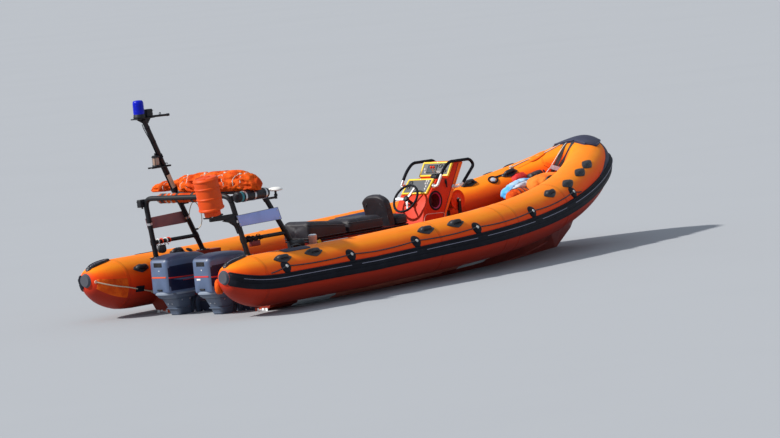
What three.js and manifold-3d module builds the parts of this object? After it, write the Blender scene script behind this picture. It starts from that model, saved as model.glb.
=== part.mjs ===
import * as THREE from 'three';
import { mergeVertices } from 'three/addons/utils/BufferGeometryUtils.js';
import Module from 'manifold-3d';

const wasm = await Module();
wasm.setup();

// Inshore rescue boat, a rigid inflatable afloat. Millimetres.
// x runs forward, y to port, z up from the waterline.

// Driving dimensions
const beam = 2640;
const tubeRadius = 279;
const bowTubeRadius = 262;
const tubeAxisZ = 360;
const straightEndX = 2548;
const bowAxisX = 6050;
const planExponent = 1.5;
const seamGap = 0.3;
const deckZ = 120;
const keelDraft = 400;
const transomX = -120;
const transomTopZ = 105;
const hullAftX = -230;
const engineY = 320;
const tiltAxisX = -140;
const tiltAxisZ = 150;
const steerAxisX = -250;
const propellerZ = -600;

const tubeAxisY = beam / 2 - tubeRadius;
const bowTubeStartX = 4500;
const coneStartX = -450;

const group = new THREE.Group();

// Materials: colour, roughness and metalness of each finish
const finishes = {
  tube: { color: 0xf5790c, roughness: 0.55, metalness: 0 },
  hull: { color: 0xc4260c, roughness: 0.35, metalness: 0 },
  black: { color: 0x15161a, roughness: 0.6, metalness: 0 },
  engine: { color: 0x2b3550, roughness: 0.3, metalness: 0.3 },
  metal: { color: 0xb5b8bb, roughness: 0.35, metalness: 1 },
  frame: { color: 0x101114, roughness: 0.45, metalness: 0.2 },
  yellow: { color: 0xf2c512, roughness: 0.45, metalness: 0 },
  panel: { color: 0x4a4e55, roughness: 0.5, metalness: 0 },
  seat: { color: 0x2a2a30, roughness: 0.65, metalness: 0 },
  bag: { color: 0xf06a1a, roughness: 0.8, metalness: 0 },
  red: { color: 0xc01810, roughness: 0.45, metalness: 0 },
  plate: { color: 0xb9b8c4, roughness: 0.5, metalness: 0 },
  blueLamp: { color: 0x0a1ec8, roughness: 0.15, metalness: 0 },
  white: { color: 0xe8e8e6, roughness: 0.4, metalness: 0 },
  rope: { color: 0x1b1b1d, roughness: 0.9, metalness: 0 },
};

function addPart(name, shape, finish, place = {}) {
  const geometry = shape.isBufferGeometry ? shape : toGeometry(shape);
  const mesh = new THREE.Mesh(geometry, new THREE.MeshStandardMaterial(finishes[finish]));
  mesh.name = name;
  mesh.position.set(place.x ?? 0, place.y ?? 0, place.z ?? 0);
  group.add(mesh);
  return mesh;
}

// Boolean helpers
function toSolid(geometry) {
  const bare = new THREE.BufferGeometry();
  bare.setAttribute('position', geometry.getAttribute('position').clone());
  if (geometry.index) {
    bare.setIndex(geometry.index.clone());
  }
  const merged = mergeVertices(bare, 1e-3);
  const vertProperties = new Float32Array(merged.getAttribute('position').array);
  const triVerts = new Uint32Array(merged.index.array);
  return new wasm.Manifold(new wasm.Mesh({ numProp: 3, vertProperties, triVerts }));
}

function toGeometry(solid) {
  const mesh = solid.getMesh();
  const geometry = new THREE.BufferGeometry();
  geometry.setAttribute('position', new THREE.BufferAttribute(mesh.vertProperties, 3));
  geometry.setIndex(new THREE.BufferAttribute(mesh.triVerts, 1));
  return geometry;
}

function joinAll(geometries) {
  return geometries.map((g) => (g.isBufferGeometry ? toSolid(g) : g)).reduce((a, b) => a.add(b));
}

// Shape helpers
function v(x, y, z) {
  return new THREE.Vector3(x, y, z);
}

// Closed body through a row of rings, each a list of the same number of points.
// A band's ring runs out along one edge and back along the other, so its ends are strips.
function loft(rings, band = false) {
  const size = rings[0].length;
  const positions = [];
  const index = [];
  for (const ring of rings) {
    for (const point of ring) {
      positions.push(point.x, point.y, point.z);
    }
  }
  for (let i = 0; i + 1 < rings.length; i += 1) {
    for (let j = 0; j < size; j += 1) {
      const a = i * size + j;
      const b = i * size + ((j + 1) % size);
      index.push(a, b, b + size, a, b + size, a + size);
    }
  }
  for (const [first, flip] of [[0, true], [(rings.length - 1) * size, false]]) {
    const cap = band ? stripCap(first, size) : hubCap(rings[first / size], first, positions);
    for (const [a, b, c] of cap) {
      index.push(...(flip ? [a, c, b] : [a, b, c]));
    }
  }
  const geometry = new THREE.BufferGeometry();
  geometry.setAttribute('position', new THREE.Float32BufferAttribute(positions, 3));
  geometry.setIndex(index);
  return outward(geometry);
}

// End cap as a fan round the ring's middle
function hubCap(ring, first, positions) {
  const centre = new THREE.Vector3();
  for (const point of ring) {
    centre.add(point);
  }
  centre.divideScalar(ring.length);
  const hub = positions.length / 3;
  positions.push(centre.x, centre.y, centre.z);
  return ring.map((_, j) => [hub, first + j, first + ((j + 1) % ring.length)]);
}

// End cap as a strip between a band's two edges
function stripCap(first, size) {
  const faces = [];
  for (let j = 0; j + 1 < size / 2; j += 1) {
    const [a, b, c, d] = [j, j + 1, size - 2 - j, size - 1 - j].map((k) => first + k);
    faces.push([a, b, c], [a, c, d]);
  }
  return faces;
}

// Turns a closed body's faces out if its volume comes out negative
function outward(geometry) {
  const p = geometry.getAttribute('position');
  const index = geometry.index.array;
  let volume = 0;
  for (let i = 0; i < index.length; i += 3) {
    const [a, b, c] = [0, 1, 2].map((k) => new THREE.Vector3().fromBufferAttribute(p, index[i + k]));
    volume += a.dot(b.cross(c));
  }
  if (volume < 0) {
    for (let i = 0; i < index.length; i += 3) {
      [index[i], index[i + 1]] = [index[i + 1], index[i]];
    }
  }
  return geometry;
}

function box(x0, x1, y0, y1, z0, z1) {
  const geometry = new THREE.BoxGeometry(x1 - x0, y1 - y0, z1 - z0);
  return geometry.translate((x0 + x1) / 2, (y0 + y1) / 2, (z0 + z1) / 2);
}

// Cylinder between two points
function rod(from, to, radius, sides = 16, radiusTo = radius) {
  const length = from.distanceTo(to);
  const geometry = new THREE.CylinderGeometry(radiusTo, radius, length, sides);
  const turn = new THREE.Quaternion().setFromUnitVectors(v(0, 1, 0), to.clone().sub(from).normalize());
  geometry.applyQuaternion(turn);
  const mid = from.clone().add(to).multiplyScalar(0.5);
  return geometry.translate(mid.x, mid.y, mid.z);
}

// A path of straight runs with rounded corners, stepped only where it bends
class BentPath extends THREE.Curve {
  constructor(corners, bend, stepsPerBend = 4) {
    super();
    this.points = [corners[0]];
    for (let i = 1; i + 1 < corners.length; i += 1) {
      const back = corners[i - 1].clone().sub(corners[i]);
      const ahead = corners[i + 1].clone().sub(corners[i]);
      const reach = Math.min(bend, back.length() * 0.49, ahead.length() * 0.49);
      const start = corners[i].clone().add(back.setLength(reach));
      const end = corners[i].clone().add(ahead.setLength(reach));
      const arc = new THREE.QuadraticBezierCurve3(start, corners[i], end);
      this.points.push(...arc.getPoints(stepsPerBend));
    }
    this.points.push(corners[corners.length - 1]);
    this.steps = this.points.length - 1;
  }

  getPoint(t) {
    const place = THREE.MathUtils.clamp(t, 0, 1) * this.steps;
    const i = Math.min(Math.floor(place), this.steps - 1);
    return this.points[i].clone().lerp(this.points[i + 1], place - i);
  }

  getTangent(t) {
    const i = Math.round(t * this.steps);
    const here = this.points[i];
    const before = this.points[Math.max(i - 1, 0)];
    const after = this.points[Math.min(i + 1, this.steps)];
    const inward = here.clone().sub(before).normalize();
    return inward.add(after.clone().sub(here).normalize()).normalize();
  }

  getPointAt(u) {
    return this.getPoint(u);
  }

  getTangentAt(u) {
    return this.getTangent(u);
  }
}

function circle(radius, sides) {
  const shape = new THREE.Shape();
  for (let i = 0; i < sides; i += 1) {
    const a = (2 * Math.PI * i) / sides;
    shape[i ? 'lineTo' : 'moveTo'](radius * Math.cos(a), radius * Math.sin(a));
  }
  return shape;
}

function pipe(corners, radius, sides = 12, bend = 90, stepsPerBend = 4) {
  const extrudePath = new BentPath(corners, bend, stepsPerBend);
  return new THREE.ExtrudeGeometry(circle(radius, sides), { steps: extrudePath.steps, extrudePath });
}

// Outline in x and z, extruded across the boat from y0 to y1
function sidePlate(outline, y0, y1) {
  const shape = new THREE.Shape(outline.map(([x, z]) => new THREE.Vector2(x, z)));
  const geometry = new THREE.ExtrudeGeometry(shape, { depth: y1 - y0, bevelEnabled: false, steps: 1 });
  geometry.rotateX(Math.PI / 2);
  return geometry.translate(0, y1, 0);
}

// Rounded rectangle ring in a y-z plane at x, with separate top and bottom corner radii
function crossRing(x, halfWidth, low, high, topRadius, bottomRadius, steps = 3) {
  const corners = [
    [halfWidth - bottomRadius, low + bottomRadius, bottomRadius, -90],
    [halfWidth - topRadius, high - topRadius, topRadius, 0],
    [-halfWidth + topRadius, high - topRadius, topRadius, 90],
    [-halfWidth + bottomRadius, low + bottomRadius, bottomRadius, 180],
  ];
  const ring = [];
  for (const [y, z, radius, from] of corners) {
    for (let i = 0; i <= steps; i += 1) {
      const a = THREE.MathUtils.degToRad(from + (90 * i) / steps);
      ring.push(v(x, y + radius * Math.cos(a), z + radius * Math.sin(a)));
    }
  }
  return ring;
}

// Rounded rectangle ring in an x-y plane at z
function planRing(z, x0, x1, halfWidth, radius, steps = 3) {
  const middle = (x0 + x1) / 2;
  const halfLength = (x1 - x0) / 2;
  const ring = crossRing(0, halfWidth, -halfLength, halfLength, radius, radius, steps);
  return ring.map((p) => v(middle + p.z, p.y, z));
}

// Collar: plan curve, sheer and radius
function sheer(x) {
  const q = THREE.MathUtils.clamp((x - 1000) / 5050, 0, 1);
  return 138 * q - 84 * q ** 2 + 518 * q ** 4;
}

function collarRadius(x) {
  const q = THREE.MathUtils.clamp((x - 3500) / (bowAxisX - 3500), 0, 1);
  return tubeRadius + (bowTubeRadius - tubeRadius) * q ** 2;
}

function collarY(x) {
  const q = THREE.MathUtils.clamp((x - straightEndX) / (bowAxisX - straightEndX), 0, 1);
  return tubeAxisY * (1 - q ** planExponent) ** (1 / planExponent);
}

function collarZ(x) {
  return tubeAxisZ + sheer(x);
}

// Station on the collar's axis, with its unit vectors: along, outboard and up
function station(centre, along, radius) {
  const out = v(-along.y, along.x, 0).normalize();
  return { centre, along, out, up: along.clone().cross(out), radius };
}

function sidePoint(x, radius = tubeRadius, lift = 0) {
  return station(v(x, tubeAxisY, collarZ(x) + lift), v(1, 0, 0), radius);
}

function bowAxis(angle) {
  const s = Math.abs(Math.sin(angle)) ** (2 / planExponent);
  const c = Math.abs(Math.cos(angle)) ** (2 / planExponent) * Math.sign(Math.cos(angle));
  const x = straightEndX + (bowAxisX - straightEndX) * s;
  return v(x, tubeAxisY * c, collarZ(x));
}

function bowPoint(angle) {
  const centre = bowAxis(angle);
  const along = bowAxis(angle + 0.02).sub(bowAxis(angle - 0.02)).normalize();
  return station(centre, along, collarRadius(centre.x));
}

const bowStartShare = (bowTubeStartX - straightEndX) / (bowAxisX - straightEndX);
const bowStartAngle = Math.asin(bowStartShare ** (planExponent / 2));

// Cone rings: x, radius and lift of the centre above the collar's axis
const coneRings = [
  [-1050, 78, 95],
  [-1030, 112, 84],
  [-980, 158, 66],
  [-900, 205, 44],
  [-780, 246, 22],
  [-620, 272, 6],
  [coneStartX, tubeRadius, 0],
];

const straightRings = [1000, 1700, straightEndX];
const quarterSteps = 7;
const bowSteps = 7;

function sideStations() {
  const list = coneRings.map(([x, radius, lift]) => sidePoint(x, radius, lift));
  list.push(...straightRings.map((x) => sidePoint(x)));
  for (let i = 1; i <= quarterSteps; i += 1) {
    list.push(bowPoint((bowStartAngle * i) / quarterSteps));
  }
  return list;
}

// Port half of the bow, from the seam to the stem
function bowStations() {
  const list = [];
  for (let i = 0; i <= bowSteps; i += 1) {
    list.push(bowPoint(bowStartAngle + ((Math.PI / 2 - bowStartAngle) * i) / bowSteps));
  }
  return list;
}

function tubeRing(s, radius, sides = 24) {
  const ring = [];
  for (let i = 0; i < sides; i += 1) {
    const a = (2 * Math.PI * i) / sides;
    const side = s.out.clone().multiplyScalar(radius * Math.cos(a));
    ring.push(s.centre.clone().add(side).add(s.up.clone().multiplyScalar(radius * Math.sin(a))));
  }
  return ring;
}

function tubeBody(stations, grow = 0) {
  return loft(stations.map((s) => tubeRing(s, s.radius + grow)));
}

// Body whose port half runs to the centre plane, where both halves meet in a mitre
function bowBody(rings, band = false) {
  const half = loft(rings.map((ring) => ring.map((p) => v(p.x, Math.max(p.y, 0), p.z))), band);
  return joinAll([half, mirrored(half)]);
}

function bowTube(stations, grow = 0) {
  return bowBody(stations.map((s) => tubeRing(s, s.radius + grow)));
}

const sideRow = sideStations();
const bowRow = bowStations();

// The same row with an end drawn back by half the seam's gap
function shortened(stations, atStart, atEnd) {
  const row = stations.map((s) => ({ ...s, centre: s.centre.clone() }));
  if (atStart) {
    row[0].centre.addScaledVector(row[0].along, seamGap / 2);
  }
  if (atEnd) {
    const last = row[row.length - 1];
    last.centre.addScaledVector(last.along, -seamGap / 2);
  }
  return row;
}

const mirrorY = new THREE.Matrix4().makeScale(1, -1, 1);

function mirrored(geometry) {
  const copy = geometry.clone().applyMatrix4(mirrorY);
  return outward(copy.index ? copy : mergeVertices(stripped(copy), 1e-3));
}

function stripped(geometry) {
  geometry.deleteAttribute('normal');
  geometry.deleteAttribute('uv');
  return geometry;
}

// Point on the collar: x along it, angle up from straight outboard, height off its skin
function onCollar(x, angleDeg, off = 0) {
  const q = THREE.MathUtils.clamp((x - straightEndX) / (bowAxisX - straightEndX), 0, 1);
  const step = 4;
  const here = v(x, collarY(x), collarZ(x));
  const ahead = v(x + step, collarY(x + step), collarZ(x + step));
  const along = q > 0 ? ahead.sub(here).normalize() : v(1, 0, 0);
  const out = v(-along.y, along.x, 0).normalize();
  const up = along.clone().cross(out);
  const a = THREE.MathUtils.degToRad(angleDeg);
  const normal = out.multiplyScalar(Math.cos(a)).add(up.multiplyScalar(Math.sin(a)));
  const point = here.add(normal.clone().multiplyScalar(collarRadius(x) + off));
  return { point, normal, along };
}

// Handles on the collar: x and angle up from straight outboard
const handles = [
  [-870, 94], [-340, 48], [145, 50], [1930, 49], [2415, 49], [4290, 50], [4750, 50], [5145, 54], [5405, 56],
];
const handleLength = 190;
const handleRise = 46;
const handleGrip = 13;

function frameAt(spot) {
  const across = spot.normal.clone().cross(spot.along);
  return new THREE.Matrix4().makeBasis(spot.along, across, spot.normal).setPosition(spot.point);
}

function handle(x, angleDeg) {
  const spot = x < coneStartX ? onCone(x, angleDeg) : onCollar(x, angleDeg);
  const half = handleLength / 2;
  const grip = pipe([v(-half, 0, -8), v(-half * 0.62, 0, handleRise), v(half * 0.62, 0, handleRise),
    v(half, 0, -8)], handleGrip, 6, 30, 1);
  return grip.applyMatrix4(frameAt(spot));
}

function onCone(x, angleDeg) {
  const i = coneRings.findIndex((row) => row[0] > x);
  const [[x0, r0, l0], [x1, r1, l1]] = [coneRings[i - 1], coneRings[i]];
  const t = (x - x0) / (x1 - x0);
  const radius = r0 + (r1 - r0) * t;
  const lift = l0 + (l1 - l0) * t;
  const a = THREE.MathUtils.degToRad(angleDeg);
  const slope = (r1 - r0) / (x1 - x0) + ((l1 - l0) / (x1 - x0)) * Math.sin(a);
  const radial = v(0, Math.cos(a), Math.sin(a));
  const along = v(1, 0, 0).addScaledVector(radial, slope).normalize();
  const normal = v(-slope, Math.cos(a), Math.sin(a)).normalize();
  return { point: v(x, tubeAxisY, tubeAxisZ + lift).addScaledVector(radial, radius), normal, along };
}

const tubeSide = joinAll([tubeBody(shortened(sideRow, false, true)),
  ...handles.filter(([x]) => x < bowTubeStartX - 100).map(([x, a]) => handle(x, a))]);
addPart('tube_port', tubeSide, 'tube');
addPart('tube_starboard', mirrored(toGeometry(tubeSide)), 'tube');

const bowHandles = handles.filter(([x]) => x > bowTubeStartX).map(([x, a]) => handle(x, a));
addPart('tube_bow', joinAll([bowTube(shortened(bowRow, true, false)), ...bowHandles,
  ...bowHandles.map(mirrored)]), 'tube');

// Clearance round the whole collar, for what is cut to seat on it
const sideClearance = tubeBody(sideRow, seamGap);
const collarClearance = joinAll([sideClearance, mirrored(sideClearance), bowTube(bowRow, seamGap)]);

// Rubber end caps of the cones
const capLength = 26;
const [tipX, tipRadius, tipLift] = coneRings[0];
for (const [name, side] of [['port', 1], ['starboard', -1]]) {
  const z = tubeAxisZ + tipLift;
  addPart(`cone_cap_${name}`, rod(v(tipX - seamGap - capLength, side * tubeAxisY, z),
    v(tipX - seamGap, side * tubeAxisY, z), 62, 20, tipRadius), 'black');
}

// Rubbing strake: half height, thickness and drop below the collar's axis
const strakeHalf = 75;
const strakeThick = 24;
const strakeDrop = 13;
const strakeStartX = -1040;

function strakeRing(s) {
  const centre = -Math.asin(strakeDrop / s.radius);
  const spread = strakeHalf / s.radius;
  const columns = [[-1, 1], [-0.82, strakeThick], [-0.18, strakeThick], [0, strakeThick + 9],
    [0.18, strakeThick], [0.82, strakeThick], [1, 1], [0.5, 0], [0, 0], [-0.5, 0]];
  return columns.map(([share, height]) => {
    const a = centre + spread * share;
    const r = s.radius + seamGap + Math.max(height, 0);
    return s.centre.clone().addScaledVector(s.out, r * Math.cos(a)).addScaledVector(s.up, r * Math.sin(a));
  });
}

const strakeRow = shortened(sideRow, false, true).filter((s) => s.centre.x >= strakeStartX);
const strakeSide = toSolid(loft(strakeRow.map(strakeRing))).subtract(collarClearance);
addPart('strake_port', strakeSide, 'black');
addPart('strake_starboard', mirrored(toGeometry(strakeSide)), 'black');
const bowSeamRow = shortened(bowRow, true, false);
addPart('strake_bow', bowBody(bowSeamRow.map(strakeRing)).subtract(collarClearance), 'black');

// Hull stations: x, keel height, chine half breadth, chine height
const hullStations = [
  [hullAftX, -keelDraft, 850, 30],
  [1800, -keelDraft, 850, 45],
  [2600, -keelDraft, 840, 75],
  [3400, -375, 780, 118],
  [4200, -310, 640, 175],
  [4900, -185, 440, 250],
  [5400, -20, 250, 345],
  [5700, 190, 120, 450],
  [5860, 400, 45, 560],
];
const cockpitEndX = 5050;
const coamingDrop = 60;

function obliquity(x) {
  const slope = (collarY(x + 5) - collarY(x - 5)) / 10;
  return Math.sqrt(1 + slope * slope);
}

function mirrorRing(half) {
  return [...half, ...half.slice(1, -1).reverse().map((p) => v(p.x, -p.y, p.z))];
}

function hullRing([x, keel, chineY, chineZ]) {
  const k = obliquity(x);
  const y = collarY(x);
  const z = collarZ(x);
  const flareY = Math.max(y - 100 * k, chineY + 10);
  const topY = Math.max(y - 190 * k, 20);
  return mirrorRing([v(x, 0, keel), v(x, chineY - 50, chineZ - 12), v(x, chineY, chineZ),
    v(x, flareY, z - 200), v(x, topY, z - coamingDrop), v(x, 0, z - coamingDrop)]);
}

function cockpitRing(x) {
  const k = obliquity(x);
  const y = collarY(x);
  return [v(x, y - 330 * k, deckZ), v(x, y - 306 * k, collarZ(x) + 300),
    v(x, 306 * k - y, collarZ(x) + 300), v(x, 330 * k - y, deckZ)];
}

const wellHalf = 640;
const wellEndX = 420;
const wellFloorZ = 20;
const transomThick = 40;
const podEndX = 640;
const podTopZ = 600;
const cockpit = loft([transomX + transomThick, straightEndX, 3400, 4200, cockpitEndX].map(cockpitRing));
const engineWell = box(hullAftX - 10, transomX, -wellHalf, wellHalf, -900, 900);
const splashWell = box(transomX + transomThick, wellEndX, -wellHalf + 40, wellHalf - 40, wellFloorZ, 900);
const transomNotch = box(transomX - 1, transomX + transomThick + 1, -wellHalf, wellHalf, transomTopZ, 900);
const podOuterY = 745;
const podOutline = [[hullAftX + 5, deckZ - 20], [-300, podTopZ - 60], [-345, podTopZ], [podEndX, podTopZ],
  [podEndX, deckZ - 20]];
const pods = [1, -1].map((side) => {
  const inner = side * wellHalf;
  const outer = side * podOuterY;
  return sidePlate(podOutline, Math.min(inner, outer), Math.max(inner, outer));
});
const hull = [cockpit, engineWell, splashWell, transomNotch].reduce(
  (solid, tool) => solid.subtract(toSolid(tool)), toSolid(loft(hullStations.map(hullRing))));
const hatchRise = 8;
const hatch = box(4040, 4400, -190, 190, deckZ - 5, deckZ + hatchRise);
const hullSolid = [...pods, hatch].reduce((solid, extra) => solid.add(toSolid(extra)), hull)
  .subtract(collarClearance);
addPart('hull', hullSolid, 'hull');

// Board that the engines clamp to
const boardThick = 30;
const boardAftX = transomX - seamGap - boardThick;
addPart('transom_board', box(boardAftX, transomX - seamGap, -560, 560, -180, transomTopZ), 'frame');

// Bow fender pad on top of the collar at the stem; its columns match the collar's facets
const padThick = 30;
const padColumns = [60, 75, 90, 105];
const padGap = 0.8;
const padSteps = 3;

function padRing(s) {
  const arc = (r) => padColumns.map((deg) => {
    const a = THREE.MathUtils.degToRad(deg);
    return s.centre.clone().addScaledVector(s.out, r * Math.cos(a)).addScaledVector(s.up, r * Math.sin(a));
  });
  return [...arc(s.radius + padGap), ...arc(s.radius + padThick).reverse()];
}

addPart('bow_pad', bowBody(bowRow.slice(bowSteps - padSteps).map(padRing), true), 'black');

// Lifeline: rope through round patches along the collar's shoulder
const lifelineAngle = 26;
const ropeRadius = 6;
const patchRadius = 56;
const patchThick = 16;
const patchStations = [-367, 640, 1680, 2665, 3730, 4695];

function lifeline() {
  const rope = patchStations.map((x) => onCollar(x, lifelineAngle, patchThick).point);
  const row = [];
  for (let i = 0; i < rope.length; i += 1) {
    row.push(rope[i]);
    if (i + 1 < rope.length) {
      const x = (patchStations[i] + patchStations[i + 1]) / 2;
      row.push(onCollar(x, lifelineAngle - 6, patchThick - 4).point);
    }
  }
  const line = pipe(row, ropeRadius, 6, 120, 1);
  const patches = patchStations.map((x) => {
    const spot = onCollar(x, lifelineAngle);
    return rod(spot.point.clone().addScaledVector(spot.normal, -20),
      spot.point.clone().addScaledVector(spot.normal, patchThick), patchRadius, 12, patchRadius - 12);
  });
  return joinAll([line, ...patches]).subtract(collarClearance);
}

const lifelineSide = lifeline();
addPart('lifeline_port', lifelineSide, 'rope');
addPart('lifeline_starboard', mirrored(toGeometry(lifelineSide)), 'rope');

// Console, raked forward: side outline in x and z
const consoleHalf = 220;
const consoleOutline = [
  [2860, deckZ + seamGap], [3020, 700], [3127, 860], [3285, 1022], [3478, 1022], [3588, 1180],
  [3741, 1183], [3373, 618], [3150, deckZ + seamGap],
];
const recess = rod(v(3223, -consoleHalf - 5, 788), v(3223, -consoleHalf + 120, 788), 95, 24);
const consoleSolid = toSolid(sidePlate(consoleOutline, -consoleHalf, consoleHalf)).subtract(toSolid(recess));
addPart('console', consoleSolid, 'red');

// A panel on a sloping face of the console, standing proud of it
const panelRecessFloor = 18;

function slopePanel(low, high, halfWidth, thick, inset) {
  const along = v(high[0] - low[0], 0, high[1] - low[1]);
  const length = along.length();
  along.normalize();
  const normal = v(-along.z, 0, along.x);
  const across = normal.clone().cross(along);
  const basis = new THREE.Matrix4().makeBasis(along, across, normal);
  basis.setPosition(low[0], 0, low[1]);
  const frame = toSolid(box(inset, length - inset, -halfWidth, halfWidth, seamGap, seamGap + thick));
  const face = toSolid(box(inset + 22, length - inset - 22, -halfWidth + 22, halfWidth - 22,
    panelRecessFloor, thick + 9));
  return toGeometry(frame.subtract(face)).applyMatrix4(basis);
}

addPart('panel_upper', slopePanel([3478, 1022], [3588, 1180], 218, 24, 4), 'yellow');
addPart('panel_lower', slopePanel([3127, 860], [3285, 1022], 190, 24, 6), 'yellow');

// Grab rails beside the console: corners in x and z
const railY = 275;
const railRadius = 15;
const railCorners = [[3215, 950], [3330, 1110], [3440, 1196], [3790, 1190], [3850, 1120], [3625, 925],
  [3538, 905]];
for (const [name, side] of [['port', 1], ['starboard', -1]]) {
  const y = side * railY;
  const foot = side * (consoleHalf + seamGap);
  const [first, last] = [railCorners[0], railCorners[railCorners.length - 1]];
  const corners = [v(first[0], foot, first[1]), ...railCorners.map(([x, z]) => v(x, y, z)),
    v(last[0], foot, last[1])];
  addPart(`grab_rail_${name}`, pipe(corners, railRadius, 8, 60, 2), 'frame');
}

// Steering wheel on the console's lower face: rim, three spokes, hub and shaft
const wheelRadius = 165;
const wheelCentre = v(3073.5, 0, 780);
const wheelAxis = v(-160, 0, 107).normalize();
const wheelOff = 115;

function steeringWheel() {
  const rim = new THREE.TorusGeometry(wheelRadius, 14, 6, 20);
  const spokes = [90, 210, 330].map((deg) => {
    const a = THREE.MathUtils.degToRad(deg);
    return rod(v(0, 0, -4), v(wheelRadius * Math.cos(a), wheelRadius * Math.sin(a), 0), 8, 6);
  });
  const hub = rod(v(0, 0, -wheelOff + seamGap * 2), v(0, 0, 14), 30, 16);
  const solid = joinAll([rim, hub, ...spokes]);
  const turn = new THREE.Quaternion().setFromUnitVectors(v(0, 0, 1), wheelAxis);
  const geometry = toGeometry(solid).applyQuaternion(turn);
  const centre = wheelCentre.clone().addScaledVector(wheelAxis, wheelOff);
  return geometry.translate(centre.x, centre.y, centre.z);
}

addPart('steering_wheel', steeringWheel(), 'black');

// Twin throttle box beside the wheel
const throttle = joinAll([box(3290, 3400, -200, -110, 1022 + seamGap, 1075),
  rod(v(3345, -175, 1060), v(3290, -175, 1170), 9, 8), rod(v(3345, -135, 1060), v(3290, -135, 1170), 9, 8)]);
addPart('throttle', throttle, 'black');

// Seat pod and its cushions: name, x0, x1, low z, high z aft, high z forward
const seatHalf = 215;
const podTop = 590;
addPart('seat_pod', loft([planRing(deckZ + seamGap, 1330, 2760, 170, 60),
  planRing(podTop - 60, 1190, 2790, 190, 70), planRing(podTop, 1180, 2790, 205, 70)]), 'seat');
const cushions = [
  ['seat_cushion_aft', 1150, 1800, 800, 735],
  ['seat_cushion_mid', 1810, 2400, 745, 735],
  ['helm_seat', 2600, 2780, 705, 715],
];
for (const [name, x0, x1, aftZ, forwardZ] of cushions) {
  const low = podTop + seamGap;
  const rings = [
    crossRing(x0, seatHalf - 30, low, aftZ - 25, 50, 12),
    crossRing(x0 + 30, seatHalf, low, aftZ, 60, 12),
    crossRing(x1 - 30, seatHalf, low, forwardZ, 60, 12),
    crossRing(x1, seatHalf - 30, low, forwardZ - 25, 50, 12),
  ];
  addPart(name, loft(rings), 'seat');
}
addPart('backrest', sidePlate([[2500, podTop + seamGap], [2590, podTop + seamGap], [2530, 920], [2500, 945],
  [2450, 945], [2430, 915]], -170, 170), 'black');

// Rope reel ahead of the console, on its own stand
const reelX = 3760;
const reelZ = 735;
const reelHalf = 70;
const reelRadius = 115;
const reel = joinAll([rod(v(reelX, -reelHalf, reelZ), v(reelX, reelHalf, reelZ), 60, 16),
  rod(v(reelX, -reelHalf, reelZ), v(reelX, -reelHalf + 12, reelZ), reelRadius, 18),
  rod(v(reelX, reelHalf - 12, reelZ), v(reelX, reelHalf, reelZ), reelRadius, 18),
  rod(v(reelX, -reelHalf - 30, reelZ), v(reelX, reelHalf + 30, reelZ), 14, 12)]);
addPart('rope_reel', reel, 'red');
const standBore = rod(v(reelX, -200, reelZ), v(reelX, 200, reelZ), 14.8, 12);
const stand = joinAll([box(reelX - 60, reelX + 60, -120, 120, deckZ + seamGap, deckZ + 20),
  box(reelX - 40, reelX + 40, -98, -80, deckZ + 10, reelZ + 35),
  box(reelX - 40, reelX + 40, 80, 98, deckZ + 10, reelZ + 35)]);
addPart('reel_stand', stand.subtract(toSolid(standBore)), 'frame');

// Roll bar: feet on the pods, legs leaning aft, hoops across the top
const footY = 690;
const topY = 640;
const hoopRadius = 28;
const hoopTopZ = 1260;
const aftLeg = { footX: -305, topX: -440, bend: 110 };
const forwardLeg = { footX: 415, topX: 40, bend: 60 };

function hoop({ footX, topX, bend }, grow = 0) {
  const low = podTopZ - 30;
  const corners = [v(footX, footY, low), v(topX, topY, hoopTopZ), v(topX, -topY, hoopTopZ),
    v(footX, -footY, low)];
  const tube = pipe(corners, hoopRadius + grow, 12, bend, 3);
  const belowFeet = box(-1000, 1000, -1000, 1000, 0, podTopZ + seamGap);
  return toSolid(tube).subtract(toSolid(belowFeet));
}

function legPoint(leg, z, side) {
  const t = (z - podTopZ) / (hoopTopZ - podTopZ);
  return v(leg.footX + (leg.topX - leg.footX) * t, side * (footY + (topY - footY) * t), z);
}

// Fore-and-aft bars on each side, carried by the forward hoop
const barRadius = 21;
const lowBarZ = 775;
const topBarZ = 1225;
const bars = [];
for (const [z, side] of [[lowBarZ, 1], [lowBarZ, -1], [topBarZ, -1]]) {
  bars.push(rod(legPoint(aftLeg, z, side), legPoint(forwardLeg, z, side), barRadius, 10));
}
const barSet = joinAll(bars).subtract(hoop(aftLeg, seamGap));
const barPieces = barSet.decompose().filter((piece) => piece.boundingBox().max[0] > 0);
// The barrel's bracket: arm and gusset welded to the aft hoop's starboard leg
const armTopZ = 1068;
const arm = sidePlate([[-788, 1018], [-788, armTopZ], [-390, armTopZ], [-372, 880], [-430, 940],
  [-560, 1012]], -672, -642);
const barrelLean = THREE.MathUtils.degToRad(-9);
const barrelFoot = v(-735, -657, armTopZ + 14);
const seatPlate = box(-84, 84, -70, 70, -16, -seamGap).rotateY(barrelLean);
seatPlate.translate(barrelFoot.x, barrelFoot.y, barrelFoot.z);
addPart('aft_hoop', joinAll([hoop(aftLeg), arm, seatPlate]), 'frame');
addPart('forward_hoop', joinAll([hoop(forwardLeg), ...barPieces]), 'frame');

// Blank number boards against the outside of the legs, leaning in with them
const hoopRoom = joinAll([hoop(aftLeg, seamGap), hoop(forwardLeg, seamGap)]);
const boardOutline = [[-382, 0], [-418, 122], [223, 140], [258, 6]];
const boardLowZ = 922;
const boardLean = Math.atan((footY - topY) / (hoopTopZ - podTopZ));
for (const [name, side] of [['port', 1], ['starboard', -1]]) {
  const board = sidePlate(boardOutline, -3, 3).rotateX(side * boardLean);
  const middle = legPoint(aftLeg, boardLowZ, side);
  board.translate(0, middle.y + side * (hoopRadius + 2), boardLowZ);
  addPart(`number_board_${name}`, toSolid(board).subtract(hoopRoom), 'plate');
}

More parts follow.
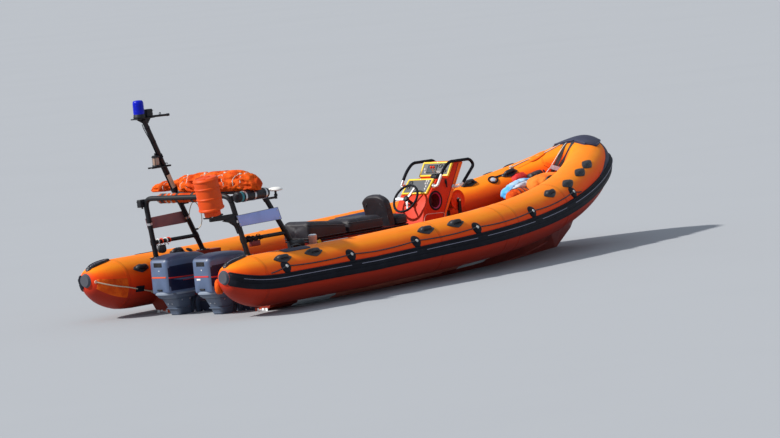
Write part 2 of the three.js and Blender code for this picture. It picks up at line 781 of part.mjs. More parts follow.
// Mast, in line with the forward port leg
const mastFoot = v(forwardLeg.topX, topY, hoopTopZ);
const mastTop = v(-427, 551, 2116);
const [mastFootRadius, mastTopRadius] = [30, 27];
const platformZ = 2132;
const mastTube = rod(mastFoot, mastTop, mastFootRadius, 12, mastTopRadius);
addPart('mast', joinAll([mastTube, box(-560, -300, 500, 612, platformZ - 12, platformZ),
  rod(v(-310, 555, platformZ), v(-30, 555, 2126), 15, 8), box(-395, -300, 520, 590, platformZ - 2, 2220)])
  .subtract(hoopRoom), 'frame');
addPart('blue_lamp', rod(v(-480, 556, platformZ + seamGap), v(-480, 556, 2327), 64, 20, 60), 'blueLamp');
const lampZ = 1594;
const mastRoom = rod(mastFoot, mastTop, mastFootRadius + seamGap, 12, mastTopRadius + seamGap);
addPart('mast_lamp', joinAll([rod(v(-252, 602, lampZ - 4), v(-252, 602, lampZ + 120), 42, 14, 42),
  box(-350, -60, 568, 636, lampZ - 14, lampZ)]).subtract(toSolid(mastRoom)), 'white');

// Lashed righting bag across the top of the roll bar
const bagHalf = 155;
// Sections: y, height, share of the full width and middle's x
const bagRings = [[-800, 100, 0.5, -175], [-750, 200, 0.85, -175], [-480, 208, 1, -175], [0, 205, 1, -175],
  [340, 180, 0.95, -165], [430, 150, 0.75, -20], [520, 120, 0.6, 130], [610, 110, 0.6, 135],
  [800, 95, 0.6, 90], [930, 50, 0.3, 40]];
const bagLow = hoopTopZ + hoopRadius - 3;
const bottleRadius = 52;
const bottleX = aftLeg.topX + hoopRadius + bottleRadius - 0.7;
const bottleZ = hoopTopZ - 10;
const [bottleY0, bottleY1] = [-130, 540];
const bottleRoom = rod(v(bottleX, bottleY0 - 10, bottleZ), v(bottleX, bottleY1 + 10, bottleZ),
  bottleRadius + seamGap, 16);
const bag = loft(bagRings.map(([y, height, share, middle]) => {
  const half = bagHalf * share;
  const ring = [];
  for (let i = 0; i < 14; i += 1) {
    const a = (2 * Math.PI * i) / 14;
    ring.push(v(middle + half * Math.cos(a), y, bagLow + height / 2 + (height / 2) * Math.sin(a)));
  }
  return ring;
}));
const canisterY = -730;
const canisterZ = 1238;
const canisterRadius = 57;
const [canisterX0, canisterX1] = [-445, 40];
const canisterRoom = rod(v(canisterX0 - 10, canisterY, canisterZ), v(canisterX1 + 10, canisterY, canisterZ),
  canisterRadius + seamGap, 16);
addPart('righting_bag', toSolid(bag).subtract(joinAll([hoopRoom, bottleRoom, canisterRoom])), 'bag');

// Gas bottle, canister and satellite antenna on the top bars
const bottle = rod(v(bottleX, bottleY0, bottleZ), v(bottleX, bottleY1, bottleZ), bottleRadius, 16);
addPart('gas_bottle', bottle, 'bag');
const canister = rod(v(canisterX0, canisterY, canisterZ), v(canisterX1, canisterY, canisterZ),
  canisterRadius, 16);
const barFrom = legPoint(aftLeg, topBarZ, -1);
const barTo = legPoint(forwardLeg, topBarZ, -1);
const barRoom = joinAll([rod(barFrom, barTo, barRadius + seamGap, 10), hoopRoom]);
const straps = [-340, -20].map((x) => rod(v(x, canisterY, canisterZ), v(x, barTo.y, topBarZ), 16, 8));
addPart('canister', joinAll([canister, ...straps]).subtract(barRoom), 'frame');
const dishX = 250;
const dishY = -650;
addPart('satellite_antenna', joinAll([rod(v(dishX, dishY, 1150), v(dishX, dishY, 1242), 14, 8),
  rod(v(dishX, dishY, 1234), v(dishX, dishY, 1274), 80, 16, 62),
  rod(v(80, dishY, 1164), v(dishX + 12, dishY, 1164), 14, 8)]).subtract(barRoom), 'white');

// Barrel on its arm: radius and height above the seat on the arm
const barrelRadius = 133;
const barrelProfile = [[0, 0], [85, 0], [85, 55], [barrelRadius, 62], [barrelRadius + 5, 80],
  [barrelRadius, 98], [barrelRadius, 400], [barrelRadius - 14, 418], [0, 418]];
const barrel = new THREE.LatheGeometry(barrelProfile.map(([r, h]) => new THREE.Vector2(r, h)), 22);
barrel.rotateX(Math.PI / 2).rotateY(barrelLean);
barrel.translate(barrelFoot.x, barrelFoot.y, barrelFoot.z);
addPart('barrel', barrel, 'bag');

// Gear stowed in the bow
// Sections: x, half width and top z
const bowBagRings = [[5110, 90, 780], [5150, 130, 840], [5400, 130, 870], [5440, 90, 830]];
const bowBag = loft(bowBagRings.map(([x, half, top]) => crossRing(x, half,
  collarZ(x) - coamingDrop - 20, top, 45, 10)));
addPart('bow_bag', toSolid(bowBag).subtract(hullSolid.translate(0, 0, seamGap)), 'bag');

// Outboard engines: one set of shapes, placed either side of the centreline
const swivelHalf = 50;
const plateGap = 6;
const platePairY = swivelHalf + plateGap;
const plateThick = 14;
const pinRadius = 17;
const tiltTubeRadius = 16;

// Cowl sections: x, half width, low z, high z, top corner radius
const cowlLowZ = 250;
const cowlSections = [
  [-662, 112, 262, 596, 22],
  [-646, 128, cowlLowZ, 622, 40],
  [-500, 160, cowlLowZ, 650, 70],
  [-300, 176, cowlLowZ, 654, 80],
  [-110, 164, cowlLowZ, 636, 80],
  [-10, 132, 256, 590, 70],
  [25, 84, 275, 510, 60],
];

// Room in the leg for the swivel: front faces of the leg's lower and upper parts, and the split's z
const legFrontX = -290;
const panFrontX = -236;
const panLowZ = 185;

// Leg plan sections: z, x aft, x forward, half width, corner radius
const legSections = [
  [-390, -440, legFrontX, 34, 14],
  [-300, -450, legFrontX, 42, 18],
  [-60, -460, legFrontX, 56, 24],
  [60, -500, legFrontX, 80, 34],
  [170, -560, -150, 104, 50],
  [cowlLowZ - seamGap, -620, -60, 118, 60],
];

function clampBracket(side) {
  const faceX = boardAftX - seamGap;
  const hookZ = transomTopZ + seamGap;
  const outline = [[-85, hookZ], [-85, 160], [-110, 178], [-170, 178], [-205, 140], [-190, -60], [faceX, -60],
    [faceX, hookZ]];
  const plates = [1, -1].map((s) => {
    const y0 = s * platePairY;
    const y1 = s * (platePairY + plateThick);
    return sidePlate(outline, Math.min(y0, y1), Math.max(y0, y1));
  });
  const tube = rod(v(tiltAxisX, -platePairY - plateThick - 20, tiltAxisZ),
    v(tiltAxisX, platePairY + plateThick + 20, tiltAxisZ), tiltTubeRadius, 16);
  return joinAll([...plates, tube]).translate(0, side * engineY, 0);
}

function swivelBracket(side) {
  const knuckle = rod(v(tiltAxisX, -swivelHalf, tiltAxisZ), v(tiltAxisX, swivelHalf, tiltAxisZ), 30, 16);
  const tube = rod(v(steerAxisX, 0, -70), v(steerAxisX, 0, 178), 32, 16);
  const web = sidePlate([[tiltAxisX - 10, 174], [steerAxisX, 174], [steerAxisX, -64], [-226, -64], [-205, 70],
    [tiltAxisX - 10, 126]], -24, 24);
  const bores = [rod(v(tiltAxisX, -90, tiltAxisZ), v(tiltAxisX, 90, tiltAxisZ), tiltTubeRadius + 0.6, 16),
    rod(v(steerAxisX, 0, -90), v(steerAxisX, 0, 200), pinRadius + 0.7, 16)];
  return bores.reduce((solid, bore) => solid.subtract(toSolid(bore)), joinAll([knuckle, tube, web]))
    .translate(0, side * engineY, 0);
}

function engineLeg(side) {
  const leg = loft(legSections.map(([z, x0, x1, half, radius]) => planRing(z, x0, x1, half, radius)));
  const lowRoom = box(legFrontX, 100, -130, 130, -110, panLowZ);
  const highRoom = box(panFrontX, 100, -130, 130, -110, 260);
  const pin = rod(v(steerAxisX, 0, -100), v(steerAxisX, 0, 230), pinRadius, 16);
  const lowerYoke = box(-320, -225, -30, 30, -118, -76);
  const plate = sidePlate([[-560, -405], [-560, -394], [-250, -394], [-250, -405]], -88, 88);
  const strut = loft([planRing(-560, -420, -250, 22, 10), planRing(-388, -440, -285, 32, 12)]);
  const casing = [[0, -170], [34, -190], [52, -235], [56, -300], [54, -430], [44, -468], [0, -468]];
  const gearcase = new THREE.LatheGeometry(casing.map(([r, x]) => new THREE.Vector2(r, -x)), 16);
  gearcase.rotateZ(Math.PI / 2).translate(0, 0, propellerZ);
  const skeg = loft([planRing(-780, -400, -330, 4, 3), planRing(propellerZ, -420, -240, 9, 4)]);
  const body = toSolid(leg).subtract(toSolid(lowRoom)).subtract(toSolid(highRoom));
  return joinAll([body, pin, lowerYoke, plate, strut, gearcase, skeg]).translate(0, side * engineY, 0);
}

function propeller(side) {
  const hub = new THREE.LatheGeometry([[0, 0], [42, 0], [44, 30], [34, 96], [0, 100]]
    .map(([r, h]) => new THREE.Vector2(r, h)), 14);
  const parts = [toSolid(hub.rotateX(Math.PI / 2))];
  for (let i = 0; i < 3; i += 1) {
    const blade = loft([[20, 26, 34], [70, 52, 30], [120, 60, 24], [160, 34, 16]].map(([r, half, pitch]) => {
      const twist = THREE.MathUtils.degToRad(pitch);
      const chord = v(0, Math.cos(twist), Math.sin(twist));
      const thick = v(0, -Math.sin(twist), Math.cos(twist));
      const centre = v(r, 0, 48);
      return [[-1, 0], [0, 1], [1, 0], [0, -1]].map(([c, t]) => centre.clone()
        .addScaledVector(chord, c * half).addScaledVector(thick, t * 4));
    }));
    parts.push(toSolid(blade.rotateZ((2 * Math.PI * i) / 3)));
  }
  return toGeometry(parts.reduce((a, b) => a.add(b))).rotateY(-Math.PI / 2)
    .translate(-468 - 2 * seamGap, side * engineY, propellerZ);
}

for (const [name, side] of [['port', 1], ['starboard', -1]]) {
  addPart(`engine_clamp_${name}`, clampBracket(side), 'engine');
  addPart(`engine_swivel_${name}`, swivelBracket(side), 'engine');
  const cowlRings = cowlSections.map(([x, half, low, high, radius]) => crossRing(x, half, low, high, radius, 18));
  const cowl = loft(cowlRings);
  addPart(`engine_cowl_${name}`, cowl.translate(0, side * engineY, 0), 'engine');
  addPart(`engine_leg_${name}`, engineLeg(side), 'engine');
  addPart(`propeller_${name}`, propeller(side), 'metal');
}

group.name = 'inshore_rescue_boat';

export default group;
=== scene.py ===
import math

import bmesh
import bpy
import numpy as np
from mathutils import Matrix, Vector
from mathutils import noise as mnoise
from mathutils.bvhtree import BVHTree


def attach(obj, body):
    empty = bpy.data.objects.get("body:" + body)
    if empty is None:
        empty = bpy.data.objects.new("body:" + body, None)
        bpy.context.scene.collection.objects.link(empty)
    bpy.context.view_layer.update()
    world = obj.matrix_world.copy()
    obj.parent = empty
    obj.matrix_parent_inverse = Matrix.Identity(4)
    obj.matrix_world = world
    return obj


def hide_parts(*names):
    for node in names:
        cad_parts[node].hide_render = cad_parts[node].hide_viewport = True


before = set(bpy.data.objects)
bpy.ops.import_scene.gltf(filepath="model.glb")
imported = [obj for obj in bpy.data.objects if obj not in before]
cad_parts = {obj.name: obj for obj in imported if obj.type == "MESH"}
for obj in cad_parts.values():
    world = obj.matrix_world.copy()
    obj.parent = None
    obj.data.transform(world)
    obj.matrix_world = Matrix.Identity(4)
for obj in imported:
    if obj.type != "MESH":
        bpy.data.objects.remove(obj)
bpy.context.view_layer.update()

# Inshore rescue boat: metres, x forward, y to port, z up from the waterline.


# Small mesh helpers

def vec(*numbers):
    return np.array(numbers, float)


def unit(a):
    return np.asarray(a, float) / np.linalg.norm(a)


def makePiece(name, points, faces, surface, sharp=40):
    mesh = bpy.data.meshes.new(name)
    mesh.from_pydata([tuple(map(float, p)) for p in points], [], [list(map(int, f)) for f in faces])
    piece = bpy.data.objects.new(name, mesh)
    bpy.context.scene.collection.objects.link(piece)
    finishMesh(mesh, surface, sharp)
    return piece


def finishMesh(mesh, surface, sharp):
    bm = bmesh.new()
    bm.from_mesh(mesh)
    bmesh.ops.remove_doubles(bm, verts=bm.verts, dist=1e-6)
    bmesh.ops.recalc_face_normals(bm, faces=bm.faces)
    bm.to_mesh(mesh)
    bm.free()
    mesh.polygons.foreach_set('use_smooth', [True] * len(mesh.polygons))
    mesh.set_sharp_from_angle(angle=math.radians(sharp))
    mesh.materials.clear()
    mesh.materials.append(surface)


def settle(piece, body='boat', replaces=()):
    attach(piece, body)
    if replaces:
        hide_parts(*replaces)
    return piece


# Points and faces of a body lofted through rings with equal counts
def loft(rings, caps=True, closed=True):
    rings = [np.asarray(r, float) for r in rings]
    n = len(rings[0])
    points = [p for ring in rings for p in ring]
    faces = []
    for i in range(len(rings) - 1):
        for j in range(n if closed else n - 1):
            k = (j + 1) % n
            faces.append([i * n + j, i * n + k, (i + 1) * n + k, (i + 1) * n + j])
    if caps:
        for first, ring in ((0, rings[0]), ((len(rings) - 1) * n, rings[-1])):
            hub = len(points)
            points.append(ring.mean(axis=0))
            faces += [[hub, first + j, first + (j + 1) % n] for j in range(n)]
    return points, faces


# A closed shell between an outer and an inner grid of points
def shell(outer, inner, wrap=False):
    outer, inner = np.asarray(outer, float), np.asarray(inner, float)
    rows, cols = outer.shape[:2]
    points = list(outer.reshape(-1, 3)) + list(inner.reshape(-1, 3))
    base = rows * cols
    faces = []
    last = cols if wrap else cols - 1
    for i in range(rows - 1):
        for j in range(last):
            a, b = i * cols + j, i * cols + (j + 1) % cols
            c, d = b + cols, a + cols
            faces.append([a, b, c, d])
            faces.append([base + a, base + d, base + c, base + b])
    for j in range(last):
        for i in (0, rows - 1):
            a, b = i * cols + j, i * cols + (j + 1) % cols
            faces.append([a, b, base + b, base + a])
    if not wrap:
        for i in range(rows - 1):
            for j in (0, cols - 1):
                a, b = i * cols + j, (i + 1) * cols + j
                faces.append([a, b, base + b, base + a])
    return points, faces


def merge(*bodies):
    points, faces = [], []
    for bodyPoints, bodyFaces in bodies:
        start = len(points)
        points += list(bodyPoints)
        faces += [[start + i for i in face] for face in bodyFaces]
    return points, faces


def moved(body, matrix):
    points, faces = body
    return [matrix @ Vector(p) for p in points], faces


def frameAlong(points):
    points = [np.asarray(p, float) for p in points]
    ways = []
    for i in range(len(points)):
        a, b = points[max(i - 1, 0)], points[min(i + 1, len(points) - 1)]
        ways.append(unit(b - a))
    side = unit(np.cross(ways[0], vec(0.13, 0.21, 1)))
    sides = []
    for way in ways:
        side = unit(side - way * np.dot(side, way))
        sides.append(side)
    return points, ways, sides


# A profile of (across, up) points, or a radius, swept along a line
def sweep(points, profile, sides=10, caps=True, scale=None, up=None):
    points, ways, across = frameAlong(points)
    if not hasattr(profile, '__len__'):
        turn = [2 * math.pi * i / sides for i in range(sides)]
        profile = [(profile * math.cos(a), profile * math.sin(a)) for a in turn]
    rings = []
    for i, (p, way, side) in enumerate(zip(points, ways, across)):
        if up is not None:
            side = unit(np.cross(way, np.asarray(up[i] if np.ndim(up) > 1 else up, float)))
        lift = np.cross(side, way)
        size = scale[i] if scale is not None else 1
        rings.append([p + side * a * size + lift * b * size for a, b in profile])
    return loft(rings, caps)


# A smooth line through a few points
def smoothLine(points, steps=6):
    points = [np.asarray(p, float) for p in points]
    ends = [2 * points[0] - points[1], *points, 2 * points[-1] - points[-2]]
    line = []
    for i in range(1, len(ends) - 2):
        a, b, c, d = ends[i - 1:i + 3]
        for k in range(steps):
            t = k / steps
            line.append(0.5 * (2 * b + (c - a) * t + (2 * a - 5 * b + 4 * c - d) * t ** 2
                               + (3 * b - a - 3 * c + d) * t ** 3))
    line.append(points[-1])
    return line


# Straight runs joined by rounded corners
def bentLine(points, bend, steps=6):
    points = [np.asarray(p, float) for p in points]
    line = [points[0]]
    for a, b, c in zip(points, points[1:], points[2:]):
        reach = min(bend, np.linalg.norm(a - b) * 0.49, np.linalg.norm(c - b) * 0.49)
        start, end = b + unit(a - b) * reach, b + unit(c - b) * reach
        for k in range(steps + 1):
            t = k / steps
            line.append((1 - t) ** 2 * start + 2 * t * (1 - t) * b + t * t * end)
    line.append(points[-1])
    return line


# Profile of (radius, height) turned about z
def lathe(profile, steps=32):
    turn = [2 * math.pi * i / steps for i in range(steps)]
    rings = [[(r * math.cos(a), r * math.sin(a), height) for a in turn] for r, height in profile]
    if profile[0][0] > 0 and profile[-1][0] > 0:  # an open ring, such as a band or a bush
        return loft([*rings, rings[0]], caps=False)
    return loft(rings)


def toward(direction, place=(0, 0, 0), roll=0.0):
    turn = Vector((0, 0, 1)).rotation_difference(Vector(direction))
    return Matrix.Translation(Vector(place)) @ turn.to_matrix().to_4x4() @ Matrix.Rotation(roll, 4, 'Z')


# Outline of (x, z) points carried across from y0 to y1
def sidePrism(outline, y0, y1):
    n = len(outline)
    points = [(x, y, z) for y in (y0, y1) for x, z in outline]
    faces = [list(range(n)), list(range(2 * n - 1, n - 1, -1))]
    faces += [[i, (i + 1) % n, n + (i + 1) % n, n + i] for i in range(n)]
    return points, faces


def boxBody(x0, x1, y0, y1, z0, z1):
    return sidePrism([(x0, z0), (x1, z0), (x1, z1), (x0, z1)], y0, y1)


# Bevels the hard edges of a body
def rounded(body, width, segments=3, angle=30):
    mesh = bpy.data.meshes.new('rounding')
    mesh.from_pydata([tuple(map(float, p)) for p in body[0]], [], [list(map(int, f)) for f in body[1]])
    bm = bmesh.new()
    bm.from_mesh(mesh)
    bmesh.ops.remove_doubles(bm, verts=bm.verts, dist=1e-6)
    bmesh.ops.recalc_face_normals(bm, faces=bm.faces)
    hard = [e for e in bm.edges if e.is_manifold and e.calc_face_angle(0) > math.radians(angle)]
    bmesh.ops.bevel(bm, geom=hard, offset=width, segments=segments, profile=0.5, affect='EDGES',
                    clamp_overlap=True)
    bm.verts.ensure_lookup_table()
    points = [tuple(v.co) for v in bm.verts]
    faces = [[v.index for v in f.verts] for f in bm.faces]
    bm.free()
    bpy.data.meshes.remove(mesh)
    return points, faces


# Surfaces

class Sock:  # a socket of one material's tree; sums and products on it add Math nodes
    def __init__(self, tree, socket=None):
        self.tree = tree
        self.socket = socket

    def node(self, kind, sockets=None, out=0, stops=None, **settings):
        made = self.tree.nodes.new('ShaderNode' + kind)
        for key, value in settings.items():
            setattr(made, key, value)
        if stops:
            ramp = made.color_ramp.elements
            while len(ramp) < len(stops):
                ramp.new(1.0)
            for element, (place, tone) in zip(ramp, stops):
                element.position = place
                element.color = (*tone, 1.0) if hasattr(tone, '__len__') else (tone, tone, tone, 1.0)
        for key, value in (sockets or {}).items():
            if isinstance(value, Sock):
                self.tree.links.new(value.socket, made.inputs[key])
            else:
                made.inputs[key].default_value = value
        return Sock(self.tree, made.outputs[out])

    def math(self, operation, a, b=0.0):
        return self.node('Math', {0: a, 1: b}, operation=operation)

    def __add__(self, other):
        return self.math('ADD', self, other)

    def __radd__(self, other):
        return self.math('ADD', other, self)

    def __sub__(self, other):
        return self.math('SUBTRACT', self, other)

    def __rsub__(self, other):
        return self.math('SUBTRACT', other, self)

    def __mul__(self, other):
        return self.math('MULTIPLY', self, other)

    def __rmul__(self, other):
        return self.math('MULTIPLY', other, self)

    def between(self, low, high):  # 0 below low, 1 above high
        return self.node('MapRange', {0: self, 1: low, 2: high, 3: 0.0, 4: 1.0},
                         interpolation_type='SMOOTHSTEP')

    def band(self, low, high, soft=0.001):
        return self.between(low - soft, low + soft) * (1 - self.between(high - soft, high + soft))


def place(s, x=1.0, y=1.0, z=1.0):
    spot = s.node('TexCoord', out=3)
    if (x, y, z) == (1.0, 1.0, 1.0):
        return spot
    return s.node('VectorMath', {0: spot, 1: (x, y, z)}, operation='MULTIPLY')


def noise(s, scale, detail=3.0, rough=0.55, at=None):
    return s.node('TexNoise', {'Vector': at or place(s), 'Scale': scale, 'Detail': detail, 'Roughness': rough})


def mixTone(s, factor, a, b, blend='MIX'):
    a = (*a, 1.0) if isinstance(a, tuple) and len(a) == 3 else a
    b = (*b, 1.0) if isinstance(b, tuple) and len(b) == 3 else b
    return s.node('Mix', {0: factor, 6: a, 7: b}, out=2, data_type='RGBA', blend_type=blend)


def bump(s, height, distance, strength=1.0, under=None):
    sockets = {'Height': height, 'Distance': distance, 'Strength': strength}
    if under:
        sockets['Normal'] = under
    return s.node('Bump', sockets)


def makeSurface(name, build, **fixed):
    material = bpy.data.materials.new(name)
    material.use_nodes = True
    tree = material.node_tree
    shader = tree.nodes['Principled BSDF']
    for key, value in fixed.items():
        key = key.replace('_', ' ')
        shader.inputs[key].default_value = (*value, 1.0) if hasattr(value, '__len__') else value
    for key, value in build(Sock(tree)).items():
        tree.links.new(value.socket, shader.inputs[key])
    material.diffuse_color = (0.5, 0.5, 0.5, 1)
    return material


# Coated cloth of the collar: its tone follows the way the skin faces, as painted light and shade: yellower orange where
# it faces up, deeper red down its sides and underneath; over clouds, streaks and a faint weave
def coatedCloth(deep=1.0):
    # Tones of the facing ramp: painted shade at its low end, painted sunlight at its high end
    stops = [(0.20, (0.32, 0.022, 0.009)), (0.42, (0.60, 0.030, 0.005)), (0.62, (0.90, 0.060, 0.003)),
             (0.76, (0.97, 0.130, 0.004)), (0.88, (0.98, 0.270, 0.008)), (1.0, (0.96, 0.230, 0.010))]
    stops = [(at, tuple(part * deep for part in tone)) for at, tone in stops]

    def build(s):
        up = s.node('SeparateXYZ', {0: s.node('TexCoord', out=1)}, out=2)
        patches = noise(s, 2.3, 4.0)
        streaks = noise(s, 9.0, 5.0, at=place(s, 0.25, 1.0, 1.6))
        specks = noise(s, 46.0, 3.0)
        tone = s.node('ValToRGB', {0: up * 0.5 + 0.42 + patches * 0.10 + streaks * 0.06}, stops=stops)
        stains = specks.between(0.6, 0.8) * 0.22 + streaks.between(0.56, 0.8) * 0.16
        colour = mixTone(s, stains, tone, stops[1][1])
        # Painted sunlight: yellower patches only on faces turned up
        colour = mixTone(s, patches.between(0.55, 0.8) * up.between(0.5, 0.95) * 0.35, colour, (0.98, 0.38, 0.015))
        relief = bump(s, noise(s, 900.0, 1.0), 0.0004, 0.35, bump(s, noise(s, 3.2, 3.0), 0.02, 0.3))
        return {'Base Color': colour, 'Roughness': 0.46 + streaks * 0.22, 'Normal': relief}
    return build


# Laminate, paint or moulded plastic: soft clouding, dust in the lows and fine orange peel
def gelCoat(tone, dull, rough=0.25, dust=0.25, peel=0.0006, scale=5.0):
    def build(s):
        clouds = noise(s, scale, 5.0)
        fine = noise(s, scale * 18, 3.0)
        colour = mixTone(s, clouds.between(0.42, 0.72) * dust + fine.between(0.6, 0.8) * dust * 0.4, tone, dull)
        peeled = bump(s, noise(s, 160.0, 2.0), peel, 0.25)
        return {'Base Color': colour, 'Roughness': rough + clouds * 0.2, 'Normal': peeled}
    return build


# Engine cover: darker where it faces up
def cowlPaint(tone, deep):
    def build(s):
        up = s.node('SeparateXYZ', {0: s.node('TexCoord', out=1)}, out=2)
        clouds = noise(s, 5.0, 5.0)
        fine = noise(s, 90.0, 3.0)
        colour = mixTone(s, up.between(0.35, 0.85),
                         mixTone(s, clouds.between(0.42, 0.72) * 0.5, tone, tuple(1.35 * c for c in tone)), deep)
        colour = mixTone(s, fine.between(0.62, 0.8) * 0.25, colour, deep)
        return {'Base Color': colour, 'Roughness': 0.32 + clouds * 0.2,
                'Normal': bump(s, noise(s, 160.0, 2.0), 0.0006, 0.25)}
    return build


# Moulded rubber: grey bloom and scuffs over black, pebbled skin
def rubberSkin(tone=(0.004, 0.005, 0.010), bloom=(0.016, 0.019, 0.032), rough=0.44, grain=420.0):
    def build(s):
        clouds = noise(s, 6.0, 5.0)
        scuffs = noise(s, 38.0, 4.0, 0.7, place(s, 0.3, 1.0, 1.0))
        colour = mixTone(s, clouds.between(0.4, 0.8) * 0.5 + scuffs.between(0.58, 0.75) * 0.35, tone, bloom)
        skin = bump(s, noise(s, grain, 2.0), 0.0007, 0.5)
        return {'Base Color': colour, 'Roughness': rough + scuffs * 0.25, 'Normal': skin}
    return build


# Powder-coated tube or bracket
def powderCoat(tone, worn, rough=0.38):
    def build(s):
        clouds = noise(s, 12.0, 4.0)
        chips = noise(s, 95.0, 2.0)
        colour = mixTone(s, clouds.between(0.5, 0.8) * 0.3 + chips.between(0.68, 0.74) * 0.6, tone, worn)
        return {'Base Color': colour, 'Roughness': rough + clouds * 0.18,
                'Normal': bump(s, noise(s, 700.0, 1.0), 0.0003, 0.4)}
    return build


# Woven cloth of bags and covers
def wovenCloth(tone, shade, scale=260.0, folds=14.0, relief=0.6):
    def build(s):
        spot = place(s)
        waveA = s.node('TexWave', {'Vector': spot, 'Scale': scale, 'Distortion': 0.6}, out=1,
                       wave_type='BANDS', bands_direction='X')
        waveB = s.node('TexWave', {'Vector': spot, 'Scale': scale, 'Distortion': 0.6}, out=1,
                       wave_type='BANDS', bands_direction='Z')
        cloud = noise(s, 7.0, 4.0)
        colour = mixTone(s, cloud.between(0.35, 0.7) * 0.7 + (waveA * waveB) * 0.15, tone, shade)
        creases = bump(s, noise(s, folds, 4.0), 0.02, relief)
        return {'Base Color': colour, 'Roughness': 0.62 + cloud * 0.2,
                'Normal': bump(s, waveA * 0.5 + waveB * 0.5, 0.0006, 0.5, creases)}
    return build


# Grained seat vinyl: clouds of a paler worn tone, and the same paler tone on faces turned up as painted sky highlight
def vinylGrain(tone, worn, grain=300.0):
    def build(s):
        cells = s.node('TexVoronoi', {'Vector': place(s), 'Scale': grain}, feature='F1')
        cloud = noise(s, 5.0, 4.0)
        up = s.node('SeparateXYZ', {0: s.node('TexCoord', out=1)}, out=2)
        # Painted highlight: faces turned up lean towards the paler tone, as if lit by the sky
        colour = mixTone(s, cloud.between(0.4, 0.75) * 0.35 + up.between(0.5, 1.0) * 0.3, tone, worn)
        return {'Base Color': colour, 'Roughness': 0.36 + cloud * 0.25,
                'Normal': bump(s, cells, 0.0006, 0.45, bump(s, noise(s, 9.0, 2.0), 0.01, 0.3))}
    return build


# Brushed or cast metal
def bareMetal(tone, stain, scale=30.0):
    def build(s):
        streaks = noise(s, scale, 4.0, 0.6, place(s, 1.0, 1.0, 6.0))
        colour = mixTone(s, streaks.between(0.45, 0.75) * 0.6, tone, stain)
        return {'Base Color': colour, 'Roughness': 0.22 + streaks * 0.3,
                'Normal': bump(s, streaks, 0.0005, 0.3)}
    return build


# Laid rope
def ropeLay(tone, shade, scale=240.0):
    def build(s):
        lay = s.node('TexWave', {'Vector': place(s), 'Scale': scale, 'Distortion': 1.5}, out=1,
                     wave_type='BANDS', bands_direction='DIAGONAL')
        return {'Base Color': mixTone(s, lay * 0.7 + noise(s, 60.0) * 0.3, tone, shade),
                'Roughness': 0.7 + noise(s, 80.0) * 0.2, 'Normal': bump(s, lay, 0.0012, 0.7)}
    return build


collarSurface = makeSurface('collarCloth', coatedCloth(), Specular_IOR_Level=0.16)
tapeSurface = makeSurface('seamTape', coatedCloth(0.86), Specular_IOR_Level=0.16)
rubberSurface = makeSurface('mouldedRubber', rubberSkin(), Specular_IOR_Level=0.15)
padSurface = makeSurface('fenderRubber', rubberSkin((0.028, 0.032, 0.062), (0.060, 0.067, 0.115), 0.5, 260.0),
                         Specular_IOR_Level=0.3)
gripSurface = makeSurface('gripRubber', rubberSkin((0.009, 0.010, 0.014), (0.075, 0.080, 0.10), 0.36, 300.0))
greySurface = makeSurface('greyRubber', rubberSkin((0.052, 0.057, 0.075), (0.115, 0.122, 0.155), 0.5, 90.0))
# Pale grey rubber: along the strake it is painted highlight, the sky's reflection on the ridge; it also colours the
# bead in the cone grips
lineSurface = makeSurface('strakeLine', rubberSkin((0.22, 0.22, 0.30), (0.34, 0.34, 0.42), 0.35, 200.0))
hullSurface = makeSurface('hullLaminate', gelCoat((0.24, 0.020, 0.007), (0.13, 0.011, 0.007), 0.4, 0.6),
                          Specular_IOR_Level=0.3)
metalSurface = makeSurface('stainless', bareMetal((0.62, 0.63, 0.65), (0.4, 0.4, 0.42)), Metallic=1.0)
ropeSurface = makeSurface('blackRope', ropeLay((0.012, 0.012, 0.016), (0.05, 0.05, 0.06)))
whiteRopeSurface = makeSurface('whiteRope', ropeLay((0.75, 0.72, 0.66), (0.5, 0.47, 0.42)))
frameSurface = makeSurface('frameCoat', powderCoat((0.006, 0.007, 0.010), (0.032, 0.034, 0.042), 0.4),
                           Specular_IOR_Level=0.35)
deckSurface = makeSurface('deckTread', rubberSkin((0.05, 0.052, 0.058), (0.13, 0.13, 0.14), 0.6, 180.0))
webbingSurface = makeSurface('webbing', wovenCloth((0.012, 0.012, 0.015), (0.05, 0.05, 0.055), 500.0, 30.0, 0.15))
greyTapeSurface = makeSurface('greyTape', gelCoat((0.86, 0.92, 0.92), (0.60, 0.66, 0.68), 0.4, 0.5))
# Painted light: a lighter red for the band along the chine where its rail catches the light
chineLightSurface = makeSurface('chineLitBand', gelCoat((0.70, 0.20, 0.13), (0.50, 0.12, 0.07), 0.35, 0.5))
eyeletSurface = makeSurface('eyelet', gelCoat((0.72, 0.72, 0.70), (0.4, 0.4, 0.4), 0.35, 0.4))
cowlSurface = makeSurface('cowlPaint', cowlPaint((0.078, 0.115, 0.205), (0.020, 0.030, 0.072)))
navySurface = makeSurface('cowlFlank', gelCoat((0.006, 0.010, 0.036), (0.014, 0.020, 0.055), 0.28, 0.5),
                          Specular_IOR_Level=0.3)
legSurface = makeSurface('legPaint', gelCoat((0.085, 0.115, 0.175), (0.05, 0.065, 0.10), 0.3, 0.5), Coat_Weight=0.2)
engineGreySurface = makeSurface('engineGrey', gelCoat((0.24, 0.29, 0.37), (0.14, 0.17, 0.22), 0.3, 0.4))
darkPlasticSurface = makeSurface('darkPlastic', powderCoat((0.008, 0.009, 0.013), (0.034, 0.036, 0.044), 0.42),
                                 Specular_IOR_Level=0.35)
tealSurface = makeSurface('tealBand', gelCoat((0.02, 0.22, 0.26), (0.02, 0.12, 0.15), 0.4, 0.4))
whitePlasticSurface = makeSurface('whitePlastic', gelCoat((0.80, 0.80, 0.78), (0.55, 0.55, 0.53), 0.3, 0.35))
stripeRedSurface = makeSurface('stripeRed', gelCoat((0.62, 0.014, 0.010), (0.42, 0.012, 0.010), 0.3, 0.4))
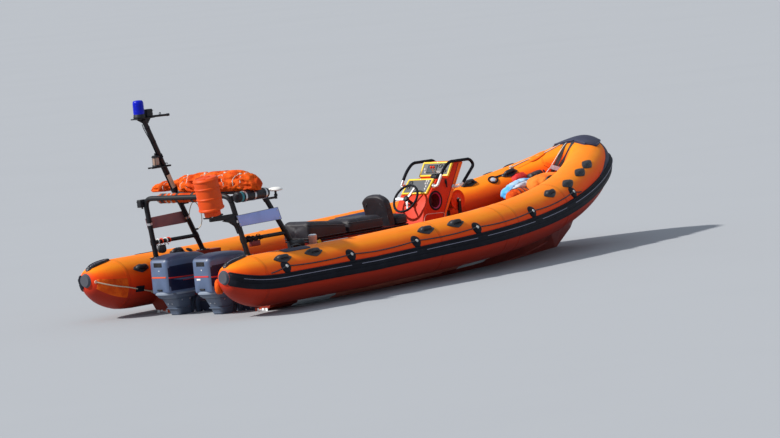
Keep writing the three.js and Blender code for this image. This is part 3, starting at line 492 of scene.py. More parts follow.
stripeOrangeSurface = makeSurface('stripeOrange', gelCoat((0.72, 0.085, 0.010), (0.50, 0.05, 0.010), 0.3, 0.4))
redPlasticSurface = makeSurface('redPlastic', gelCoat((0.86, 0.050, 0.006), (0.56, 0.022, 0.006), 0.4, 0.4),
                                Specular_IOR_Level=0.25)
magentaSurface = makeSurface('magentaRing', gelCoat((0.55, 0.02, 0.13), (0.30, 0.012, 0.06), 0.3, 0.3))
maroonSurface = makeSurface('maroon', gelCoat((0.16, 0.010, 0.012), (0.08, 0.006, 0.008), 0.4, 0.4))
consoleSurface = makeSurface('consoleGel', gelCoat((0.66, 0.032, 0.004), (0.46, 0.016, 0.004), 0.42, 0.5),
                             Specular_IOR_Level=0.2)
consoleTrimSurface = makeSurface('consoleTrim', gelCoat((0.75, 0.42, 0.33), (0.5, 0.25, 0.2), 0.35, 0.4))
consoleEdgeSurface = makeSurface('consoleEdge', gelCoat((0.96, 0.16, 0.012), (0.80, 0.10, 0.010), 0.4, 0.4),
                                 Specular_IOR_Level=0.25)
yellowSurface = makeSurface('panelYellow', gelCoat((0.90, 0.62, 0.03), (0.62, 0.40, 0.02), 0.3, 0.35))
panelGreySurface = makeSurface('panelGrey', powderCoat((0.085, 0.09, 0.10), (0.16, 0.165, 0.175), 0.42))
screenSurface = makeSurface('screenGlass', gelCoat((0.05, 0.065, 0.08), (0.09, 0.11, 0.13), 0.08, 0.2), Coat_Weight=1.0)
boardSurface = makeSurface('boardFace', gelCoat((0.34, 0.44, 0.86), (0.26, 0.32, 0.62), 0.5, 0.5, 0.0004, 7.0),
                           Specular_IOR_Level=0.25)
boardPortSurface = makeSurface('boardPort', gelCoat((0.34, 0.14, 0.14), (0.22, 0.11, 0.13), 0.5, 0.6, 0.0004, 7.0),
                               Specular_IOR_Level=0.25)
boardRimSurface = makeSurface('boardRim', gelCoat((0.16, 0.17, 0.24), (0.10, 0.10, 0.15), 0.4, 0.5))
beigeSurface = makeSurface('beigeStrip', gelCoat((0.62, 0.50, 0.36), (0.40, 0.31, 0.22), 0.5, 0.5))
blueLensSurface = makeSurface('blueLens', gelCoat((0.001, 0.009, 0.50), (0.001, 0.006, 0.30), 0.2, 0.4),
                              Specular_IOR_Level=0.25)
amberGlassSurface = makeSurface('lampGlass', gelCoat((0.34, 0.22, 0.16), (0.18, 0.11, 0.08), 0.06, 0.4),
                                Coat_Weight=0.9)
barrelSurface = makeSurface('barrelPlastic', gelCoat((0.68, 0.070, 0.004), (0.50, 0.036, 0.004), 0.42, 0.5, 0.001, 9.0),
                            Specular_IOR_Level=0.25)
bagSurface = makeSurface('bagCloth', wovenCloth((0.76, 0.115, 0.008), (0.40, 0.020, 0.004), 420.0, 16.0, 0.9),
                         Specular_IOR_Level=0.1)
coverClothSurface = makeSurface('coverCloth', wovenCloth((0.88, 0.26, 0.035), (0.70, 0.13, 0.012), 420.0, 12.0, 0.5),
                                Specular_IOR_Level=0.15)
redClothSurface = makeSurface('redCloth', wovenCloth((0.78, 0.022, 0.014), (0.45, 0.012, 0.010), 420.0, 16.0, 0.6))
paleClothSurface = makeSurface('paleCloth', wovenCloth((0.42, 0.50, 0.62), (0.62, 0.64, 0.68), 380.0, 14.0, 0.6))
cyanClothSurface = makeSurface('cyanCloth', wovenCloth((0.05, 0.38, 0.80), (0.55, 0.70, 0.82), 380.0, 14.0, 0.6),
                               Specular_IOR_Level=0.1)
orangeRopeSurface = makeSurface('orangeRope', ropeLay((0.70, 0.20, 0.03), (0.40, 0.10, 0.02), 300.0))
seatSurface = makeSurface('seatVinyl', vinylGrain((0.014, 0.013, 0.018), (0.045, 0.043, 0.056)),
                          Specular_IOR_Level=0.35)
podSurface = makeSurface('podGel', gelCoat((0.30, 0.020, 0.012), (0.18, 0.014, 0.010), 0.3, 0.4))
pipingSurface = makeSurface('pipingVinyl', vinylGrain((0.035, 0.036, 0.042), (0.11, 0.11, 0.12), 500.0))
threadSurface = makeSurface('thread', ropeLay((0.10, 0.10, 0.11), (0.05, 0.05, 0.055), 600.0))
padEdgeSurface = makeSurface('padEdge', rubberSkin((0.020, 0.030, 0.085), (0.05, 0.07, 0.14), 0.4, 260.0))
print('surfaces made')

# Camera, floor and light

viewpoint = {'place': (-43.133, -42.756, 5.196), 'azimuth': -46.983, 'elevation': 4.149, 'roll': -5.637,
             'lens': 261.6}


def makeCamera():
    az, el, ro = (math.radians(viewpoint[k]) for k in ('azimuth', 'elevation', 'roll'))
    back = Vector((math.sin(az) * math.cos(el), -math.cos(az) * math.cos(el), math.sin(el)))
    right = Vector((math.cos(az), math.sin(az), 0))
    up = back.cross(right)
    r = right * math.cos(ro) + up * math.sin(ro)
    u = up * math.cos(ro) - right * math.sin(ro)
    data = bpy.data.cameras.new('camera')
    data.lens = viewpoint['lens']
    data.sensor_width = 36
    data.clip_end = 900
    camera = bpy.data.objects.new('camera', data)
    bpy.context.scene.collection.objects.link(camera)
    turn = Matrix((r, u, back)).transposed().to_4x4()
    camera.matrix_world = Matrix.Translation(Vector(viewpoint['place'])) @ turn
    bpy.context.scene.camera = camera


makeCamera()

stageLook = {'floor': (0.36, 0.38, 0.41), 'radius': 330, 'world': (0.80, 0.88, 1.0), 'worldStrength': 0.52,
             'sun': 4.6, 'sunTone': (1.0, 0.96, 0.90), 'sunWay': (0.85, -0.53, -0.85), 'sunSoft': 3.0}


def makeStage():
    steps = 96
    turn = [2 * math.pi * i / steps for i in range(steps)]
    rings = [[(r * math.cos(a), r * math.sin(a), 0) for a in turn] for r in (8, stageLook['radius'])]
    points, faces = loft(rings, caps=False)
    faces.append(list(range(steps)))
    paleFloor = makeSurface('paleFloor', gelCoat(stageLook['floor'], (0.335, 0.355, 0.385), 0.8, 0.2, 0.0, 0.3))
    floor = makePiece('floor', points, faces, paleFloor)
    world = bpy.data.worlds.new('studio')
    world.use_nodes = True
    background = world.node_tree.nodes['Background']
    background.inputs[0].default_value = (*stageLook['world'], 1)
    background.inputs[1].default_value = stageLook['worldStrength']
    bpy.context.scene.world = world
    data = bpy.data.lights.new('key', 'SUN')
    data.energy = stageLook['sun']
    data.color = stageLook['sunTone']
    data.angle = math.radians(stageLook['sunSoft'])
    key = bpy.data.objects.new('key', data)
    bpy.context.scene.collection.objects.link(key)
    key.rotation_mode = 'QUATERNION'
    key.rotation_quaternion = Vector(stageLook['sunWay']).to_track_quat('-Z', 'Y')


makeStage()
bpy.context.scene.view_settings.view_transform = 'Standard'
print('camera and stage made')

# Collar: the same plan curve, sheer and radius as the frame

collar = {'radius': 0.279, 'bowRadius': 0.262, 'axisY': 1.041, 'axisZ': 0.36, 'straightEnd': 2.548,
          'bowEnd': 6.05, 'power': 1.5, 'seam': 4.5, 'sides': 72,
          'cone': [(-1.050, 0.078, 0.095), (-1.030, 0.112, 0.084), (-0.980, 0.158, 0.066), (-0.900, 0.205, 0.044),
                   (-0.780, 0.246, 0.022), (-0.620, 0.272, 0.006), (-0.450, 0.279, 0.0)]}
coneX = [row[0] for row in collar['cone']]


def clip01(value):
    return min(max(value, 0.0), 1.0)


def sheer(x):
    q = clip01((x - 1) / 5.05)
    return 0.138 * q - 0.084 * q ** 2 + 0.518 * q ** 4


def hermite(x, xs, ys):
    i = min(max(int(np.searchsorted(xs, x)) - 1, 0), len(xs) - 2)
    slopes = np.gradient(ys, xs)
    h = xs[i + 1] - xs[i]
    t = clip01((x - xs[i]) / h)
    return ((1 + 2 * t) * (1 - t) ** 2 * ys[i] + t * (1 - t) ** 2 * h * slopes[i]
            + t * t * (3 - 2 * t) * ys[i + 1] + t * t * (t - 1) * h * slopes[i + 1])


def collarRadius(x):
    if x < coneX[-1]:
        return hermite(x, coneX, [row[1] for row in collar['cone']])
    q = clip01((x - 3.5) / 2.55)
    return collar['radius'] + (collar['bowRadius'] - collar['radius']) * q ** 2


def collarLift(x):
    return hermite(x, coneX, [row[2] for row in collar['cone']]) if x < coneX[-1] else 0.0


# Axis by one number: x up to the straight's end, then the bow's own angle in radians past it
def collarAxis(t):
    if t <= collar['straightEnd']:
        return vec(t, collar['axisY'], collar['axisZ'] + sheer(t) + collarLift(t))
    a = t - collar['straightEnd']
    p = 2 / collar['power']
    x = collar['straightEnd'] + (collar['bowEnd'] - collar['straightEnd']) * abs(math.sin(a)) ** p
    y = collar['axisY'] * abs(math.cos(a)) ** p * math.copysign(1, math.cos(a))
    return vec(x, y, collar['axisZ'] + sheer(x))


def bowT(x):  # the axis number of a place x on the bow
    q = clip01((x - collar['straightEnd']) / (collar['bowEnd'] - collar['straightEnd']))
    return collar['straightEnd'] + math.asin(q ** (collar['power'] / 2)) if q > 0 else x


bowTip = collar['straightEnd'] + math.pi / 2


def collarFrame(t):
    centre = collarAxis(t)
    if t < coneX[-1]:
        along = vec(1, 0, 0)
    else:
        step = 0.004
        along = unit(collarAxis(t + step) - collarAxis(t - step))
    out = unit(vec(-along[1], along[0], 0))
    return centre, along, out, np.cross(along, out), collarRadius(centre[0])


# Point on the collar at x: angle in degrees up from straight outboard, height off the skin
def onCollar(x, degrees, off=0.0, side=1, t=None):
    centre, along, out, up, radius = collarFrame(bowT(x) if t is None else t)
    a = math.radians(degrees)
    normal = out * math.cos(a) + up * math.sin(a)
    point = centre + normal * (radius + off)
    flip = vec(1, side, 1)
    return point * flip, normal * flip, along * flip


def collarRing(t, off=0.0, sides=None):
    centre, _, out, up, radius = collarFrame(t)
    sides = sides or collar['sides']
    turn = [2 * math.pi * i / sides for i in range(sides)]
    return np.array([centre + (out * math.cos(a) + up * math.sin(a)) * (radius + off) for a in turn])


def mirrorY(body):
    points, faces = body
    return [vec(p[0], -p[1], p[2]) for p in points], [f[::-1] for f in faces]


seamT = bowT(collar['seam'])


# Rings of the port half of the bow, cut off at the middle plane and mirrored
def bowBody(rings):
    points, faces = loft(rings, caps=False)
    sides = len(rings[0])
    points.append(np.mean(rings[0], axis=0))
    faces += [[len(points) - 1, (j + 1) % sides, j] for j in range(sides)]
    bm = bmesh.new()
    corners = [bm.verts.new(p) for p in points]
    for face in faces:
        bm.faces.new([corners[i] for i in face])
    bmesh.ops.remove_doubles(bm, verts=bm.verts, dist=1e-6)
    bmesh.ops.bisect_plane(bm, geom=[*bm.verts, *bm.edges, *bm.faces], dist=1e-7, plane_co=(0, 2e-6, 0),
                           plane_no=(0, 1, 0), clear_inner=True)
    bm.verts.index_update()
    half = ([vec(v.co.x, v.co.y if v.co.y > 4e-6 else 0, v.co.z) for v in bm.verts],
            [[v.index for v in f.verts] for f in bm.faces])
    bm.free()
    return merge(half, mirrorY(half))


def makeCollar():
    cone = list(np.linspace(coneX[0], coneX[-1], 26))
    run = list(np.arange(-0.35, collar['straightEnd'], 0.1))
    curve = list(np.linspace(collar['straightEnd'], seamT - 0.0002, 22))
    sideBody = loft([collarRing(t) for t in cone + run + curve])
    for name, body in (('port', sideBody), ('starboard', mirrorY(sideBody))):
        piece = makePiece(f'collar_{name}', *body, collarSurface, 60)
        settle(piece, replaces=[f'tube_{name}'])
    rings = [collarRing(t) for t in np.linspace(seamT + 0.0002, bowTip, 48)]
    piece = makePiece('collar_bow', *bowBody(rings), collarSurface, 60)
    settle(piece, replaces=['tube_bow'])


makeCollar()


# Strip glued round or along the collar: axis numbers, angles in degrees, thickness
def collarStrip(ts, angles, thick, base=0.0004, wrap=False, tapered=True):
    outer, inner = [], []
    for i, t in enumerate(ts):
        centre, _, out, up, radius = collarFrame(t)
        rowOut, rowIn = [], []
        for j, degrees in enumerate(angles):
            a = math.radians(degrees)
            normal = out * math.cos(a) + up * math.sin(a)
            atEdge = i in (0, len(ts) - 1) or (not wrap and j in (0, len(angles) - 1))
            rise = base + (thick * 0.35 if atEdge and tapered else thick)
            rowOut.append(centre + normal * (radius + rise))
            rowIn.append(centre + normal * (radius - 0.0015))
        outer.append(rowOut)
        inner.append(rowIn)
    return shell(outer, inner, wrap)


tapes = {'rings': [(-0.66, 0.022), (2.08, 0.02), (3.17, 0.02), (3.42, 0.02), (4.5, 0.024)], 'thick': 0.0016}


def makeTapes():
    bodies = []
    for x, half in tapes['rings']:
        ts = [bowT(x + d) for d in (-half, -half * 0.8, 0, half * 0.8, half)]
        bodies.append(collarStrip(ts, list(np.arange(0, 360, 5)), tapes['thick'], wrap=True))
    body = merge(*bodies)
    piece = makePiece('seam_tapes_port', *body, tapeSurface, 50)
    settle(piece)
    settle(makePiece('seam_tapes_starboard', *mirrorY(body), tapeSurface, 50))


makeTapes()

strake = {'half': 0.075, 'ridge': 0.38, 'drop': 0.013, 'start': (-1.0495, -1.045, -1.038, -1.028, -1.015, -0.995),
          'profile': [(-1, 0.001), (-0.97, 0.010), (-0.90, 0.020), (-0.78, 0.024), (-0.20, 0.024), (-0.14, 0.019),
                      (-0.06, 0.019), (0, 0.024), (0.24, 0.026), (0.29, 0.031), (0.47, 0.031), (0.52, 0.026),
                      (0.62, 0.024), (0.66, 0.019), (0.72, 0.019), (0.78, 0.024), (0.90, 0.020), (0.97, 0.010),
                      (1, 0.001)]}


def strakeRing(t, shrink=1.0):
    centre, _, out, up, radius = collarFrame(t)
    middle = -math.asin(strake['drop'] / radius)
    spread = strake['half'] / radius
    row = []
    outline = [(share, height * shrink) for share, height in strake['profile']]
    outline += [(share, -0.002) for share in (0.6, 0.2, -0.2, -0.6)]
    for share, height in outline:
        a = middle + spread * share * (0.55 + 0.45 * shrink)
        row.append(centre + (out * math.cos(a) + up * math.sin(a)) * (radius + 0.0005 + height))
    return row


def makeStrakes():
    run = [*np.arange(-0.96, -0.4, 0.03), *np.arange(-0.4, collar['straightEnd'], 0.1),
           *np.linspace(collar['straightEnd'], seamT, 22)]
    body = loft([strakeRing(t, 0.8 if i == 0 else 1.0) for i, t in enumerate([*strake['start'], *run])])
    for name, made in (('port', body), ('starboard', mirrorY(body))):
        settle(makePiece(f'strake_rubber_{name}', *made, rubberSurface, 35),
               replaces=[f'strake_{name}'])
    rings = [np.array(strakeRing(t)) for t in np.linspace(seamT, bowTip, 40)]
    settle(makePiece('strake_rubber_bow', *bowBody(rings), rubberSurface, 35),
           replaces=['strake_bow'])


makeStrakes()
print('collar made')

# Small bodies that many pieces share

def rodBody(a, b, radius, radiusTo=None, sides=16):
    scale = [1, (radius if radiusTo is None else radiusTo) / radius]
    return sweep([a, b], radius, sides, scale=scale)


def ringBody(centre, axis, radius, thick, steps=28, sides=8, squash=1.0):
    turn = toward(axis, centre)
    rings = []
    for i in range(steps + 1):
        a = 2 * math.pi * i / steps
        spoke = Vector((math.cos(a), math.sin(a), 0))
        rings.append([turn @ (spoke * (radius + thick * math.cos(b)) + Vector((0, 0, thick * squash * math.sin(b))))
                      for b in (2 * math.pi * j / sides for j in range(sides))])
    return loft(rings, caps=False)


def latheAt(profile, place, axis, steps=24):
    return moved(lathe(profile, steps), toward(axis, place))


# Plain pin or disc
def peg(place, axis, radius, length, steps=24):
    return latheAt([(0, 0), (radius, 0), (radius, length), (0, length)], place, axis, steps)


# Hexagonal head on a washer
def boltBody(place, axis, size=0.008):
    washer = peg(place, axis, size * 1.35, size * 0.2, 12)
    head = latheAt([(0, size * 0.15), (size, size * 0.15), (size, size * 0.7), (size * 0.7, size * 0.9),
                    (0, size * 0.9)],
                   place, axis, 6)
    return merge(washer, head)


def add(name, body, surface, rides='boat', replaces=(), sharp=40):
    return settle(makePiece(name, *body, surface, sharp), rides, replaces)


def bothSides(name, body, surface, sharp=40, replaces=''):
    for side, made in (('port', body), ('starboard', mirrorY(body))):
        add(f'{name}_{side}', made, surface, replaces=[f'{replaces}_{side}'] if replaces else (), sharp=sharp)


# Fittings on the collar

# Point near a spot on the collar: u along it, v round it, off its skin
def onSkin(x, degrees, u=0.0, v=0.0, off=0.0):
    t = bowT(x)
    step = 0.003
    rate = np.linalg.norm(collarAxis(t + step) - collarAxis(t - step)) / (2 * step)
    t += u / rate
    centre, along, out, up, radius = collarFrame(t)
    a = math.radians(degrees) + v / radius
    normal = out * math.cos(a) + up * math.sin(a)
    return centre + normal * (radius + off), normal, along


# Moulding that follows the collar: outline rings of (share of the outline, height off the skin)
def skinMoulding(x, degrees, outline, levels):
    rings = []
    for share, height in levels:
        rings.append([onSkin(x, degrees, u * share, v * share, height)[0] for u, v in outline])
    rings.append([onSkin(x, degrees, u * 0.5, v * 0.5, -0.004)[0] for u, v in outline])
    return loft([rings[-1]] + rings[:-1])


def oval(halfU, halfV, power=2.4, steps=32):
    points = []
    for i in range(steps):
        a = 2 * math.pi * i / steps
        c, s = math.cos(a), math.sin(a)
        points.append((halfU * math.copysign(abs(c) ** (2 / power), c),
                       halfV * math.copysign(abs(s) ** (2 / power), s)))
    return points


grip = {'spots': [(-0.34, 48), (0.145, 50), (1.93, 49), (2.415, 49), (4.29, 50), (4.75, 50), (5.145, 54), (5.405, 56)],
        'base': (0.138, 0.062), 'half': 0.078, 'rise': 0.040, 'bowRise': 0.6, 'bowFrom': 4.5,
        'innerBase': (0.115, 0.052), 'innerRise': 0.045, 'inner': ((-0.44, 147), (0.225, 120)),
        'innerBow': {'port': ((4.74, 113), (5.245, 127)), 'starboard': ((4.74, 150), (5.245, 152))},
        'profile': [(-0.021, -0.006), (-0.021, 0.004), (-0.012, 0.012), (0.0, 0.015), (0.012, 0.012),
                    (0.021, 0.004), (0.021, -0.006), (0.0, -0.010)]}


def gripBody(x, degrees, half, rise, base):
    pad = skinMoulding(x, degrees, oval(*base, 1.3),
                       [(1, 0.001), (1, 0.005), (0.96, 0.009), (0.86, 0.012), (0.3, 0.014)])
    ribs = skinMoulding(x, degrees, oval(base[0] * 0.7, base[1] * 0.6, 1.4), [(1, 0.011), (0.94, 0.016), (0.6, 0.018)])
    line = [(-half, 0.0), (-half * 0.86, rise * 0.55), (-half * 0.62, rise * 0.9), (-half * 0.3, rise),
            (0, rise * 1.02),
            (half * 0.3, rise), (half * 0.62, rise * 0.9), (half * 0.86, rise * 0.55), (half, 0.0)]
    path, ups = [], []
    for u, height in line:
        point, normal, _ = onSkin(x, degrees, u, 0, height)
        path.append(point)
        ups.append(normal)
    path = smoothLine(path, 3)
    normals = smoothLine(ups, 3)
    arch = sweep(path, grip['profile'], up=np.array([unit(n) for n in normals]))
    toes = [skinMoulding(x, degrees, [(u + side * half, v) for u, v in oval(0.030, 0.026)],
                         [(1, 0.009), (0.92, 0.017), (0.7, 0.022)]) for side in (-1, 1)]
    return merge(pad, ribs, arch, *toes)


def makeGrips():
    def row(spots, rise, base):
        return merge(*[gripBody(x, a, grip['half'], rise, base) for x, a in spots])

    stern = [spot for spot in grip['spots'] if spot[0] < grip['bowFrom']]
    bow = [spot for spot in grip['spots'] if spot[0] > grip['bowFrom']]
    bothSides('grips', row(stern, grip['rise'], grip['base']), gripSurface)
    bothSides('bow_grips', row(bow, grip['rise'] * grip['bowRise'], grip['base']), gripSurface)
    bothSides('inner_grips', row(grip['inner'], grip['innerRise'], grip['innerBase']), gripSurface)
    # The forward ones aren't level: those to starboard sit lower, out of sight behind the tube's crest
    for name, spots in grip['innerBow'].items():
        pair = row(spots, grip['innerRise'], grip['innerBase'])
        add(f'inner_grips_bow_{name}', pair if name == 'port' else mirrorY(pair), gripSurface)


makeGrips()

coneGrip = {'x': -0.866, 'degrees': 93, 'half': (0.140, 0.036), 'inner': (0.108, 0.019)}


# Long low oval moulding on each stern cone, with a pale bead inside it
def makeConeGrips():
    x, degrees = coneGrip['x'], coneGrip['degrees']

    def loop(half, lift, profile):
        spots = [onSkin(x, degrees, u, v, lift) for u, v in oval(*half, 2.1, 40)]
        spots.append(spots[0])
        return sweep([p for p, _, _ in spots], profile, up=np.array([n for _, n, _ in spots]))

    pad = skinMoulding(x, degrees, oval(coneGrip['half'][0] + 0.012, coneGrip['half'][1] + 0.012, 2.1),
                       [(1, 0.001), (0.97, 0.005), (0.85, 0.008)])
    ring = loop(coneGrip['half'], 0.010, [(-0.010, -0.008), (-0.009, 0.006), (-0.004, 0.012), (0.004, 0.012),
                                          (0.009, 0.006), (0.010, -0.008)])
    feet = [skinMoulding(x + side * coneGrip['half'][0], degrees, oval(0.030, 0.030),
                         [(1, 0.001), (0.95, 0.012), (0.7, 0.020)])
            for side in (-1, 1)]
    bothSides('cone_grip', merge(pad, ring, *feet), gripSurface)
    bothSides('cone_grip_bead', loop(coneGrip['inner'], 0.011, 0.0045), lineSurface)


makeConeGrips()

lifeline = {'angle': 26, 'patches': [-0.367, 0.640, 1.680, 2.665, 3.730, 4.695], 'radius': 0.069, 'rope': 0.0065,
            'sag': 3.0, 'ends': (-0.62, 4.86), 'strakeGaps': [0.660, 1.700, 2.690, 3.760]}


def discOutline(radius, steps=36):
    return [(radius * math.cos(2 * math.pi * i / steps), radius * math.sin(2 * math.pi * i / steps))
            for i in range(steps)]


def makeLifelines():
    angle, radius = lifeline['angle'], lifeline['radius']
    discs, eyelets, tails = [], [], []
    for x in lifeline['patches']:
        discs.append(skinMoulding(x, angle, discOutline(radius),
                                  [(1, 0.001), (1, 0.004), (0.93, 0.008), (0.62, 0.012), (0.40, 0.017), (0.30, 0.021),
                                   (0.26, 0.021)]))
        spot, normal, _ = onSkin(x, angle, 0, 0, 0.0215)
        eyelets.append(ringBody(spot, normal, 0.0135, 0.0045, 20, 6))
        eyelets.append(latheAt([(0, -0.003), (0.011, -0.003), (0.008, 0.004), (0, 0.005)], spot, normal, 16))
        tails.append(skinMoulding(x, angle, [(0.030, -0.02), (-0.030, -0.02), (-0.048, -0.082), (0.048, -0.082)],
                                  [(1, 0.002), (0.97, 0.006), (0.8, 0.007)]))
    bothSides('lifeline_patches', merge(*discs, *tails), rubberSurface, replaces='lifeline')
    bothSides('lifeline_eyelets', merge(*eyelets), eyeletSurface)
    stops = [lifeline['ends'][0], *lifeline['patches'], lifeline['ends'][1]]
    path = []
    for i, (a, b) in enumerate(zip(stops, stops[1:])):
        for k in range(12):
            share = k / 12
            droop = lifeline['sag'] * 4 * share * (1 - share) * (1 if 0 < i < len(stops) - 2 else 0.3)
            low = angle if i else angle - 10 * (1 - share)
            if i == len(stops) - 2:
                low = angle - 10 * share
            path.append(onSkin(a + (b - a) * share, low - droop, 0, 0,
                               0.0085 + 0.010 * (1 - 4 * share * (1 - share)))[0])
    path.append(onSkin(stops[-1], angle - 10, 0, 0, 0.008)[0])
    bothSides('lifeline_rope', sweep(smoothLine(path, 2), lifeline['rope'], 10), ropeSurface)


makeLifelines()


# Painted highlight: a pale strip along the strake's ridge stands for the sky's reflection on the black rubber, open
# under each patch
def makeStrakeHighlights():
    gaps = lifeline['strakeGaps']
    stops = [-1.02, *gaps, 4.46]

    def line(ts, radius):
        middle = -math.asin(strake['drop'] / radius) + strake['ridge'] * strake['half'] / radius
        spread = math.degrees(0.0062 / radius)
        return collarStrip(ts, [math.degrees(middle) + spread * k for k in (-1, -0.4, 0.4, 1)], 0.0335, base=0.0)

    bodies = []
    for i, (a, b) in enumerate(zip(stops, stops[1:])):
        start, end = a + (0.020 if i else 0), b - (0.020 if i < len(gaps) else 0)
        ts = [bowT(x) for x in np.linspace(start, end, max(int((end - start) / 0.06), 4))]
        bodies.append(line(ts, collar['radius']))
    bothSides('strake_highlight', merge(*bodies), lineSurface)
    bothSides('strake_highlight_bow', line(list(np.linspace(bowT(4.56), bowTip - 0.001, 40)), collar['bowRadius']),
              lineSurface)


makeStrakeHighlights()

patching = {
    'scuffPad': (-0.015, 76, 0.21, 0.048, 0.006),  # x, angle, half length, half width, thickness
    # x, angle, half length, half width
    'repairs': [(4.86, 8, 0.075, 0.070), (5.52, 10, 0.060, 0.060), (0.9, 150, 0.09, 0.07)],
    'valves': [(0.42, 118), (2.3, 118), (4.05, 122)],  # x, angle
}


def makePatches():
    x, a, halfU, halfV, thick = patching['scuffPad']
    levels = [(1, 0.001), (1, thick * 0.6), (0.96, thick), (0.5, thick)]
    for side, flip in (('starboard', mirrorY), ('port', lambda body: body)):
        add(f'step_pad_{side}', flip(skinMoulding(x, a, oval(halfU, halfV, 6), levels)), padSurface)
    repairs = [skinMoulding(x, a, oval(u, v, 5), [(1, 0.0012), (0.98, 0.002), (0.5, 0.002)])
               for x, a, u, v in patching['repairs']]
    bothSides('repair_patches', merge(*repairs), tapeSurface, sharp=60)
    others = []
    for x, a in patching['valves']:
        spot, normal, _ = onSkin(x, a)
        others += [ringBody(spot + normal * 0.003, normal, 0.032, 0.006, 24, 8, 0.6),
                   latheAt([(0, -0.002), (0.028, -0.002), (0.026, 0.004), (0.016, 0.008), (0, 0.009)], spot, normal,
                           24)]
    bothSides('inner_valves', merge(*others), rubberSurface)


makePatches()
print('collar fittings made')

# Hull: x, keel height, chine half breadth and chine height, as in the frame

hullForm = [(-0.23, -0.4, 0.85, 0.03), (1.8, -0.4, 0.85, 0.045), (2.6, -0.4, 0.84, 0.075), (3.4, -0.375, 0.78, 0.118),
            (4.2, -0.31, 0.64, 0.175), (4.9, -0.185, 0.44, 0.25), (5.4, -0.02, 0.25, 0.345), (5.7, 0.19, 0.12, 0.45),
            (5.86, 0.4, 0.045, 0.56)]


def hullAt(x):
    xs = [row[0] for row in hullForm]
    return [float(np.interp(x, xs, [row[i] for row in hullForm])) for i in (1, 2, 3)]


def collarY(x):
    return float(collarAxis(bowT(x))[1])


def obliquity(x):
    return math.hypot(1, (collarY(x + 0.005) - collarY(x - 0.005)) / 0.01)


# Port side: bottom from keel to chine at share 0 to 1, flank from chine up at share 1 to 2
def hullSkin(x, share, off=0.0):
    keel, chineY, chineZ = hullAt(x)
    if share <= 1:
        a, b = vec(x, 0, keel), vec(x, chineY - 0.05, chineZ - 0.012)
        s = share
    else:
        y, z = collarY(x), 0.36 + sheer(x)
        a, b = vec(x, chineY, chineZ), vec(x, max(y - 0.1 * obliquity(x), chineY + 0.01), z - 0.2)
        s = share - 1
    way = unit(b - a)
    normal = vec(0, way[2], -way[1])
    return a + (b - a) * s + normal * off


def hullStrip(x0, x1, share, half, thick, steps=40, fade=0.12):
    outer, inner = [], []
    for x in np.linspace(x0, x1, steps):
        size = clip01(min(x - x0, x1 - x) / fade + 0.12)
        row = [(-1, 0.001), (-0.7, thick * size), (0.7, thick * size), (1, 0.001)]
        if share + half > 1 > share - half:
            row = [(-1, 0.001), (-0.9, thick), ((1 - share) / half, thick), ((1.001 - share) / half, thick),
                   (0.95, thick), (1, 0.001)]
        outer.append([hullSkin(x, share + d * half, h) for d, h in row])
        inner.append([hullSkin(x, share + d * half, -0.004) for d, _ in row])
    return shell(outer, inner)


hullTrim = {'rails': [(0.34, -0.1, 4.9, 0.028), (0.66, -0.1, 5.1, 0.026)], 'railDepth': 0.024, 'keel': (-0.12, 5.2),
            # from x, to x, share of the section, half width in shares
            'tapes': [(0.20, 0.80, 1.10, 0.18), (2.90, 3.50, 1.10, 0.18)],
            'flank': [(0.80, 2.90, 1.10, 0.16), (3.50, 4.30, 1.10, 0.16)]}


def makeHullTrim():
    rails = [hullStrip(x0, x1, share, half, hullTrim['railDepth']) for share, x0, x1, half in hullTrim['rails']]
    bothSides('spray_rails', merge(*rails), hullSurface)
    x0, x1 = hullTrim['keel']
    line = []
    for x in np.linspace(x0, x1, 50):
        line.append(vec(x, 0, hullAt(x)[0] - 0.001))
    add('keel_band', sweep(line, [(-0.020, 0.006), (-0.015, -0.002), (0, -0.005), (0.015, -0.002), (0.020, 0.006)],
                           up=(0, 0, 1)), metalSurface)
    tapes = [hullStrip(x0, x1, share, half, 0.0018, 16, 0.01) for x0, x1, share, half in hullTrim['tapes']]
    bothSides('flank_tapes', merge(*tapes), greyTapeSurface, sharp=60)
    # Painted light: lighter red bands along the chine, in line with the tapes, for light caught by the rail
    litBands = [hullStrip(x0, x1, share, half, 0.0014, 40, 0.01) for x0, x1, share, half in hullTrim['flank']]
    bothSides('chine_lit_band', merge(*litBands), chineLightSurface, 60)


makeHullTrim()

deckEdge = {'start': 0.44, 'end': 5.02, 'inset': 0.306, 'radius': 0.013}


def deckEdgePoint(x, inset, z):
    return vec(x, collarY(x) - inset * obliquity(x), z)


# Rolled rubber edge round the cockpit
def makeDeckEdge():
    xs = list(np.linspace(deckEdge['start'], 2.5, 10)) + list(np.linspace(2.6, deckEdge['end'], 24))
    line = [deckEdgePoint(x, deckEdge['inset'], 0.36 + sheer(x) - 0.056) for x in xs]
    line.append(vec(deckEdge['end'] + 0.03, line[-1][1] * 0.8, line[-1][2]))
    line.append(vec(deckEdge['end'] + 0.035, 0, line[-1][2]))
    full = line + [vec(p[0], -p[1], p[2]) for p in line[-2::-1]]
    add('cockpit_edge', sweep(full, deckEdge['radius'], 12), rubberSurface, sharp=60)


makeDeckEdge()

deck = {'z': 0.120, 'pads': [(0.46, 1.28, 0.0, 0.55), (1.34, 2.30, 0.24, 0.60), (2.36, 3.24, 0.24, 0.60),
                             (3.36, 3.62, 0.0, 0.52), (4.44, 4.86, 0.0, 0.26)],
        'straps': [(1.45, 0.44), (1.95, 0.44), (2.45, 0.43), (2.95, 0.42)], 'padThick': 0.004,
        # x and y ranges of the hatch's frame
        'hatch': ((4.02, 4.04, -0.21, 0.21), (4.40, 4.42, -0.21, 0.21), (4.04, 4.40, -0.21, -0.19),
                  (4.04, 4.40, 0.19, 0.21)), 'hingeY': (-0.12, 0.12)}


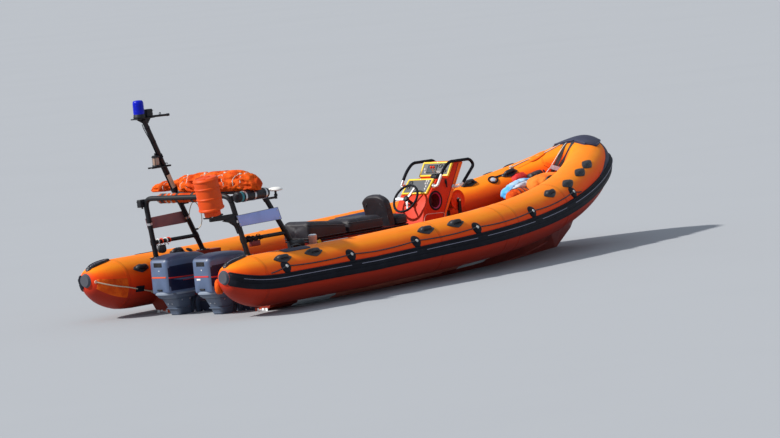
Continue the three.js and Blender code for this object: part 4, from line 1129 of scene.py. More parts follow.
def deckPad(x0, x1, y0, y1, z0, thick):
    rows = max(int((x1 - x0) / 0.03), 3)
    outline = [(x0, z0), (x1, z0), (x1, z0 + thick), (x0, z0 + thick)]
    pad = rounded(sidePrism(outline, y0, y1), thick * 0.4, 2)
    ribs = []
    for i in range(rows):
        x = x0 + (x1 - x0) * (i + 0.5) / rows
        ribs.append(sidePrism([(x - 0.007, z0 + thick - 0.001), (x + 0.007, z0 + thick - 0.001),
                               (x + 0.004, z0 + thick + 0.0022), (x - 0.004, z0 + thick + 0.0022)],
                              y0 + 0.012, y1 - 0.012))
    return merge(pad, *ribs)


def makeDeck():
    bodies = []
    for x0, x1, y0, y1 in deck['pads']:
        narrow = collarY(x1) - 0.345 * obliquity(x1)
        outer = min(y1, narrow)
        if y0 == 0.0:
            bodies.append(deckPad(x0, x1, -outer, outer, deck['z'], deck['padThick']))
        else:
            bodies += [deckPad(x0, x1, a, b, deck['z'], deck['padThick']) for a, b in ((y0, outer), (-outer, -y0))]
    add('deck_pads', merge(*bodies), deckSurface)
    straps, feet = [], []
    for x, y in deck['straps']:
        for side in (-1, 1):
            line = smoothLine([(x - 0.10, side * y, 0.132), (x - 0.07, side * y, 0.165), (x, side * y, 0.19),
                               (x + 0.07, side * y, 0.165), (x + 0.10, side * y, 0.132)], 5)
            straps.append(sweep(line, [(-0.024, -0.002), (-0.024, 0.002), (0.024, 0.002), (0.024, -0.002)],
                                up=(0, 0, 1)))
            for end in (-0.11, 0.11):
                feet.append(rounded(boxBody(x + end - 0.018, x + end + 0.018, side * y - 0.032, side * y + 0.032,
                                            0.120, 0.136), 0.003, 2))
                feet.append(boltBody((x + end, side * y, 0.136), (0, 0, 1), 0.006))
    add('foot_straps', merge(*straps), webbingSurface)
    add('foot_strap_feet', merge(*feet), metalSurface)
    trim = []
    for x0, x1, y0, y1 in deck['hatch']:
        trim.append(rounded(boxBody(x0, x1, y0, y1, 0.119, 0.129), 0.003, 2))
    for y in deck['hingeY']:
        trim += [rounded(boxBody(4.398, 4.425, y - 0.03, y + 0.03, 0.12, 0.136), 0.004, 2),
                 peg((4.411, y - 0.035, 0.135), (0, 1, 0), 0.006, 0.07, 10)]
        trim.append(rounded(boxBody(4.012, 4.042, y - 0.022, y + 0.022, 0.12, 0.138), 0.004, 2))
    add('hatch_trim', merge(*trim), metalSurface)
    walls = []
    for side in (-1, 1):
        walls.append(rounded(boxBody(0.636, 0.655, side * 0.62 - 0.12, side * 0.62 + 0.12, 0.13, 0.55), 0.006, 2))
    add('pod_faces', merge(*walls), hullSurface)


makeDeck()

stern = {'bolts': [(-0.08, 0.085), (-0.08, -0.02), (0.08, 0.085), (0.08, -0.02)], 'eyeY': 0.74}


def makeStern():
    bolts = []
    for y in (-0.32, 0.32):
        for dy, z in stern['bolts']:
            bolts.append(boltBody((-0.1505, y + dy * 1.35, z - 0.08), (-1, 0, 0), 0.009))
    for side in (-1, 1):
        for z in (-0.14, 0.03):
            for y in (0.08, 0.50):
                bolts.append(boltBody((-0.1505, side * y, z), (-1, 0, 0), 0.007))
    add('transom_bolts', merge(*bolts), metalSurface)
    cut = [rounded(boxBody(-0.162, -0.072, a, b, 0.1055, 0.116), 0.004, 2)
           for a, b in ((-0.63, -0.415), (-0.225, 0.225), (0.415, 0.63))]
    add('transom_edge', merge(*cut), greySurface)
    socks, rims = [], []
    for side in (-1, 1):
        mouth = vec(-0.152, side * 0.49, -0.06)
        rims.append(ringBody(mouth, (1, 0, 0), 0.042, 0.008, 24, 8))
        line = smoothLine([mouth, mouth + vec(-0.06, 0, -0.004), mouth + vec(-0.13, 0, -0.03),
                           mouth + vec(-0.19, 0, -0.075)], 5)
        scale = np.linspace(1.0, 0.82, len(line))
        socks.append(sweep(line, [(0.04 * math.cos(a), 0.04 * math.sin(a) * (0.55 + 0.45 * math.cos(a) ** 2))
                                  for a in np.linspace(0, 2 * math.pi, 16, endpoint=False)], scale=scale))
    add('drain_socks', merge(*socks), rubberSurface)
    add('drain_rims', merge(*rims), metalSurface)
    eyes = []
    for side in (-1, 1):
        y = side * stern['eyeY']
        plate = rounded(boxBody(-0.238, -0.229, y - 0.035, y + 0.035, -0.06, 0.02), 0.003, 2)
        line = smoothLine([(-0.235, y, 0.005), (-0.28, y, 0.004), (-0.295, y, -0.02), (-0.28, y, -0.044),
                           (-0.235, y, -0.045)], 4)
        eyes += [plate, sweep(line, 0.007, 10)]
        eyes += [boltBody((-0.238, y + dy, z), (-1, 0, 0), 0.006) for dy in (-0.022, 0.022) for z in (-0.045, 0.008)]
    add('tow_eyes', merge(*eyes), metalSurface)


makeStern()
print('hull trim made')

# Outboard engines, one set of shapes placed either side of the centreline

engine = {'y': 0.320, 'steerX': -0.250, 'pinLow': -0.100, 'pinLength': 0.330,
          'sections': [(-0.664, 0.094, 0.272, 0.588, 0.020), (-0.659, 0.108, 0.263, 0.598, 0.026),
                       (-0.646, 0.126, 0.252, 0.618, 0.040), (-0.610, 0.140, 0.250, 0.631, 0.052),
                       (-0.500, 0.160, 0.250, 0.650, 0.070), (-0.300, 0.176, 0.250, 0.654, 0.080),
                       (-0.110, 0.164, 0.250, 0.636, 0.080), (-0.045, 0.146, 0.253, 0.612, 0.076),
                       (-0.010, 0.130, 0.256, 0.588, 0.070), (0.012, 0.108, 0.264, 0.552, 0.064),
                       (0.024, 0.082, 0.276, 0.508, 0.056)]}


def cowlAt(x):
    xs = [row[0] for row in engine['sections']]
    return [float(hermite(x, xs, [row[i] for row in engine['sections']])) for i in (1, 2, 3, 4)]


def crossRing(x, half, low, high, top, bottom, steps=8, crown=0.0):
    ring = []
    for y, z, radius, start in ((half - bottom, low + bottom, bottom, -90), (half - top, high - top, top, 0),
                                (-half + top, high - top, top, 90), (-half + bottom, low + bottom, bottom, 180)):
        for i in range(steps + 1):
            a = math.radians(start + 90 * i / steps)
            px, pz = y + radius * math.cos(a), z + radius * math.sin(a)
            ring.append(vec(x, px, pz + crown * (1 - (px / half) ** 2) * clip01((pz - low) / (high - low))))
    return ring


def planRing(z, x0, x1, half, radius, steps=6):
    middle, length = (x0 + x1) / 2, (x1 - x0) / 2
    radius = min(radius, length * 0.98, half * 0.98)
    ring = crossRing(0, half, -length, length, radius, radius, steps)
    return [vec(middle + p[2], p[1], z) for p in ring]


def smoothRows(table, steps=4):
    keys = [row[0] for row in table]
    rows = []
    for a, b in zip(keys, keys[1:]):
        for k in range(steps):
            z = a + (b - a) * k / steps
            rows.append((z, *[float(hermite(z, keys, [row[i] for row in table])) for i in range(1, len(table[0]))]))
    rows.append(tuple(table[-1]))
    return rows


def cowlHalf(x, z, grow=0.0):
    half, _, high, top = cowlAt(x)
    over = z - (high - top)
    if over > 0:
        half = half - top + math.sqrt(max(top * top - over * over, 0))
    return half + grow


# Band on one flank of the cowl: lower and upper edge at each x
def flankBand(xs, lows, highs, thick, side):
    outer, inner = [], []
    for x, z0, z1 in zip(xs, lows, highs):
        zs = np.linspace(z0, z1, 5)
        edge = [0.3, 1, 1, 1, 0.3]
        outer.append([vec(x, side * cowlHalf(x, z, thick * e), z) for z, e in zip(zs, edge)])
        inner.append([vec(x, side * cowlHalf(x, z, -0.003), z) for z in zs])
    return shell(outer, inner)


def atEngine(body, side):
    points, faces = body
    return [vec(p[0], p[1] + side * engine['y'], p[2]) for p in points], faces


def engineBodies():
    made = {}
    xs = [-0.664, -0.661, -0.657, -0.651, -0.643, -0.63] + list(np.linspace(-0.61, -0.05, 24)) + [
        -0.03, -0.012, 0.0, 0.010, 0.018, 0.024]
    rings = []
    for x in xs:
        half, low, high, top = cowlAt(x)
        rings.append(crossRing(x, half, low, high, top, 0.022, 8))
    # A shallow waist under the shoulder line
    for ring in rings:
        for p in ring:
            p[1] -= math.copysign(0.006, p[1]) * math.exp(-((p[2] - 0.40) / 0.05) ** 2) if abs(p[1]) > 0.05 else 0
    made['cowl'] = loft(rings)
    lip = []
    for z, grow in ((0.2335, 0.001), (0.236, 0.0055), (0.252, 0.0075), (0.268, 0.0055), (0.2725, 0.001)):
        ring = []
        for a in np.linspace(0, 2 * math.pi, 56, endpoint=False):
            c, s = math.cos(a), math.sin(a)
            ring.append((c, s, grow))
        lip.append([vec(-0.32 + 0.336 * math.copysign(abs(c) ** 0.5, c) + math.copysign(g, c) * abs(c),
                        (0.150 + g) * math.copysign(abs(s) ** 0.62, s), z) for c, s, g in ring])
    made['lip'] = loft(lip)
    made['grille'] = rounded(boxBody(-0.6655, -0.640, -0.064, 0.064, 0.534, 0.588), 0.006, 2)
    slats = [rounded(boxBody(-0.6685, -0.655, -0.056, 0.056, z, z + 0.005), 0.0015, 1)
             for z in (0.542, 0.553, 0.564, 0.575)]
    made['slats'] = merge(*slats)
    made['badge'] = rounded(boxBody(-0.6662, -0.645, -0.104, 0.104, 0.419, 0.435), 0.002, 2)
    made['spots'] = latheAt([(0, 0), (0.006, 0), (0.006, 0.003), (0, 0.004)], (-0.6635, -0.012, 0.498), (-1, 0, 0), 14)
    made['label'] = rounded(boxBody(-0.6655, -0.655, 0.018, 0.074, 0.388, 0.406), 0.0015, 2)
    for side, name in ((1, 'in'), (-1, 'out')):
        panel = np.linspace(-0.646, -0.004, 34)
        tops = [high - 0.42 * top for _, _, high, top in (cowlAt(x) for x in panel)]
        made['flank' + name] = flankBand(panel, [0.279] * len(panel), tops, 0.0018, side)
        band = np.linspace(-0.645, -0.16, 26)
        level = [0.429 - 0.018 * (x + 0.645) / 0.485 for x in band]
        made['stripe' + name] = flankBand(band, [z - 0.017 + 0.010 * k / 25 for k, z in enumerate(level)], level,
                                          0.0034, side)
        made['pin' + name] = flankBand(band[9:], [0.374] * 17, [0.380] * 17, 0.0034, side)
        wedge = np.linspace(-0.60, -0.20, 16)
        low = [0.406 - 0.030 * math.sin(math.pi * (x + 0.60) / 0.40) ** 0.8 for x in wedge]
        made['wedge' + name] = flankBand(wedge, low, [0.4065] * 16, 0.0026, side)
    latch = [rounded(boxBody(0.006, 0.032, -0.03, 0.03, 0.30, 0.335), 0.004, 2),
             rounded(boxBody(-0.676, -0.655, -0.035, 0.035, 0.281, 0.300), 0.004, 2)]
    made['latch'] = merge(*latch)

    # Leg: upper pan with a rounded apron, then the slim middle, its plate, gearcase and skeg
    frontLow, frontHigh = -0.290, -0.236
    table = [(-0.392, -0.442, 0.034, 0.014), (-0.300, -0.450, 0.042, 0.020), (-0.060, -0.460, 0.056, 0.028),
             (0.060, -0.500, 0.080, 0.038), (0.125, -0.532, 0.093, 0.045), (0.170, -0.560, 0.104, 0.052),
             (0.182, -0.569, 0.107, 0.054)]
    rows = smoothRows(table, 5)
    made['mid'] = loft([planRing(z, x0, frontLow, half, corner, 7) for z, x0, half, corner in rows])
    top = smoothRows([(0.1855, -0.580, 0.118, 0.056), (0.205, -0.604, 0.134, 0.060), (0.2497, -0.630, 0.143, 0.064)], 4)
    made['pan'] = loft([planRing(z, x0, frontHigh, half, corner, 7) for z, x0, half, corner in top])
    groove = []
    for z in (0.02, 0.075):
        groove.append(loft([planRing(z + d, -0.487 - (z - 0.02) * 0.55 - grow, -0.300, 0.072 + (z - 0.02) * 0.4 + grow,
                                     0.034)
                            for d, grow in ((-0.006, -0.004), (-0.004, 0.002), (0.004, 0.002), (0.006, -0.004))]))
    made['bands'] = merge(*groove)
    plate = []
    for z, grow in ((-0.405, -0.002), (-0.4035, 0), (-0.3955, 0), (-0.394, -0.002)):
        ring = []
        for a in np.linspace(0, 2 * math.pi, 48, endpoint=False):
            c, s = math.cos(a), math.sin(a)
            ring.append(vec(-0.405 + (0.155 + grow) * math.copysign(abs(c) ** 0.55, c),
                            (0.088 + grow) * math.copysign(abs(s) ** 0.7, s) * (1 - 0.25 * clip01(c)), z))
        plate.append(ring)
    fins = [rounded(boxBody(-0.54, -0.30, y - 0.003, y + 0.003, -0.412, -0.404), 0.001, 1) for y in (-0.05, 0.05)]
    made['plate'] = merge(loft(plate), *fins)
    strut = smoothRows([(-0.565, -0.425, -0.245, 0.020), (-0.50, -0.430, -0.262, 0.025),
                        (-0.388, -0.442, -0.287, 0.034)], 4)
    foil = []
    for z, x0, x1, half in strut:
        ring = []
        for a in np.linspace(0, 2 * math.pi, 32, endpoint=False):
            share = (1 - math.cos(a)) / 2
            thickness = half * (math.sin(math.pi * share ** 0.75)) ** 0.85 if 0 < share < 1 else 0.0
            ring.append(vec(x1 + (x0 - x1) * share, math.copysign(max(thickness, 0.002), math.sin(a + 1e-9)), z))
        foil.append(ring)
    made['strut'] = loft(foil)
    shape = [(0, 0), (0.012, 0.003), (0.026, 0.014), (0.040, 0.034), (0.050, 0.062), (0.055, 0.10), (0.056, 0.15),
             (0.056, 0.22), (0.053, 0.262), (0.047, 0.290), (0.044, 0.2975), (0, 0.2975)]
    made['gearcase'] = latheAt(shape, (-0.1705, 0, -0.6), (-1, 0, 0), 32)
    skeg = []
    for z, x0, x1, half in smoothRows([(-0.78, -0.395, -0.335, 0.0035), (-0.72, -0.410, -0.300, 0.006),
                                       (-0.62, -0.420, -0.245, 0.0095)], 4):
        skeg.append([vec(x1 + (x0 - x1) * s, y, z)
                     for s, y in ((0, 0), (0.18, half * 0.8), (0.5, half), (1, half * 0.3),
                                                               (1, -half * 0.3), (0.5, -half), (0.18, -half * 0.8))])
    made['skeg'] = loft(skeg)
    fittings = []
    for z in (0.128, -0.03, -0.20):
        x0 = float(np.interp(z, [row[0] for row in table], [row[1] for row in table]))
        for y in (-0.03, 0.03):
            fittings.append(boltBody((x0 + 0.001, y, z), (-1, 0, 0), 0.006))
    for side in (-1, 1):
        for x, z in ((-0.33, 0.165), (-0.45, 0.165)):
            fittings.append(boltBody((x, side * 0.101, z), (0, side, 0), 0.007))
        fittings.append(latheAt([(0, -0.002), (0.016, -0.002), (0.014, 0.006), (0, 0.008)],
                                (-0.385, side * 0.0245, -0.46),
                                (0, side, 0), 18))
    made['fittings'] = merge(*fittings)
    intakes = []
    for side in (-1, 1):
        for k in range(4):
            intakes.append(rounded(boxBody(-0.300, -0.262, side * 0.0505 - 0.006, side * 0.0505 + 0.006,
                                           -0.585 - 0.011 * k, -0.580 - 0.011 * k), 0.001, 1))
    made['intakes'] = merge(*intakes)
    made['pin'] = merge(peg((engine['steerX'], 0, engine['pinLow']), (0, 0, 1), 0.017, engine['pinLength'], 20),
                        rounded(boxBody(-0.318, -0.226, -0.030, 0.030, -0.117, -0.0765), 0.006, 2))
    return made


def makeEngines():
    parts = engineBodies()
    plan = [('cowl', cowlSurface, ['engine_cowl']), ('lip', engineGreySurface, []), ('grille', darkPlasticSurface, []),
            ('slats', darkPlasticSurface, []), ('spots', whitePlasticSurface, []), ('flankin', navySurface, []),
            ('flankout', navySurface, []), ('stripein', stripeRedSurface, []), ('stripeout', stripeRedSurface, []),
            ('pinin', stripeRedSurface, []), ('pinout', stripeRedSurface, []), ('wedgein', cowlSurface, []),
            ('wedgeout', cowlSurface, []), ('latch', darkPlasticSurface, []), ('mid', legSurface, ['engine_leg']),
            ('pan', legSurface, []), ('bands', legSurface, []), ('plate', legSurface, []), ('strut', legSurface, []),
            ('gearcase', legSurface, []), ('skeg', legSurface, []), ('fittings', metalSurface, []),
            ('intakes', darkPlasticSurface, []), ('pin', metalSurface, [])]
    add('engine_label', atEngine(parts['label'], -1), whitePlasticSurface, 'engine_starboard')
    for side, name in ((1, 'port'), (-1, 'starboard')):
        add(f'engine_badge_{name}', atEngine(parts['badge'], side), stripeOrangeSurface if side > 0
            else stripeRedSurface,
            f'engine_{name}')
        for key, surface, nodes in plan:
            add(f'engine_{key}_{name}', atEngine(parts[key], side), surface, f'engine_{name}',
                [f'{node}_{name}' for node in nodes], 45)


makeEngines()

bracket = {'plateY': (0.056, 0.070), 'tiltX': -0.140, 'tiltZ': 0.150, 'steerX': -0.250,
           'outline': [(-0.085, 0.1053), (-0.085, 0.155), (-0.094, 0.168), (-0.112, 0.178), (-0.168, 0.178),
                       (-0.190, 0.163), (-0.204, 0.140), (-0.206, 0.11), (-0.190, -0.060), (-0.1506, -0.060),
                       (-0.1506, 0.1053)]}


# Clamp plates with their tilt tube, and the swivel between them, in the frame's places
def makeBrackets():
    x, z = bracket['tiltX'], bracket['tiltZ']
    for side, name in ((1, 'port'), (-1, 'starboard')):
        plates = []
        for s in (-1, 1):
            y0, y1 = sorted((s * bracket['plateY'][0], s * bracket['plateY'][1]))
            plates.append(rounded(sidePrism(bracket['outline'], y0, y1), 0.003, 2, 40))
            plates.append(latheAt([(0, 0), (0.026, 0), (0.026, 0.006), (0.018, 0.010), (0.018, 0.019), (0, 0.019)],
                                  (x, s * bracket['plateY'][1], z), (0, s, 0), 20))
            for boltZ in (-0.035, 0.01, 0.055):
                plates.append(boltBody((-0.176 - (boltZ - 0.01) * 0.02, s * 0.0705, boltZ), (0, s, 0), 0.007))
        plates.append(peg((x, -bracket['plateY'][0], z), (0, 1, 0), 0.016, 0.112, 20))
        add(f'clamp_{name}', atEngine(merge(*plates), side), legSurface,
            replaces=[f'engine_clamp_{name}'])
        swivel = [latheAt([(0.0167, 0), (0.030, 0), (0.030, 0.1), (0.0167, 0.1)], (x, -0.050, z), (0, 1, 0), 24),
                  latheAt([(0.0178, -0.070), (0.034, -0.070), (0.034, -0.055), (0.030, -0.050), (0.030, 0.160),
                           (0.034, 0.164), (0.034, 0.178), (0.0178, 0.178)], (bracket['steerX'], 0, 0), (0, 0, 1), 24),
                  rounded(sidePrism([(-0.165, 0.172), (-0.222, 0.172), (-0.222, -0.060), (-0.212, -0.060),
                                     (-0.198, 0.06),
                                     (-0.165, 0.130)], -0.022, 0.022), 0.006, 3)]
        for s in (-1, 1):
            swivel.append(rounded(sidePrism([(-0.215, 0.165), (-0.172, 0.165), (-0.172, 0.148), (-0.215, 0.10)],
                                            s * 0.030 - 0.004, s * 0.030 + 0.004), 0.0015, 1))
        add(f'swivel_body_{name}', atEngine(merge(*swivel), side), legSurface, f'swivel_{name}',
            [f'engine_swivel_{name}'])


makeBrackets()

screw = {'root': 0.040, 'tip': 0.160,
         'hub': [(0.036, 0.0), (0.043, 0.004), (0.045, 0.03), (0.043, 0.06), (0.036, 0.092),
                                             (0.028, 0.099), (0.014, 0.099), (0.012, 0.094), (0, 0.094)], 'blades': 3}


def bladeBody(turn):
    rings = []
    for k in range(15):
        share = k / 14
        r = screw['root'] + (screw['tip'] - screw['root']) * share
        half = 0.060 * math.sin(math.pi * (0.20 + 0.66 * share)) ** 0.9 * (1 - 0.55 * share ** 6)
        pitch = math.radians(38 - 22 * share)
        thick = 0.0055 * (1 - 0.75 * share)
        middle = 0.048 + 0.006 * share
        ring = []
        for i in range(16):
            a = 2 * math.pi * i / 16
            c, t = half * math.cos(a), thick * math.sin(a) * (1 + 0.3 * math.cos(a))
            sweepBack = turn + 0.5 * share ** 2 + (c * math.cos(pitch)) / r
            aft = middle - c * math.sin(pitch) + t * math.cos(pitch)
            ring.append(vec(-0.4686 - aft, r * math.cos(sweepBack), -0.6 + r * math.sin(sweepBack)))
        rings.append(ring)
    return loft(rings)


def makePropellers():
    profile = [(0, 0)] + screw['hub']
    for side, name in ((1, 'port'), (-1, 'starboard')):
        hub = latheAt(profile, (-0.4686, 0, -0.6), (-1, 0, 0), 32)
        blades = [bladeBody(2 * math.pi * k / screw['blades'] + 0.3) for k in range(screw['blades'])]
        body = merge(hub, *blades)
        if side < 0:
            body = mirrorY(body)
        add(f'propeller_blades_{name}', atEngine(body, side), metalSurface, f'propeller_{name}',
            [f'propeller_{name}'])


makePropellers()
print('engines made')

# Roll bar: hoops, boards, mast and what is lashed to them

bar = {'footY': 0.690, 'topY': 0.640, 'radius': 0.028, 'top': 1.260, 'low': 0.600, 'aft': (-0.305, -0.440, 0.110),
       'forward': (0.415, 0.040, 0.060), 'sideBar': 0.021, 'lowZ': 0.775, 'highZ': 1.225}


def legPoint(leg, z, side):
    footX, topX, _ = bar[leg]
    t = (z - bar['low']) / (bar['top'] - bar['low'])
    return vec(footX + (topX - footX) * t, side * (bar['footY'] + (bar['topY'] - bar['footY']) * t), z)


def hoopLine(leg):
    _, topX, bend = bar[leg]
    return bentLine([legPoint(leg, bar['low'] + 0.0005, 1), vec(topX, bar['topY'], bar['top']),
                     vec(topX, -bar['topY'], bar['top']), legPoint(leg, bar['low'] + 0.0005, -1)], bend, 10)


def legFoot(leg, side):
    spot = legPoint(leg, bar['low'], side)
    plate = rounded(boxBody(spot[0] - 0.06, spot[0] + 0.06, spot[1] - 0.045, spot[1] + 0.045, 0.6005, 0.609), 0.003, 2)
    socket = latheAt([(0.028, 0), (0.037, 0), (0.035, 0.010), (0.029, 0.014)], spot + vec(0, 0, 0.008), (0, 0, 1), 24)
    bolts = [boltBody((spot[0] + dx, spot[1] + dy, 0.609), (0, 0, 1), 0.007) for dx in (-0.045, 0.045)
             for dy in (-0.03, 0.03)]
    return merge(plate, socket), merge(*bolts)


# Clamp band round a tube at a point
def bandOn(spot, way, radius, width=0.03, thick=0.004):
    return latheAt([(radius - 0.001, -width / 2), (radius + thick, -width / 2), (radius + thick, width / 2),
                    (radius - 0.001, width / 2)], spot, way, 24)


def makeHoops():
    plates, bolts = [], []
    for leg in ('aft', 'forward'):
        for side in (-1, 1):
            plate, feet = legFoot(leg, side)
            plates.append(plate)
            bolts.append(feet)
    aft = sweep(hoopLine('aft'), bar['radius'], 24)
    arm = rounded(sidePrism([(-0.788, 1.020), (-0.788, 1.068), (-0.420, 1.068), (-0.392, 0.890), (-0.440, 0.944),
                             (-0.560, 1.014)], -0.672, -0.642), 0.004, 2)
    gusset = rounded(sidePrism([(-0.60, 1.004), (-0.415, 1.058), (-0.385, 0.845), (-0.42, 0.93), (-0.50, 0.98)],
                               -0.676, -0.640), 0.003, 2)
    add('aft_hoop_tube', merge(aft, arm, gusset), frameSurface, replaces=['aft_hoop'], sharp=50)
    side = []
    for z, s in ((bar['lowZ'], 1), (bar['lowZ'], -1), (bar['highZ'], -1)):
        a, b = legPoint('aft', z, s), legPoint('forward', z, s)
        way = unit(b - a)
        side.append(rodBody(a + way * 0.026, b - way * 0.02, bar['sideBar'], sides=20))
        for spot, leg in ((a, 'aft'), (b, 'forward')):
            legWay = unit(legPoint(leg, z + 0.1, s) - legPoint(leg, z, s))
            side.append(bandOn(spot, legWay, bar['radius'], 0.052, 0.005))
    forward = sweep(hoopLine('forward'), bar['radius'], 24)
    add('forward_hoop_tube', merge(forward, *side), frameSurface, replaces=['forward_hoop'], sharp=50)
    add('hoop_feet', merge(*plates), frameSurface)
    add('hoop_bolts', merge(*bolts), metalSurface)


makeHoops()

board = {'outline': [(-0.382, 0.0), (-0.418, 0.122), (0.223, 0.140), (0.258, 0.006)], 'low': 0.922, 'half': 0.003,
         'sides': ((1, 'port', boardPortSurface), (-1, 'starboard', boardSurface))}


def makeBoards():
    lean = math.atan((bar['footY'] - bar['topY']) / (bar['top'] - bar['low']))
    for side, name, faceSurface in board['sides']:
        middle = legPoint('aft', board['low'], side)
        turn = Matrix.Translation(Vector((0, middle[1] + side * (bar['radius'] + 0.002), board['low']))) @ \
            Matrix.Rotation(side * lean, 4, 'X')
        body = rounded(sidePrism(board['outline'], -board['half'], board['half']), 0.0022, 2)
        add(f'board_plate_{name}', moved(body, turn), faceSurface,
            replaces=[f'number_board_{name}'])
        rimLine = [vec(x, 0, z) for x, z in board['outline']]
        inner = [vec(x * 0.982 - 0.0014, 0, 0.067 + (z - 0.067) * 0.93) for x, z in board['outline']]
        rim = shell([[p + vec(0, side * 0.0028, 0) for p in rimLine], [p + vec(0, side * 0.0042, 0) for p in inner]],
                    [[p for p in rimLine], [p for p in inner]], True)
        add(f'board_rim_{name}', moved(rim, turn), boardRimSurface, sharp=60)
        bolts = []
        for x, z in ((-0.385, 0.03), (-0.40, 0.10), (0.225, 0.03), (0.205, 0.11)):
            bolts.append(moved(boltBody((x, side * 0.0035, z), (0, side, 0), 0.006), turn))
        straps = []
        for x, z, leg in ((-0.39, 0.06, 'aft'), (0.225, 0.07, 'forward')):
            spot = legPoint(leg, board['low'] + z, side)
            way = unit(legPoint(leg, 1.1, side) - legPoint(leg, 1.0, side))
            straps.append(bandOn(spot, way, bar['radius'], 0.026, 0.0025))
        add(f'board_bolts_{name}', merge(*bolts), metalSurface)
        add(f'board_straps_{name}', merge(*straps), metalSurface)


makeBoards()

mast = {'foot': (0.040, 0.640, 1.260), 'top': (-0.427, 0.551, 2.116), 'radii': (0.030, 0.027), 'deck': 2.132,
        'lamp': (-0.480, 0.556), 'midLamp': (-0.252, 0.602, 1.594)}
mastWay = unit(vec(*mast['top']) - vec(*mast['foot']))
mastAft = unit(np.cross(vec(0, 1, 0), mastWay)) * -1


def mastAt(z, aft=0.0, out=0.0):
    share = (z - mast['foot'][2]) / (mast['top'][2] - mast['foot'][2])
    spot = vec(*mast['foot']) + (vec(*mast['top']) - vec(*mast['foot'])) * share
    return spot + mastAft * aft + vec(0, out, 0)


def makeMast():
    start = vec(*mast['foot']) + mastWay * 0.030
    tube = sweep([start, mastAt(1.70), vec(*mast['top'])], mast['radii'][0], 24, scale=[1, 0.95, 0.9])
    sleeve = latheAt([(0.030, 0.028), (0.038, 0.032), (0.037, 0.075), (0.033, 0.088), (0.0302, 0.09)], mast['foot'],
                     mastWay, 24)
    deckPlate = rounded(boxBody(-0.560, -0.300, 0.500, 0.612, mast['deck'] - 0.012, mast['deck']), 0.003, 2)
    underWeb = rounded(sidePrism([(-0.53, mast['deck'] - 0.012), (-0.31, mast['deck'] - 0.012), (-0.385, 2.03),
                                  (-0.415, 2.06)], 0.553, 0.560), 0.002, 1)
    cross = rodBody(vec(-0.300, 0.555, 2.133), vec(-0.040, 0.555, 2.126), 0.0125, sides=16)
    crossEnd = latheAt([(0, 0), (0.0150, 0), (0.0150, 0.030), (0.011, 0.034), (0, 0.034)], (-0.064, 0.555, 2.127),
                       (1, 0, -0.027), 16)
    crossEye = ringBody((-0.165, 0.555, 2.150), (0, 1, 0), 0.012, 0.004, 18, 6)
    junction = rounded(boxBody(-0.393, -0.302, 0.520, 0.590, mast['deck'], 2.218), 0.010, 3)
    lid = rounded(boxBody(-0.396, -0.299, 0.517, 0.593, 2.196, 2.203), 0.003, 2)
    gland = latheAt([(0, 0), (0.013, 0), (0.013, 0.012), (0.009, 0.016), (0.009, 0.022), (0, 0.022)],
                    (-0.302, 0.555, 2.165), (1, 0, 0), 14)
    stub = latheAt([(0, 0), (0.016, 0), (0.016, 0.018), (0.008, 0.024), (0.008, 0.055), (0, 0.055)],
                   (-0.345, 0.600, 2.150), (0, 1, 0), 14)
    add('mast_tube', merge(tube, sleeve, deckPlate, underWeb, cross, crossEnd, crossEye, junction, lid, gland, stub),
        frameSurface, replaces=['mast'], sharp=45)
    collars = [bandOn(mastAt(z), mastWay, 0.0292, 0.034, 0.006) for z in (1.69,)]
    collars += [bandOn(mastAt(z), mastWay, 0.0285, 0.010, 0.0015) for z in (1.50, 1.86, 2.02)]
    add('mast_bands', merge(*collars), rubberSurface)
    label = []
    for z in np.linspace(1.30, 1.485, 12):
        label.append([mastAt(z) + unit(mastAft * math.cos(a) + vec(0, -1, 0) * math.sin(a)) * 0.0312
                      for a in np.radians([20, 45, 70, 95, 120])])
    inner = [[p + (mastAt(z) - p) * 0.08 for p in row] for z, row in zip(np.linspace(1.30, 1.485, 12), label)]
    add('mast_strip', shell(label, inner), beigeSurface, sharp=60)


makeMast()

beacon = {'top': 2.327}


def makeBeacon():
    x, y = mast['lamp']
    z = mast['deck'] + 0.0005
    foot = latheAt([(0, 0), (0.062, 0), (0.064, 0.004), (0.064, 0.020), (0.060, 0.026), (0.0605, 0.040), (0.057, 0.045),
                    (0, 0.045)], (x, y, z), (0, 0, 1), 40)
    add('beacon_foot', foot, darkPlasticSurface, replaces=['blue_lamp'])
    rise = beacon['top'] - z
    profile = [(0.0, 0.044), (0.0585, 0.044), (0.0595, 0.050), (0.0590, 0.10), (0.0580, rise - 0.030),
               (0.055, rise - 0.014),
               (0.045, rise - 0.004), (0.02, rise - 0.0006), (0, rise)]
    add('beacon_lens', latheAt(profile, (x, y, z), (0, 0, 1), 48), blueLensSurface)
    fins = [latheAt([(0.0580, h), (0.0612, h + 0.0015), (0.0612, h + 0.0045), (0.0580, h + 0.006)], (x, y, z),
                    (0, 0, 1), 40)
            for h in np.linspace(0.056, rise - 0.045, 7)]
    add('beacon_ribs', merge(*fins), blueLensSurface)


makeBeacon()


